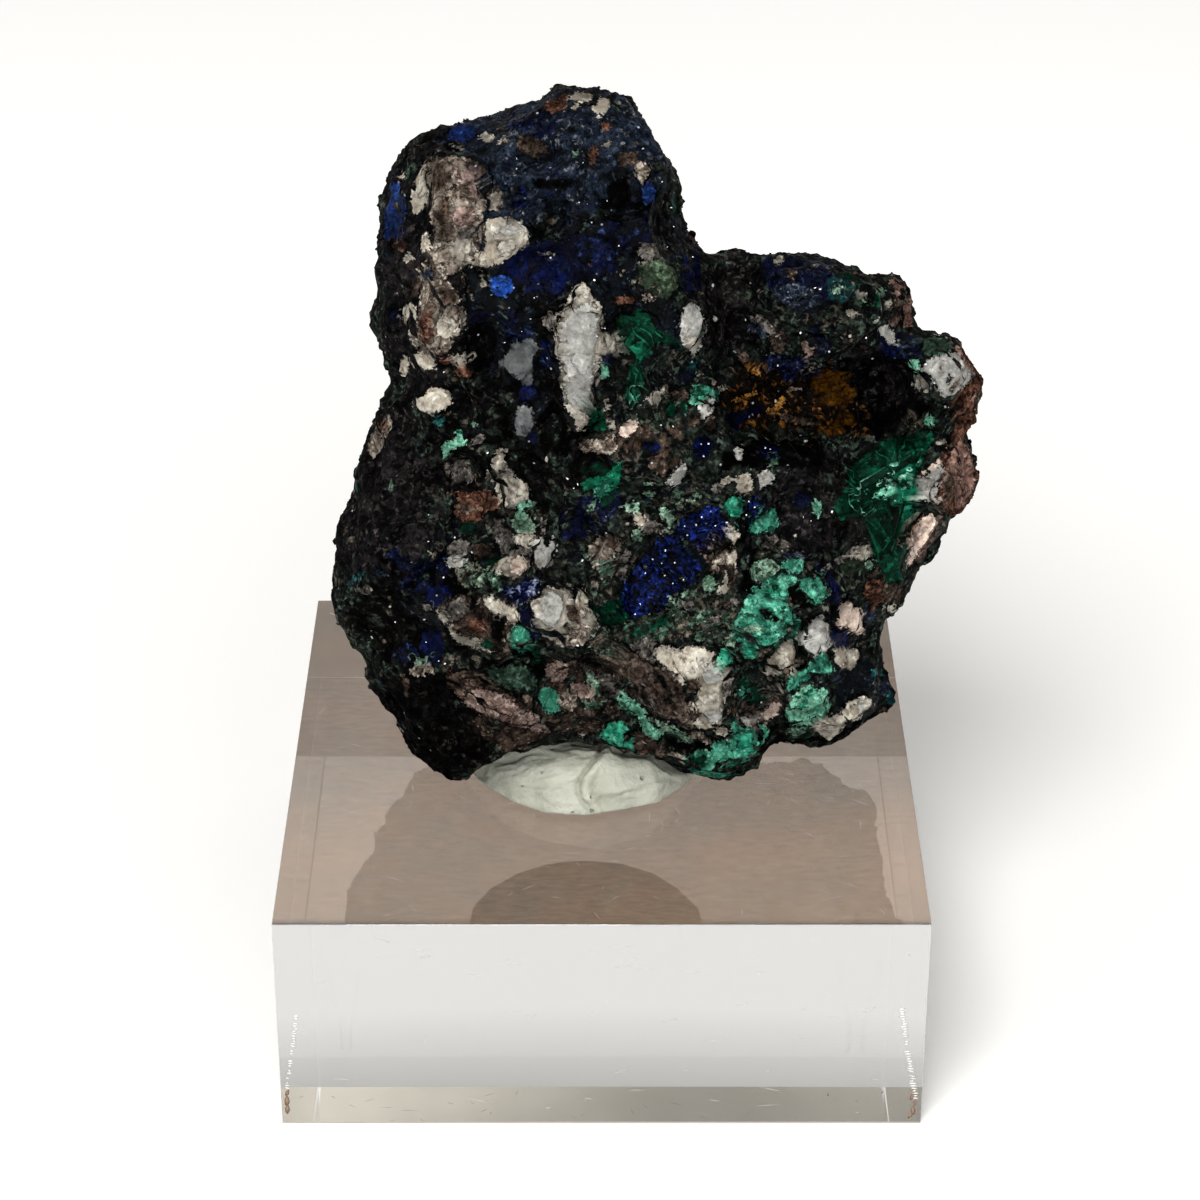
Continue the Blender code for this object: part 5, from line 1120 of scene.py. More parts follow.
# Clear acrylic: its two barely different tints, how coarsely they alternate, and how it bends light
ACRYLIC_TINTS = ((0.975, 0.98, 0.975, 1.0), (0.985, 0.985, 0.98, 1.0))
ACRYLIC_TINT_SIZE = 14.0
ACRYLIC_IOR = 1.49

# The stage: the floor, the sheet under the block and the sheet behind it, and how they glow. The glow of the
# floor grows between two distances in metres.
FLOOR_HALF = 4000.0
FLOOR_Z = -0.04
FLOOR_TONE = (246, 246, 245)
FLOOR_GLOW = 0.42
FLOOR_GLOW_REACH = (0.01, 0.15)
MAT_Z = -0.02
MAT_TONES = ((154, 138, 122), (170, 143, 121))
MAT_GLOW_SHARE = 0.7
MAT_GLOW = 0.42
SHEET_HALF = (27.6, 7.0)
SHEET_Y = 47.0
SHEET_TONES = ((224, 218, 205), (234, 228, 216))

# The surroundings: how bright the wall behind and the ceiling are, between which heights of the unit
# direction one passes into the other, how bright the room in front is, and the band of warm light over the
# wall, as the slopes between which it grows and ends
WALL = 0.765
WALL_TOP = (0.588, 0.612)
WALL_TINT = (1.0, 0.99, 0.97, 1.0)
CEILING = 0.4
CEILING_TINT = (1.0, 0.975, 0.935, 1.0)
FRONT_ROOM = 0.2
GLOW_LOW = (0.585, 0.665)
GLOW_HIGH = (0.6895, 0.6915)
WALL_GLOW = 1.25
GLOW_TINT = (1.0, 0.86, 0.75, 1.0)

# The lights: name, place, target, size, watts, tint and whether the block lets them be seen through it
LIGHTS = (
    ("key", (-70, -270, 360), (0, 0, 40), (170, 170), 1.75, (1.0, 0.985, 0.96), True),
    ("front", (60, -430, 130), (0, 0, 30), (260, 160), 0.75, (1.0, 1.0, 1.0), False),
)

# How near and how far the camera sees, in metres
CLIP_METRES = (0.01, 20.0)

# What turns a cell and a seed into an even number
CELL_PRIMES = (73856093, 19349663, 83492791)
SEED_PRIME = 2654435761
MIXING = ((15, 2246822519), (13, 3266489917), (16, 668265263))
LAST_SHIFT = 15
NUMBER_MOST = 4294967295


def linear(tone):
    """The linear colour of an sRGB tone given as 0-255."""
    part = np.asarray(tone, float) / 255.0
    return np.where(part <= 0.04045, part / 12.92, ((part + 0.055) / 1.055) ** 2.4)


def opaque(tone):
    """The linear colour of a tone, with an alpha of 1."""
    return (*linear(tone), 1.0)


def scrambled(cells, seed):
    """A number from 0 to 1 for each whole-number cell, always the same for the same cell."""
    x, y, z = (cells[..., axis].astype(np.int64).astype(np.uint32) * np.uint32(prime)
               for axis, prime in enumerate(CELL_PRIMES))
    number = x ^ y ^ z ^ np.uint32((seed * SEED_PRIME) & NUMBER_MOST)
    for shift, factor in MIXING:
        number ^= number >> np.uint32(shift)
        number *= np.uint32(factor)
    number ^= number >> np.uint32(LAST_SHIFT)
    return number / float(NUMBER_MOST)


def noise(points, size, seed):
    """Smooth noise from -1 to 1 with bumps of about that size."""
    place = points / size
    low = np.floor(place)
    part = place - low
    part = part * part * (3.0 - 2.0 * part)
    total = np.zeros(len(points))
    for corner in np.ndindex(2, 2, 2):
        step = np.array(corner)
        weight = np.prod(np.where(step == 1, part, 1.0 - part), axis=1)
        total += weight * scrambled(low + step, seed)
    return 2.0 * total - 1.0


def rough_noise(points, size, seed, layers=3):
    """Noise with finer noise on it, from about -1 to 1."""
    return sum(noise(points, size / 2 ** layer, seed + layer) / 2 ** layer for layer in range(layers)) / 1.6


def grains(points, size, seed):
    """The grain that each point falls in: how far its middle is in grains, three numbers and the middle."""
    place = points / size
    low = np.floor(place)
    nearest = np.full(len(points), 9.0)
    cell = np.zeros_like(low)
    middle = np.zeros_like(place)
    for corner in np.ndindex(3, 3, 3):
        other = low + (np.array(corner) - 1)
        centre = other + np.stack([scrambled(other, seed + axis) for axis in range(3)], axis=1)
        distance = ((place - centre) ** 2).sum(axis=1)
        closer = distance < nearest
        nearest[closer] = distance[closer]
        cell[closer] = other[closer]
        middle[closer] = centre[closer]
    picks = np.stack([scrambled(cell, seed + 11 + axis) for axis in range(3)], axis=1)
    return np.sqrt(nearest), picks, middle * size


def sight_place(points):
    """Where points lie on the sight plane."""
    ray = points - EYE
    share = PLANE_DISTANCE / (ray @ AHEAD)
    return ray[:, 0] * share - MIDDLE_A, (ray @ UPWARD) * share - MIDDLE_B


def behind_middle(points):
    """How far points lie behind the leaning sheet through the rock's middle."""
    return points[:, 1] - ROCK_MIDDLE[1] - ROCK_LEAN * (points[:, 2] - ROCK_MIDDLE[2])


def from_ellipse(ellipse, a, b):
    """How far places lie from an ellipse's middle: 1 on its edge."""
    at_a, at_b, half_width, half_height = ellipse[:4]
    turn = math.radians(ellipse[4] if len(ellipse) > 4 else 0.0)
    along = (a - at_a) * math.cos(turn) + (b - at_b) * math.sin(turn)
    across = (b - at_b) * math.cos(turn) - (a - at_a) * math.sin(turn)
    return np.hypot(along / half_width, across / half_height)


def clothe_hidden_side(kind, middle, picks, behind):
    """Gives the grains of the sides and the back, which the photograph doesn't show, the same minerals."""
    fields = {name: rough_noise(middle, size, seed) for name, (size, seed) in HIDDEN_FIELDS.items()}
    for name, sign, level, mineral, share in HIDDEN_GROUND:
        kind[behind & (sign * fields[name] > level) & (picks[:, 0] < share)] = NAMES.index(mineral)


def outline_depth(corners, a, b):
    """How deep places lie inside a closed outline, less than zero outside it."""
    nearest = np.full(len(a), np.inf)
    inside = np.zeros(len(a), bool)
    for (a0, b0), (a1, b1) in zip(corners, np.roll(corners, -1, axis=0)):
        da, db = a1 - a0, b1 - b0
        share = np.clip(((a - a0) * da + (b - b0) * db) / (da * da + db * db), 0.0, 1.0)
        nearest = np.minimum(nearest, np.hypot(a - a0 - share * da, b - b0 - share * db))
        if db:
            inside ^= ((b0 > b) != (b1 > b)) & (a < a0 + da * (b - b0) / db)
    return np.where(inside, nearest, -nearest)


def ellipse_depth(ellipse, a, b):
    """How deep places lie inside an ellipse, less than zero outside it."""
    return (1.0 - from_ellipse(ellipse, a, b)) * min(ellipse[2:4])


def hidden_patches(points):
    """Patches of the hidden sides: for each mineral, how deep every point lies inside its patches."""
    for size, seed, level, mineral in HIDDEN_PATCHES:
        yield mineral, (rough_noise(points, size, seed) - level) * size * HIDDEN_DEEPENING


def facing_eye(points, outward):
    """How squarely each point's surface faces the photograph's eye: 1 straight at it, below 0 turned away."""
    ray = EYE - points
    return (outward * ray).sum(axis=1) / np.linalg.norm(ray, axis=1)


def patches_at(points, toward, under, hidden=True):
    """Lays the patches over the minerals beneath, given how squarely each point faces the eye.

    Gives what lies under the topmost patch near each point, that patch's mineral, and how deep the point is
    inside it.
    """
    a, b = sight_place(points)
    behind = behind_middle(points)
    wander = FRONT_WANDER * noise(points, FRONT_WANDER_SIZE, SEEDS["front_edge"])
    front_side = np.minimum(FRONT_REACH - behind + wander, (toward - FACING_LEAST) * FACING_FALL)
    hidden_side = np.maximum(behind - HIDDEN_START, -toward * FACING_FALL)
    under, over = under.copy(), under.copy()
    depth = np.full(len(points), -PATCH_REACH)

    def lay(near, deep, mineral):
        shown = (deep > 0.0) | ((deep > -PATCH_REACH) & (-deep < np.abs(depth[near])))
        near, deep = near[shown], deep[shown]
        under[near] = np.where(depth[near] > 0.0, over[near], under[near])
        over[near] = NAMES.index(mineral)
        depth[near] = deep

    if hidden:
        back = np.flatnonzero(hidden_side > -PATCH_REACH)
        for mineral, deep in hidden_patches(points[back]):
            lay(back, np.minimum(deep, hidden_side[back]), mineral)
    front = np.flatnonzero(front_side > -PATCH_REACH)
    for mineral, numbers in PATCHES:
        outline = len(numbers) > ELLIPSE_NUMBERS
        if outline:
            corners = np.reshape(numbers, (-1, 2))
            low, high = corners.min(axis=0), corners.max(axis=0)
        else:
            reach = max(numbers[2:4])
            low, high = np.array(numbers[:2]) - reach, np.array(numbers[:2]) + reach
        near = front[(a[front] > low[0] - PATCH_REACH) & (a[front] < high[0] + PATCH_REACH)
                     & (b[front] > low[1] - PATCH_REACH) & (b[front] < high[1] + PATCH_REACH)]
        depth_in = outline_depth if outline else ellipse_depth
        deep = depth_in(corners if outline else numbers, a[near], b[near])
        lay(near, np.minimum(deep, front_side[near]), mineral)
    return under, over, depth


def patch_relief(over, depth):
    """How far each point stands up or goes in for being inside a patch."""
    hard = np.array([mineral.family in ("quartz", "malachite") for mineral in MINERALS.values()])[over]
    # Patches of painted hollow shade and of soot go in
    low = np.isin(over, [NAMES.index("hollow"), NAMES.index("soot_and_shade")])
    inside = np.clip(depth / PATCH_RISE_OVER, 0.0, 1.0)
    return inside * (PATCH_RISE * hard - HOLLOW_FALL * low)


def minerals_at(points, back=True):
    """The mineral of the grain that each point is in, the grain's numbers and how near its middle it is."""
    seed = SEEDS["ground"]
    warp = np.stack([noise(points, CELL_WARP_SIZE, seed + 51 + axis) for axis in range(3)], axis=1)
    near, picks, middle = grains(points + CELL_WARP * warp, CELL_SIZE, seed)
    a, b = sight_place(middle)
    edge = 1.0 + ROW_WOBBLE * rough_noise(middle, ROW_WOBBLE_SIZE, seed + 31)
    kind = np.full(len(points), NAMES.index("matrix"))
    behind = behind_middle(middle)
    if back:
        clothe_hidden_side(kind, middle, picks, behind > HIDDEN_GRAINS_START)
    front = behind < FRONT_REACH
    for number, (*ellipse, mineral, share) in enumerate(GROUND):
        chosen = (picks[:, 0] + ROW_STEP * number) % 1.0 < share
        kind[front & chosen & (from_ellipse(ellipse, a, b) < edge)] = NAMES.index(mineral)
    return kind, picks, near


def tones_of(kind, picks, shade):
    """Main colour, odd grains' colour and finish for every point, by mineral and by grain.

    The odd colour's alpha is how far the brightness scatters. The finish holds roughness, glint, the share of
    odd grains and, as alpha, the shade.
    """
    count = len(kind)
    ground, odd, finish = np.ones((count, 4)), np.ones((count, 4)), np.ones((count, 4))
    for number, mineral in enumerate(MINERALS.values()):
        here = kind == number
        main, others = linear(mineral.main), linear(mineral.odd)
        ground[here, :3] = main[(picks[here, 1] * len(main)).astype(int) % len(main)]
        odd[here, :3] = others[(picks[here, 2] * len(others)).astype(int) % len(others)]
        odd[here, 3] = mineral.scatter
        finish[here, :3] = mineral.roughness, mineral.glint, mineral.odd_share
    finish[:, 3] = np.clip(shade, 0.0, 1.0)
    return ground, odd, finish


def paint(mesh, under, over, depth):
    """Stores every vertex's looks, those of the patch over it, and its depth in the patch as an alpha."""
    for prefix, looks in (("", under), ("patch_", over)):
        for name, values in zip(("ground", "odd", "finish"), looks):
            if prefix and name == "ground":
                values = np.column_stack([values[:, :3], depth])
            store_colour(mesh, prefix + name, values)


def store_colour(mesh, name, values):
    """Stores four numbers for every vertex under a name."""
    layer = mesh.color_attributes.new(name, "FLOAT_COLOR", "POINT")
    layer.data.foreach_set("color", values.astype(np.float32).ravel())


def coordinates(mesh):
    """The vertices of a mesh as an array."""
    values = np.empty(len(mesh.vertices) * 3, np.float32)
    mesh.vertices.foreach_get("co", values)
    return values.reshape(-1, 3).astype(float)


def normals(mesh):
    """The vertex normals of a mesh as an array."""
    values = np.empty(len(mesh.vertices) * 3, np.float32)
    mesh.vertex_normals.foreach_get("vector", values)
    return values.reshape(-1, 3).astype(float)


def place_vertices(mesh, points):
    """Moves the vertices of a mesh to points."""
    mesh.vertices.foreach_set("co", points.astype(np.float32).ravel())
    mesh.update()


def fine_mesh(node, voxel, passes):
    """A closed fine mesh of a CAD node's form, its facets eased, in millimetres."""
    shell = bmesh.new()
    shell.from_mesh(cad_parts[node].data)
    bmesh.ops.remove_doubles(shell, verts=shell.verts, dist=WELD_METRES)
    bmesh.ops.scale(shell, vec=(1.0 / MM,) * 3, verts=shell.verts)
    coarse = bpy.data.meshes.new(node + "_form")
    shell.to_mesh(coarse)
    shell.free()
    helper = bpy.data.objects.new(node + "_form", coarse)
    bpy.context.scene.collection.objects.link(helper)
    voxels = helper.modifiers.new("voxels", "REMESH")
    voxels.mode = "VOXEL"
    voxels.voxel_size = voxel
    ease = helper.modifiers.new("ease", "SMOOTH")
    ease.factor = 0.5
    ease.iterations = passes
    helper_view = helper.evaluated_get(bpy.context.evaluated_depsgraph_get())
    fine = bpy.data.meshes.new_from_object(helper_view)
    bpy.data.objects.remove(helper)
    bpy.data.meshes.remove(coarse)
    return fine


def piece_from(mesh, name, slot, materials, replaced=None, kind=None):
    """Makes a mesh that is in millimetres a finished piece that rides on the root body.

    With the mineral of each vertex given, each face takes the material of its mineral's family.
    """
    place_vertices(mesh, coordinates(mesh) * MM)
    mesh.name = name
    mesh.materials.clear()
    for material in materials if isinstance(materials, tuple) else (materials,):
        mesh.materials.append(material)
    if kind is not None:
        family = np.array([FAMILIES.index(mineral.family) for mineral in MINERALS.values()])
        corner, start = np.empty(len(mesh.loops), np.int32), np.empty(len(mesh.polygons), np.int32)
        mesh.loops.foreach_get("vertex_index", corner)
        mesh.polygons.foreach_get("loop_start", start)
        mesh.polygons.foreach_set("material_index", family[kind[corner[start]]].astype(np.int32))
    mesh.shade_smooth()
    piece = bpy.data.objects.new(name, mesh)
    bpy.context.scene.collection.objects.link(piece)
    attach(piece, "root")
    if replaced:
        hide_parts(replaced)
    return piece


def inside_box(points):
    """Keeps points inside the CAD model's box and above the block."""
    low, high = BOX_LOW + BOX_MARGIN, BOX_HIGH - BOX_MARGIN
    return np.clip(points, [low[0], low[1], UNDERSIDE_LEAST], high)


def knobs(points, sizes, seed):
    """A rounded bump for every grain of each size, centred on zero."""
    height = np.zeros(len(points))
    for number, (size, rise) in enumerate(sizes):
        near, picks, _ = grains(points, size, seed + 17 * number)
        bump = KNOB_MEAN - np.clip(near, 0.0, 1.0) ** KNOB_ROUND
        height += rise * bump * (KNOB_LEAST + KNOB_MORE * picks[:, 0])
    return height


def relief_of(kind):
    """How strongly the grains of each point's mineral stand up."""
    return np.array([mineral.relief for mineral in MINERALS.values()])[kind]


def shade_of(points, height, looks, seed):
    """How light each point is painted, from its height and from clouds: painted shade, darker low down."""
    mean, by_height, scatter, size = looks
    return mean + by_height * height + scatter * rough_noise(points, size, seed)


def painted_surface(mesh, moved, toward, kind, picks, shade, hidden=True):
    """Moves a skin and paints it. Gives its points, normals, minerals and depths inside the patches."""
    place_vertices(mesh, moved)
    under, over, depth = patches_at(moved, toward, kind, hidden)
    paint(mesh, tones_of(under, picks, shade), tones_of(over, picks, shade), depth)
    return moved, normals(mesh), np.where(depth > 0.0, over, under), depth


def make_rock(material):
    """The rock's knobbly skin, coloured grain by grain and patch by patch."""
    mesh = fine_mesh("matrix_rock", ROCK_VOXEL, ROCK_SMOOTHING)
    points, outward = coordinates(mesh), normals(mesh)
    kind, picks, near = minerals_at(points)
    toward = facing_eye(points, outward)
    under, over, depth = patches_at(points, toward, kind)
    shown = np.where(depth > 0.0, over, under)
    height = knobs(points, ROCK_KNOBS, SEEDS["rock_knobs"])
    height += ROCK_ROUGHNESS * rough_noise(points, ROCK_ROUGHNESS_SIZE, SEEDS["rock_roughness"])
    grain_rise = GRAIN_RISE * (GRAIN_RIM - near) * (0.5 + picks[:, 2])
    height = height * relief_of(shown) + grain_rise + patch_relief(over, depth) - ROCK_INSET
    moved = inside_box(points + outward * height[:, None])
    shade = shade_of(points, height + ROCK_INSET, ROCK_SHADE, SEEDS["rock_shade"])
    surface = painted_surface(mesh, moved, toward, kind, picks, shade)
    tree = BVHTree.FromPolygons([Vector(p) for p in moved], [tuple(face.vertices) for face in mesh.polygons])
    piece_from(mesh, "matrix_rock_skin", "rock", material, "matrix_rock", surface[2])
    return surface, tree


def settle(points, outward, tree, keep):
    """Lowers a growth onto the rock's skin, keeping that share of its height, and draws its underside in."""
    settled = points.copy()
    for number, (point, normal) in enumerate(zip(points, outward)):
        found, face_normal, _, distance = tree.find_nearest(Vector(point))
        offset = point - np.array(found)
        height = float(face_normal.dot(Vector(offset)))
        if height > 0.0:
            settled[number] -= offset * (1.0 - keep)
        facing = max(0.0, min(1.0, SINK_FACING - float(face_normal.dot(Vector(normal)))))
        if distance < SINK_REACH:
            pull = facing ** SINK_FACING_EASE * (1.0 - distance / SINK_REACH) ** SINK_REACH_EASE
            target = np.array(found - face_normal * SINK_DEPTH)
            settled[number] += (target - settled[number]) * pull
    return settled


def fan_rays(mesh, points, centre):
    """Stores how far round and how far out each vertex lies from a fan's centre. Gives ridges on its rays."""
    a, b = sight_place(points)
    angle = np.arctan2(b - centre[1], a - centre[0])
    reach = np.hypot(a - centre[0], b - centre[1])
    store_colour(mesh, "ray", np.stack([angle, reach, np.zeros_like(angle), np.ones_like(angle)], axis=1))
    ray = np.stack([np.cos(angle) * RAY_CLOSE, np.sin(angle) * RAY_CLOSE, reach * RAY_DRAW], axis=1)
    return sum(rise * noise(ray * fineness, 1.0, SEEDS["rays"] + layer)
               for layer, (fineness, rise) in enumerate(RAY_RIDGES))


def make_growth(node, tree, materials):
    """One mineral growth in its CAD node's place, finely finished."""
    finish_name, mineral = GROWTHS[node]
    voxel, passes, sizes, keep = FINISHES[finish_name]
    mesh = fine_mesh(node, voxel, passes)
    points, outward = coordinates(mesh), normals(mesh)
    height = knobs(points, sizes, SEEDS["growth_knobs"])
    if finish_name == "sandstone":
        height += FIBRE_RISE * rough_noise(points * FIBRE_DRAW, FIBRE_SIZE, SEEDS["fibres"])
    if node in FAN_CENTRES:
        height += fan_rays(mesh, points, FAN_CENTRES[node])
    moved = inside_box(settle(points + outward * height[:, None], outward, tree, keep))
    kind, picks, _ = minerals_at(moved, back=False)
    kind[behind_middle(moved) > FRONT_REACH] = NAMES.index(mineral)
    shade = shade_of(points, height, GROWTH_SHADE, SEEDS["growth_shade"])
    surface = painted_surface(mesh, moved, facing_eye(points, outward), kind, picks, shade, hidden=False)
    piece_from(mesh, node + "_skin", SLOT_OF_FINISH[finish_name], materials[node], node, surface[2])
    return surface


def form_of(name):
    """The corners and faces of a grain's form, about one across."""
    form = bmesh.new()
    if name == "ball":
        bmesh.ops.create_icosphere(form, subdivisions=2, radius=0.5)
    elif name == "chip":
        bmesh.ops.create_icosphere(form, subdivisions=1, radius=0.55)
    else:
        bmesh.ops.create_cube(form, size=0.72)
        bmesh.ops.triangulate(form, faces=form.faces)
    corners = np.array([vertex.co for vertex in form.verts])
    faces = np.array([[vertex.index for vertex in face.verts] for face in form.faces])
    form.free()
    return corners, faces


def random_turns(count, rng):
    """Rotation matrices spread evenly over all turns."""
    q = rng.normal(size=(count, 4))
    w, x, y, z = (q / np.linalg.norm(q, axis=1, keepdims=True)).T
    return np.stack([
        1 - 2 * (y * y + z * z), 2 * (x * y - z * w), 2 * (x * z + y * w),
        2 * (x * y + z * w), 1 - 2 * (x * x + z * z), 2 * (y * z - x * w),
        2 * (x * z - y * w), 2 * (y * z + x * w), 1 - 2 * (x * x + y * y)], axis=1).reshape(-1, 3, 3)


def joined_mesh(name, shapes, faces):
    """One mesh of many forms that share their faces, kept inside the box."""
    count, each = shapes.shape[:2]
    mesh = bpy.data.meshes.new(name)
    all_faces = (faces[None] + (np.arange(count) * each)[:, None, None]).reshape(-1, 3)
    mesh.from_pydata(inside_box(shapes.reshape(-1, 3)).tolist(), [], all_faces.tolist())
    return mesh


def strew(name, form, places, outward, kind, sizes, rng, slot, material):
    """A joined mesh of grains of one form, seated at places, each with a tone of its mineral."""
    corners, faces = form_of(form)
    count, each = len(places), len(corners)
    size = sizes[0] + (sizes[1] - sizes[0]) * rng.random(count) ** SIZE_SKEW
    uneven = rng.normal(size=(count, each, 1)).clip(-CORNER_MOST, CORNER_MOST)
    shape = corners[None] * (1.0 + CORNER_SCATTER[form] * uneven)
    shape = shape * (1.0 + PROPORTION_SCATTER * rng.uniform(-1, 1, size=(count, 1, 3)))
    shape = np.einsum("nij,nkj->nki", random_turns(count, rng), shape) * size[:, None, None]
    seat = places + outward * (size * rng.uniform(*SEAT_DEPTH, count))[:, None]
    mesh = joined_mesh(name, shape + seat[:, None], faces)
    picks = rng.random((count, 3))
    ground, odd, finish = tones_of(kind, picks, GRAIN_SHADE[0] + GRAIN_SHADE[1] * rng.random(count))
    swap = picks[:, 0] < 0.5 * finish[:, 2]
    ground[swap, :3] = odd[swap, :3]
    looks = tuple(np.repeat(values, each, axis=0) for values in (ground, odd, finish))
    paint(mesh, looks, looks, np.full(count * each, -1.0))
    piece = piece_from(mesh, name, slot, material, None, np.repeat(kind, each))
    if form == "crystal":
        piece.data.shade_flat()


def clear_of_putty(points):
    """Which places are well clear of the putty and the block."""
    low, high = (np.array(corner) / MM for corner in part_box("mounting_putty"))
    near = np.all((points > low - PUTTY_CLEAR) & (points < high + PUTTY_CLEAR_OVER), axis=1)
    return ~near & (points[:, 2] > UNDERSIDE_LEAST + BLOCK_CLEAR)


def make_grains(surfaces, material):
    """Grains strewn over the rock and its crusts, as joined meshes."""
    rng = np.random.default_rng(RANDOM_SEED)
    points, outward, kind, depth = (np.concatenate(parts) for parts in zip(*surfaces))
    free = clear_of_putty(points)
    for name, members, form, wanted, sizes, slot in GRAINS:
        numbers = [NAMES.index(member) for member in members]
        choice = np.flatnonzero(free & np.isin(kind, numbers))
        chosen = rng.choice(choice, min(wanted, len(choice)), replace=False)
        strew(name, form, points[chosen], outward[chosen], kind[chosen], sizes, rng, slot, material)
    rock = np.flatnonzero((free & (depth < 0.0))[:len(surfaces[0][0])])
    for mineral, wanted in STRAYS:
        chosen = rng.choice(rock, wanted, replace=False)
        kinds = np.full(wanted, NAMES.index(mineral))
        strew("stray_" + mineral, "chip", points[chosen], outward[chosen], kinds, STRAY_SIZES, rng, "rock",
              material)


def make_sparks(surfaces, material):
    """Small crystals painted near white as painted glints, each seated where its place meets the frontmost
    surface.
    """
    points = np.concatenate([surface[0] for surface in surfaces])
    outward = np.concatenate([surface[1] for surface in surfaces])
    a, b = sight_place(points)
    ahead = (points - EYE) @ AHEAD
    rng = np.random.default_rng(RANDOM_SEED + 2)
    places, facings, sizes = [], [], []
    for at_a, at_b, radius in SPARKS:
        close = np.flatnonzero((np.abs(a - at_a) < SPARK_REACH) & (np.abs(b - at_b) < SPARK_REACH))
        if not len(close):
            continue
        first = close[np.argmin(ahead[close])]
        ray = (AHEAD * PLANE_DISTANCE + UPWARD * (at_b + MIDDLE_B)) / PLANE_DISTANCE
        ray[0] += (at_a + MIDDLE_A) / PLANE_DISTANCE
        places.append(EYE + ray * ahead[first])
        facings.append(outward[first])
        sizes.append(SPARK_SIZE * radius)
    corners, faces = form_of("crystal")
    shape = np.einsum("nij,kj->nki", random_turns(len(places), rng), corners * SPARK_FORM)
    seat = np.array(places) + SPARK_PROUD * np.array(facings)
    mesh = joined_mesh("crystal_sparks", shape * np.array(sizes)[:, None, None] + seat[:, None], faces)
    kind = np.full(len(mesh.vertices), NAMES.index("spark"))
    looks = tones_of(kind, np.zeros((len(kind), 3)), np.full(len(kind), SPARK_SHADE))
    paint(mesh, looks, looks, np.full(len(kind), -1.0))
    piece_from(mesh, "crystal_sparks", "quartz", material, None, kind).data.shade_flat()


class Tree:
    """The node tree of a material or a world, with short ways to add and join nodes."""

    def __init__(self, owner):
        owner.use_nodes = True
        self.owner = owner
        self.nodes, self.links = owner.node_tree.nodes, owner.node_tree.links
        self.nodes.clear()

    def add(self, kind, inputs=None, **settings):
        """Adds a node. Inputs are values or output sockets, settings are the node's own properties."""
        node = self.nodes.new("ShaderNode" + kind)
        for name, value in settings.items():
            setattr(node, name, value)
        for name, value in (inputs or {}).items():
            if isinstance(value, bpy.types.NodeSocket):
                self.links.new(value, node.inputs[name])
            else:
                node.inputs[name].default_value = value
        return node

    def math(self, operation, *values):
        """The output of a Math node."""
        return self.add("Math", dict(enumerate(values)), operation=operation).outputs[0]

    def plus(self, *values):
        """Two values added."""
        return self.math("ADD", *values)

    def times(self, *values):
        """Two values multiplied."""
        return self.math("MULTIPLY", *values)

    def less(self, *values):
        """A value less another."""
        return self.math("SUBTRACT", *values)

    def vector(self, operation, *values):
        """The output of a Vector Math node."""
        return self.add("VectorMath", dict(enumerate(values)), operation=operation).outputs[0]

    def scaled(self, vector, factor):
        """A vector times a number or a number's socket."""
        return self.add("VectorMath", {0: vector, "Scale": factor}, operation="SCALE").outputs[0]

    def spread(self, value, from_low, from_high, to_low=0.0, to_high=1.0):
        """A value carried from one range to another, held at its ends."""
        inputs = {"Value": value, 1: from_low, 2: from_high, 3: to_low, 4: to_high}
        return self.add("MapRange", inputs).outputs[0]

    def blend(self, share, first, second):
        """The colour between two colours."""
        return self.add("Mix", {0: share, 6: first, 7: second}, data_type="RGBA").outputs[2]

    def parts(self, colour):
        """The three parts of a colour."""
        return self.add("SeparateColor", {0: colour}).outputs

    def place(self):
        """The place in the object's own coordinates."""
        return self.add("TexCoord").outputs["Object"]

    def painted(self, name):
        """The outputs of what is stored at the vertices under a name."""
        return self.add("Attribute", attribute_name=name).outputs

    def texture(self, kind, place, size, **inputs):
        """The outputs of a texture with features of about that size in millimetres."""
        return self.add("Tex" + kind, {"Vector": place, "Scale": 1.0 / (size * MM), **inputs}).outputs

    def cloud(self, place, size, detail, roughness, offset=0.0):
        """Fractal noise around 0.5 with clouds of about that size in millimetres."""
        where = self.vector("ADD", place, (offset * MM, offset * MM, offset * MM)) if offset else place
        return self.texture("Noise", where, size, Detail=detail, Roughness=roughness)["Fac"]

    def vein(self, place, size, roughness, offset=0.0):
        """How far places lie from thin winding lines, 0 on them."""
        return self.math("ABSOLUTE", self.less(self.cloud(place, size, 3.0, roughness, offset), 0.5))

    def principled(self, **inputs):
        """The output of a Principled shader, its inputs named with underscores for spaces."""
        named = {name.replace("_", " "): value for name, value in inputs.items()}
        return self.add("BsdfPrincipled", named).outputs[0]

    def finish(self, shader, kind="OutputMaterial"):
        """Ends the tree in its output and gives the tree's owner."""
        self.add(kind, {"Surface": shader})
        return self.owner


def material_tree(name):
    """The empty node tree of a new material."""
    return Tree(bpy.data.materials.new(name))


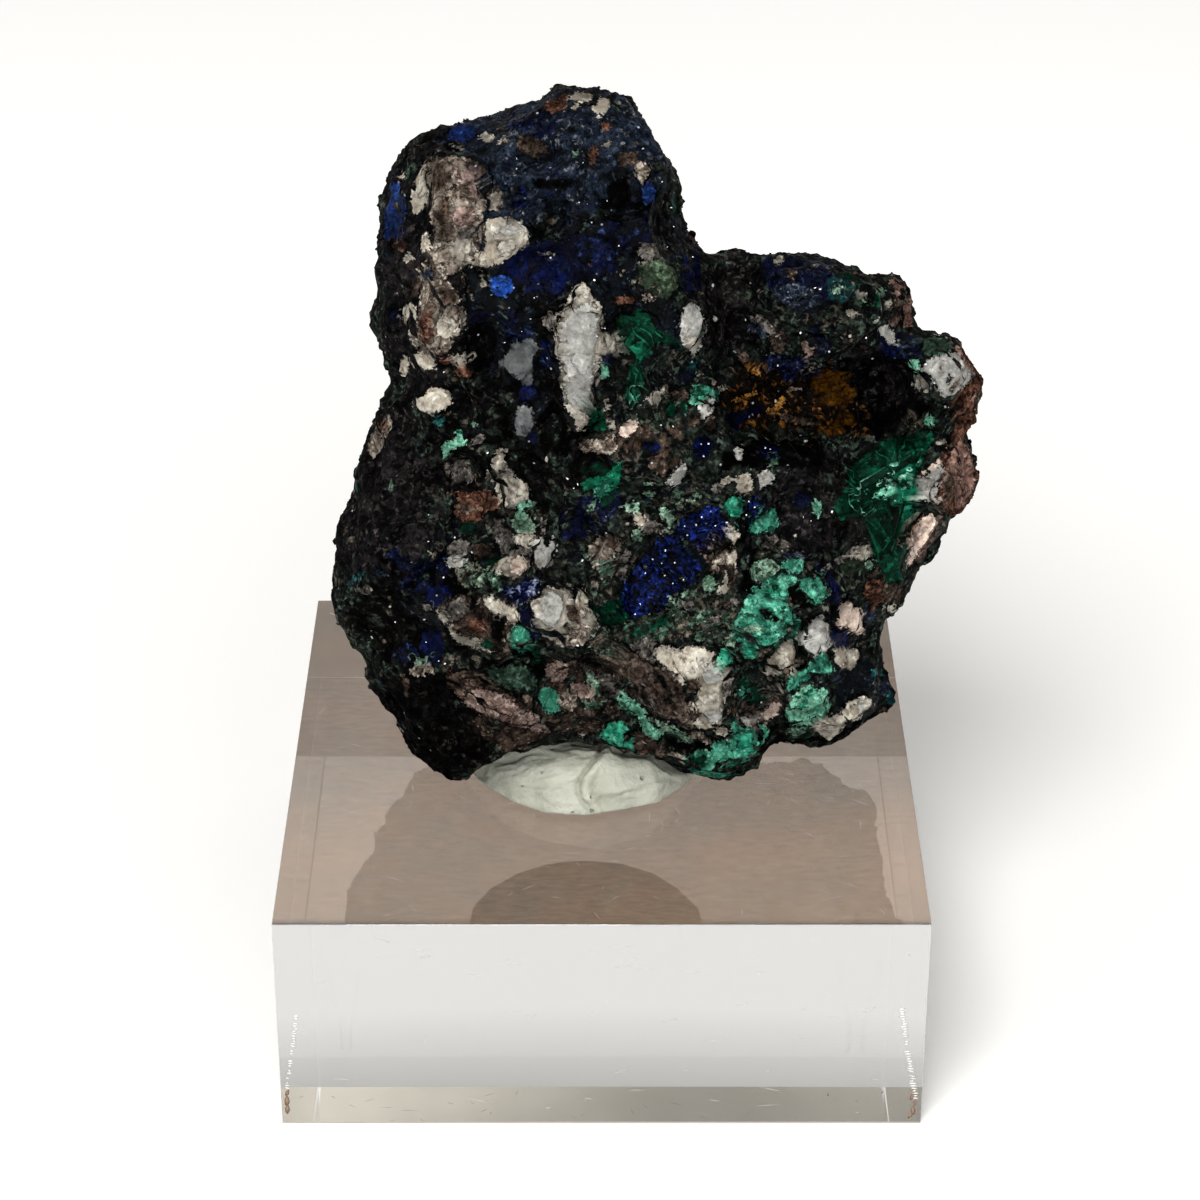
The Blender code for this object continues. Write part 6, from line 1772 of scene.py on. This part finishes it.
def mineral_material(name, shine, mottle=0.55, crack=0.6, bump=0.5, lace=0.0, cells=0.0, softness=0.0,
                     streaks=False):
    """Mineral in two mottled tones with cracks darkened by painted shade, read from the painted looks.

    Lace lightens thin winding veins, cells breaks the surface into small crystals that catch the light
    unevenly, and streaks paints the sheen of silky fibres that run out from a fan's centre as lighter
    streaks.
    """
    tree = material_tree(name)
    place = tree.place()
    looks = {look: tree.painted(look) for look in (
        "ground", "odd", "finish", "patch_ground", "patch_odd", "patch_finish")}
    bend = tree.texture("Noise", place, BEND_SIZE, Detail=2.0)["Color"]
    warped = tree.vector("ADD", place, tree.scaled(tree.vector("SUBTRACT", bend, (0.5, 0.5, 0.5)), BEND * MM))
    mottling = tree.cloud(warped, mottle, 4.0, 0.62)
    fine = tree.cloud(place, FINE_SIZE, 3.0, 0.6)
    winding = tree.vein(warped, CRACK_SIZE, 0.55)

    # The patch over the ground, with a jagged edge
    jag = tree.plus(tree.times(tree.less(mottling, 0.5), JAG), tree.times(tree.less(fine, 0.5), FINE_JAG))
    edge = tree.plus(looks["patch_ground"]["Alpha"], jag)
    inside = tree.spread(edge, -EDGE_HALF, EDGE_HALF)
    ground, odd, finish = (tree.blend(inside, looks[look]["Color"], looks["patch_" + look]["Color"])
                           for look in ("ground", "odd", "finish"))
    roughness, glint, share = tree.parts(finish)
    more = tree.less(looks["patch_odd"]["Alpha"], looks["odd"]["Alpha"])
    scatter = tree.plus(looks["odd"]["Alpha"], tree.times(more, inside))

    # Main and odd tones, and how light each place is
    pull = tree.times(tree.less(share, ODD_MEAN), ODD_PULL)
    colour = tree.blend(tree.spread(tree.plus(mottling, pull), *ODD_START), ground, odd)
    uneven = tree.less(tree.plus(fine, tree.cloud(warped, UNEVEN_SIZE, 3.0, 0.5, offset=3.0)), 1.0)
    level = tree.plus(tree.times(uneven, tree.times(scatter, SCATTER_PULL)), 1.0)
    # Painted shade darkens the thin winding cracks between lumps
    level = tree.times(level, tree.spread(winding, 0.0, CRACK_HALF, 1.0 - crack, 1.0))
    level = tree.times(level, tree.spread(tree.cloud(place, BROAD_SIZE, 2.0, 0.5), *BROAD_LEVEL))
    # Painted shade, lighter on high places and darker low down
    level = tree.times(level, tree.spread(looks["finish"]["Alpha"], *SHADE_LEVEL))
    # Painted shade in the crevice just outside each patch's edge
    crevice_shade = tree.spread(edge, -CREVICE_SHADE_REACH, -EDGE_HALF, 1.0, EDGE_SHADE)
    level = tree.times(level, tree.math("MAXIMUM", crevice_shade, inside))

    # Relief
    height = tree.plus(tree.times(mottling, 0.7), tree.times(fine, 0.4))
    height = tree.plus(height, tree.spread(winding, 0.0, CRACK_HALF_RELIEF, -CRACK_FALL * crack, 0.0))
    height = tree.plus(height, tree.spread(edge, *EDGE_STEP))
    facing = tree.add("NewGeometry").outputs["Normal"]

    if lace:
        vein = tree.vein(warped, LACE_SIZE, 0.5, offset=7.0)
        level = tree.times(level, tree.spread(vein, 0.0, LACE_HALF, 1.0 + lace, 1.0 - 0.4 * lace))
    if cells:
        crystal = tree.texture("Voronoi", warped, CRYSTAL_SIZE)["Color"]
        own = tree.parts(crystal)[0]
        level = tree.times(level, tree.spread(own, 0.0, 1.0, 1.0 - cells, 1.0 + cells))
        tilt = tree.vector("SUBTRACT", crystal, (0.5, 0.5, 0.5))
        facing = tree.vector("NORMALIZE", tree.vector("ADD", facing, tree.scaled(tilt, cells)))
    if streaks:
        angle, reach, _ = tree.parts(tree.painted("ray")["Color"])
        ray = tree.add("CombineXYZ", {0: tree.times(angle, SILK_ROUND), 1: tree.times(reach, SILK_ALONG)})
        silk_sheen = tree.add("TexNoise", {"Vector": ray.outputs[0], "Scale": 1.0, "Detail": 4.0}).outputs["Fac"]
        colour = tree.blend(tree.spread(silk_sheen, *SILK_COLOUR), colour, opaque(SILK_TONE))
        level = tree.times(level, tree.spread(silk_sheen, *SILK_LEVEL))
        height = tree.plus(height, silk_sheen)

    # Painted glints, and the finished skin
    colour = tree.scaled(colour, tree.math("MAXIMUM", level, 0.0))
    star = tree.texture("Voronoi", place, STAR_SIZE)
    chosen = tree.math("LESS_THAN", tree.parts(star["Color"])[0], tree.times(glint, STAR_SHARE))
    lit = tree.times(chosen, tree.spread(star["Distance"], *STAR_REACH, 1.0, 0.0))
    colour = tree.blend(lit, colour, STAR_COLOUR)
    raised = tree.add("Bump", {"Strength": bump, "Distance": RELIEF * MM, "Height": height, "Normal": facing})
    gloss = tree.plus(roughness, tree.times(tree.less(fine, 0.5), GLOSS_SCATTER))
    gloss = tree.add("Clamp", {0: gloss, 1: GLOSS_LEAST, 2: 1.0}).outputs[0]
    return tree.finish(tree.principled(
        Base_Color=colour, Roughness=gloss, Normal=raised.outputs[0], Specular_IOR_Level=shine,
        Subsurface_Weight=softness, Subsurface_Scale=SINK_OF_LIGHT * MM, Subsurface_Radius=(1.0, 1.0, 1.0)))


def putty_material():
    """Pale grey-green putty, matt, with pits and smears, and painted shade in its folds."""
    tree = material_tree("putty_grey_green")
    place = tree.place()
    smear = tree.texture("Noise", place, SMEAR_SIZE, Detail=4.0)["Fac"]
    pits = tree.texture("Voronoi", place, PIT_SIZE)
    chosen = tree.math("LESS_THAN", tree.parts(pits["Color"])[0], PIT_SHARE)
    pit = tree.times(chosen, tree.spread(pits["Distance"], *PIT_REACH, 1.0, 0.0))
    colour = tree.blend(tree.spread(smear, 0.3, 0.7), *map(opaque, PUTTY_TONES))
    colour = tree.blend(tree.times(pit, PIT_DARK), colour, opaque(PUTTY_PIT_TONE))
    # Painted shade of the folds
    colour = tree.scaled(colour, tree.spread(tree.painted("fold")["Fac"], *FOLD_LEVEL))
    skin = tree.texture("Noise", place, SKIN_SIZE, Detail=5.0)["Fac"]
    height = tree.less(tree.times(skin, SKIN_RISE), pit)
    raised = tree.add("Bump", {"Strength": 1.0, "Distance": PUTTY_RELIEF * MM, "Height": height})
    return tree.finish(tree.principled(
        Base_Color=colour, Roughness=0.62, Normal=raised.outputs[0], Subsurface_Weight=0.06,
        Subsurface_Scale=0.5 * MM, Subsurface_Radius=(1.0, 1.0, 1.0)))


def acrylic_material():
    """Clear acrylic, barely tinted and not quite evenly so."""
    tree = material_tree("clear_acrylic")
    tint = tree.spread(tree.cloud(tree.place(), ACRYLIC_TINT_SIZE, 2.0, 0.5), 0.35, 0.65)
    colour = tree.blend(tint, *ACRYLIC_TINTS)
    return tree.finish(tree.principled(Base_Color=colour, Roughness=0.0, IOR=ACRYLIC_IOR,
                                       Transmission_Weight=1.0))


def mark_material(mark):
    """The matt, slightly mottled material of the block's marks."""
    name, tone, roughness = MARK_LOOKS[mark]
    tree = material_tree(name)
    spots = tree.texture("Noise", tree.place(), MARK_MOTTLE_SIZE, Detail=4.0)["Fac"]
    level = tree.spread(spots, 0.3, 0.7, 1.0 - MARK_MOTTLE, 1.0 + MARK_MOTTLE)
    return tree.finish(tree.principled(Base_Color=tree.scaled((*linear(tone),), level), Roughness=roughness))


def make_putty(material):
    """The putty pad, pinched and folded, with a crease near its middle."""
    mesh = fine_mesh("mounting_putty", PUTTY_VOXEL, PUTTY_SMOOTHING)
    points, outward = coordinates(mesh), normals(mesh)
    a, b = sight_place(points)
    folds = np.stack([a * FOLD_ACROSS[0] + b * FOLD_ACROSS[1], b * FOLD_UP[1] + a * FOLD_UP[0],
                      points[:, 1] * FOLD_BACK], axis=1)
    pinched = 1.0 - PINCH_NARROW * np.abs(rough_noise(folds, PINCH_SIZE, SEEDS["putty_pinch"], 3))
    pinched = np.clip(pinched, 0.0, 1.0) ** PINCH_ROUND
    height = PUTTY_SWELL * rough_noise(folds, SWELL_SIZE, SEEDS["putty_swell"], 4) - PUTTY_PINCH * pinched
    from_crease = a - (CREASE_A + CREASE_WIND * np.sin((b - CREASE_B) * CREASE_WIND_RATE))
    crease = np.exp(-(from_crease / CREASE_WIDTH) ** 2)
    lip = np.exp(-((from_crease - LIP_BESIDE) / LIP_WIDTH) ** 2)
    height += LIP_RISE * lip - CREASE_DEPTH * crease
    # Painted shade: folds darker where they lie low
    level = np.clip(FOLD_SHADE[0] + FOLD_SHADE[1] * height, 0.0, 1.0)
    store_colour(mesh, "fold", np.repeat(level[:, None], 4, axis=1))
    hem = np.clip((points[:, 2] - BLOCK_TOP - PUTTY_HEM[0]) / PUTTY_HEM[1], 0.0, 1.0)
    moved = points + outward * (height * hem)[:, None]
    moved[:, 2] = np.maximum(moved[:, 2], BLOCK_TOP + PUTTY_CLEARANCE)
    place_vertices(mesh, moved)
    piece_from(mesh, "mounting_putty_skin", "putty", material, "mounting_putty")


def make_flecks(name, flecks, mark):
    """Marks on the block, as a joined mesh of thin lozenges.

    Each fleck is a middle, a half length, a half width, a turn and whether it lies on the block's top.
    """
    corners, faces = [], []
    for (x, y, z), half_length, half_width, turn, on_top in flecks:
        start = len(corners)
        cosine, sine = math.cos(turn), math.sin(turn)
        for along, across, out in LOZENGE:
            u = along * half_length * cosine - across * half_width * sine
            v = along * half_length * sine + across * half_width * cosine
            w = out * MARK_PROUD
            corners.append((x + u, y + v, z + w) if on_top else (x + u, y + w, z + v))
        for number in range(LOZENGE_RIM):
            following = (number + 1) % LOZENGE_RIM
            faces.append((start + number, start + following, start + LOZENGE_RIM))
            faces.append((start + following, start + number, start + LOZENGE_RIM + 1))
    mesh = bpy.data.meshes.new(name)
    mesh.from_pydata(corners, [], faces)
    shell = bmesh.new()
    shell.from_mesh(mesh)
    bmesh.ops.recalc_face_normals(shell, faces=shell.faces)
    shell.to_mesh(mesh)
    shell.free()
    piece_from(mesh, name, "acrylic", mark_material(mark))


def make_polished_block():
    """The clear block with a fine arris on its top and front edges."""
    shell = bmesh.new()
    bmesh.ops.create_cube(shell, size=1.0)
    inset = np.array([BLOCK_INSET, BLOCK_INSET, 0.0])
    bmesh.ops.scale(shell, vec=BLOCK_HIGH - BLOCK_LOW - 2.0 * inset, verts=shell.verts)
    bmesh.ops.translate(shell, vec=(BLOCK_HIGH + BLOCK_LOW) / 2.0, verts=shell.verts)
    middle = [sum((vertex.co for vertex in edge.verts), Vector()) / 2.0 for edge in shell.edges]
    eased = [edge for edge, at in zip(shell.edges, middle)
             if at.y < float(BLOCK_LOW[1]) + 1.0 or (at.z > BLOCK_TOP - 1.0 and abs(at.x) > 1.0)]
    bmesh.ops.bevel(shell, geom=eased, offset=EDGE_ARRIS, segments=2, profile=0.5, affect="EDGES")
    name = "acrylic_block_polished"
    mesh = bpy.data.meshes.new(name)
    shell.to_mesh(mesh)
    shell.free()
    piece_from(mesh, name, "acrylic", acrylic_material(), "acrylic_block").data.shade_flat()


def saw_marks(front, right, rng):
    """Marks of a saw that climb both front corners."""
    for side, top, bottom, lean, left_out, length in SAW_ROWS:
        for z in np.arange(bottom, top, SAW_STEP):
            share = (z - bottom) / (top - bottom)
            if rng.random() < left_out:
                continue
            x = side * (right - SAW_FROM_SIDE - lean * share + rng.normal() * SAW_SCATTER)
            half_length = rng.uniform(*SAW_HALF_LENGTHS) * length
            yield (x, front, z), half_length, SAW_HALF_WIDTH, rng.normal() * SAW_TURN, False


def front_scratches(front, rng):
    """Light scratches, nearly level, on the block's front."""
    for _ in range(FRONT_SCRATCHES):
        x, z = rng.uniform(-FRONT_SCRATCH_X, FRONT_SCRATCH_X), rng.uniform(*FRONT_SCRATCH_Z)
        half_length, half_width = rng.uniform(*FRONT_SCRATCH_LENGTHS), rng.uniform(*FRONT_SCRATCH_WIDTHS)
        yield (x, front, z), half_length, half_width, rng.normal() * FRONT_SCRATCH_TURN, False


def top_scratches(rng):
    """Light scratches, turned every way, on the block's top."""
    for _ in range(TOP_SCRATCHES):
        x, y = (rng.uniform(-TOP_SCRATCH_REACH, TOP_SCRATCH_REACH) for _ in range(2))
        half_length, half_width = rng.uniform(*TOP_SCRATCH_LENGTHS), rng.uniform(*TOP_SCRATCH_WIDTHS)
        yield (x, y, BLOCK_TOP), half_length, half_width, rng.uniform(0, math.pi), True


def make_block():
    """The clear block with its sawn edge marks, chips and scratches."""
    make_polished_block()
    rng = np.random.default_rng(RANDOM_SEED + 1)
    front = float(BLOCK_LOW[1]) + BLOCK_INSET
    saw = list(saw_marks(front, float(BLOCK_HIGH[0]), rng))
    chips = [((x, front, z), size, size * CHIP_SLIM, rng.uniform(*CHIP_TURNS), False)
             for x, z, size in EDGE_CHIPS]
    scratches = [*front_scratches(front, rng), *top_scratches(rng)]
    make_flecks("block_saw_marks", saw, "saw")
    make_flecks("block_edge_chips", chips, "chip")
    make_flecks("block_scratches", scratches, "scratch")


def floor_material():
    """Pale floor that grows lighter away from the object, like a sweep of lit paper."""
    tree = material_tree("floor_pale")
    away = tree.add("VectorMath", {0: tree.place()}, operation="LENGTH").outputs["Value"]
    return tree.finish(tree.principled(
        Base_Color=opaque(FLOOR_TONE), Roughness=0.9, Emission_Color=(1.0, 1.0, 1.0, 1.0),
        Emission_Strength=tree.spread(away, *FLOOR_GLOW_REACH, 0.0, FLOOR_GLOW)))


def mat_material():
    """Grey-brown paper under the block, fibrous and mottled."""
    tree = material_tree("floor_grey_brown")
    place = tree.place()
    fibres = tree.cloud(tree.vector("MULTIPLY", place, (0.35, 1.0, 1.0)), 0.5, 5.0, 0.65)
    broad = tree.cloud(place, 9.0, 3.0, 0.55, offset=5.0)
    colour = tree.blend(tree.spread(broad, 0.35, 0.65), *map(opaque, MAT_TONES))
    colour = tree.scaled(colour, tree.spread(fibres, 0.3, 0.7, 0.8, 1.2))
    return tree.finish(tree.principled(
        Base_Color=tree.scaled(colour, 1.0 - MAT_GLOW_SHARE), Roughness=0.9, Emission_Color=colour,
        Emission_Strength=MAT_GLOW))


def sheet_material():
    """Pale warm grey paper behind the block, faintly mottled."""
    tree = material_tree("floor_warm_grey")
    broad = tree.spread(tree.cloud(tree.place(), 6.0, 3.0, 0.55), 0.35, 0.65)
    colour = tree.blend(broad, *map(opaque, SHEET_TONES))
    return tree.finish(tree.principled(Base_Color=colour, Roughness=0.9))


def flat_stage(name, half_x, half_y, z, material, middle_y=0.0):
    """A flat sheet that isn't part of the object."""
    sheet = bmesh.new()
    corners = [sheet.verts.new((x * half_x * MM, y * half_y * MM, z * MM))
               for x, y in ((-1, -1), (1, -1), (1, 1), (-1, 1))]
    sheet.faces.new(corners)
    mesh = bpy.data.meshes.new(name)
    sheet.to_mesh(mesh)
    sheet.free()
    mesh.materials.append(material)
    stage = bpy.data.objects.new(name, mesh)
    stage.location = (0.0, middle_y * MM, 0.0)
    bpy.context.scene.collection.objects.link(stage)


def area_light(name, place, target, size, watts, tint, through_block):
    """A soft rectangular light aimed at a target, both in millimetres."""
    light = bpy.data.lights.new(name, "AREA")
    light.shape = "RECTANGLE"
    light.size, light.size_y = size[0] * MM, size[1] * MM
    light.energy = watts
    light.color = tint
    lamp = bpy.data.objects.new(name, light)
    lamp.location = Vector(place) * MM
    lamp.rotation_euler = (Vector(target) - Vector(place)).to_track_quat("-Z", "Y").to_euler()
    lamp.visible_transmission = through_block
    bpy.context.scene.collection.objects.link(lamp)


def pale_room():
    """Surroundings: a pale wall behind, a darker ceiling, and little light from the front."""
    tree = Tree(bpy.data.worlds.new("pale_room"))
    _, back, up = tree.add("SeparateXYZ", {0: tree.add("TexCoord").outputs["Generated"]}).outputs
    wall = tree.spread(up, *WALL_TOP, WALL, CEILING)
    slope = tree.math("DIVIDE", up, tree.math("MAXIMUM", back, 0.01))
    glow = tree.times(tree.spread(slope, *GLOW_LOW), tree.spread(slope, *GLOW_HIGH, 1.0, 0.0))
    wall = tree.plus(wall, tree.times(glow, WALL_GLOW))
    level = tree.plus(tree.times(wall, tree.spread(back, 0.0, 0.5)),
                      tree.spread(back, 0.0, 0.5, FRONT_ROOM, 0.0))
    tone = tree.blend(tree.spread(up, *WALL_TOP), WALL_TINT, CEILING_TINT)
    tone = tree.blend(glow, tone, GLOW_TINT)
    room = tree.add("Background", {"Color": tone, "Strength": level})
    return tree.finish(room.outputs[0], "OutputWorld")


def make_stage():
    """Pale floor, soft lights, pale surroundings and the camera."""
    flat_stage("floor", FLOOR_HALF, FLOOR_HALF, FLOOR_Z, floor_material())
    half = float(BLOCK_HIGH[0]) - BLOCK_INSET
    flat_stage("floor_under_block", half, half, MAT_Z, mat_material())
    flat_stage("floor_behind_block", *SHEET_HALF, MAT_Z, sheet_material(), SHEET_Y)
    for light in LIGHTS:
        area_light(*light)
    bpy.context.scene.world = pale_room()
    bpy.context.scene.view_settings.view_transform = "Standard"
    camera = bpy.data.cameras.new("camera")
    camera.sensor_width = SENSOR_MM
    camera.lens = LENS_MM
    camera.clip_start, camera.clip_end = CLIP_METRES
    holder = bpy.data.objects.new("camera", camera)
    holder.location = Vector(EYE) * MM
    holder.rotation_euler = (math.pi / 2 - EYE_PITCH, 0.0, 0.0)
    bpy.context.scene.collection.objects.link(holder)
    bpy.context.scene.camera = holder


def main():
    """Dresses the frame."""
    earth = mineral_material("earthy_matrix", 0.012, crack=0.75, bump=0.85)
    quartz = mineral_material("sugary_quartz", 0.12, mottle=0.9, crack=0.12, bump=0.3, softness=0.2)
    azurite = mineral_material("azurite_crystals", 0.035, cells=0.55, crack=0.5, bump=0.75)
    malachite = mineral_material("lacy_malachite", 0.03, mottle=0.45, crack=0.5, lace=0.35)
    silky = mineral_material("silky_malachite", 0.022, crack=0.3, bump=0.4, streaks=True)
    grain_material = (earth, quartz, azurite, malachite)
    materials = {node: grain_material for node in GROWTHS}
    materials.update({node: (earth, quartz, azurite, silky) for node in FAN_CENTRES})
    surface, tree = make_rock(grain_material)
    surfaces, every_surface = [surface], [surface]
    for node in GROWTHS:
        skin = make_growth(node, tree, materials)
        every_surface.append(skin)
        if GROWTHS[node][0] in ("druse", "botryoid"):
            surfaces.append(skin)
    make_grains(surfaces, grain_material)
    make_sparks(every_surface, grain_material)
    make_putty(putty_material())
    make_block()
    make_stage()


main()
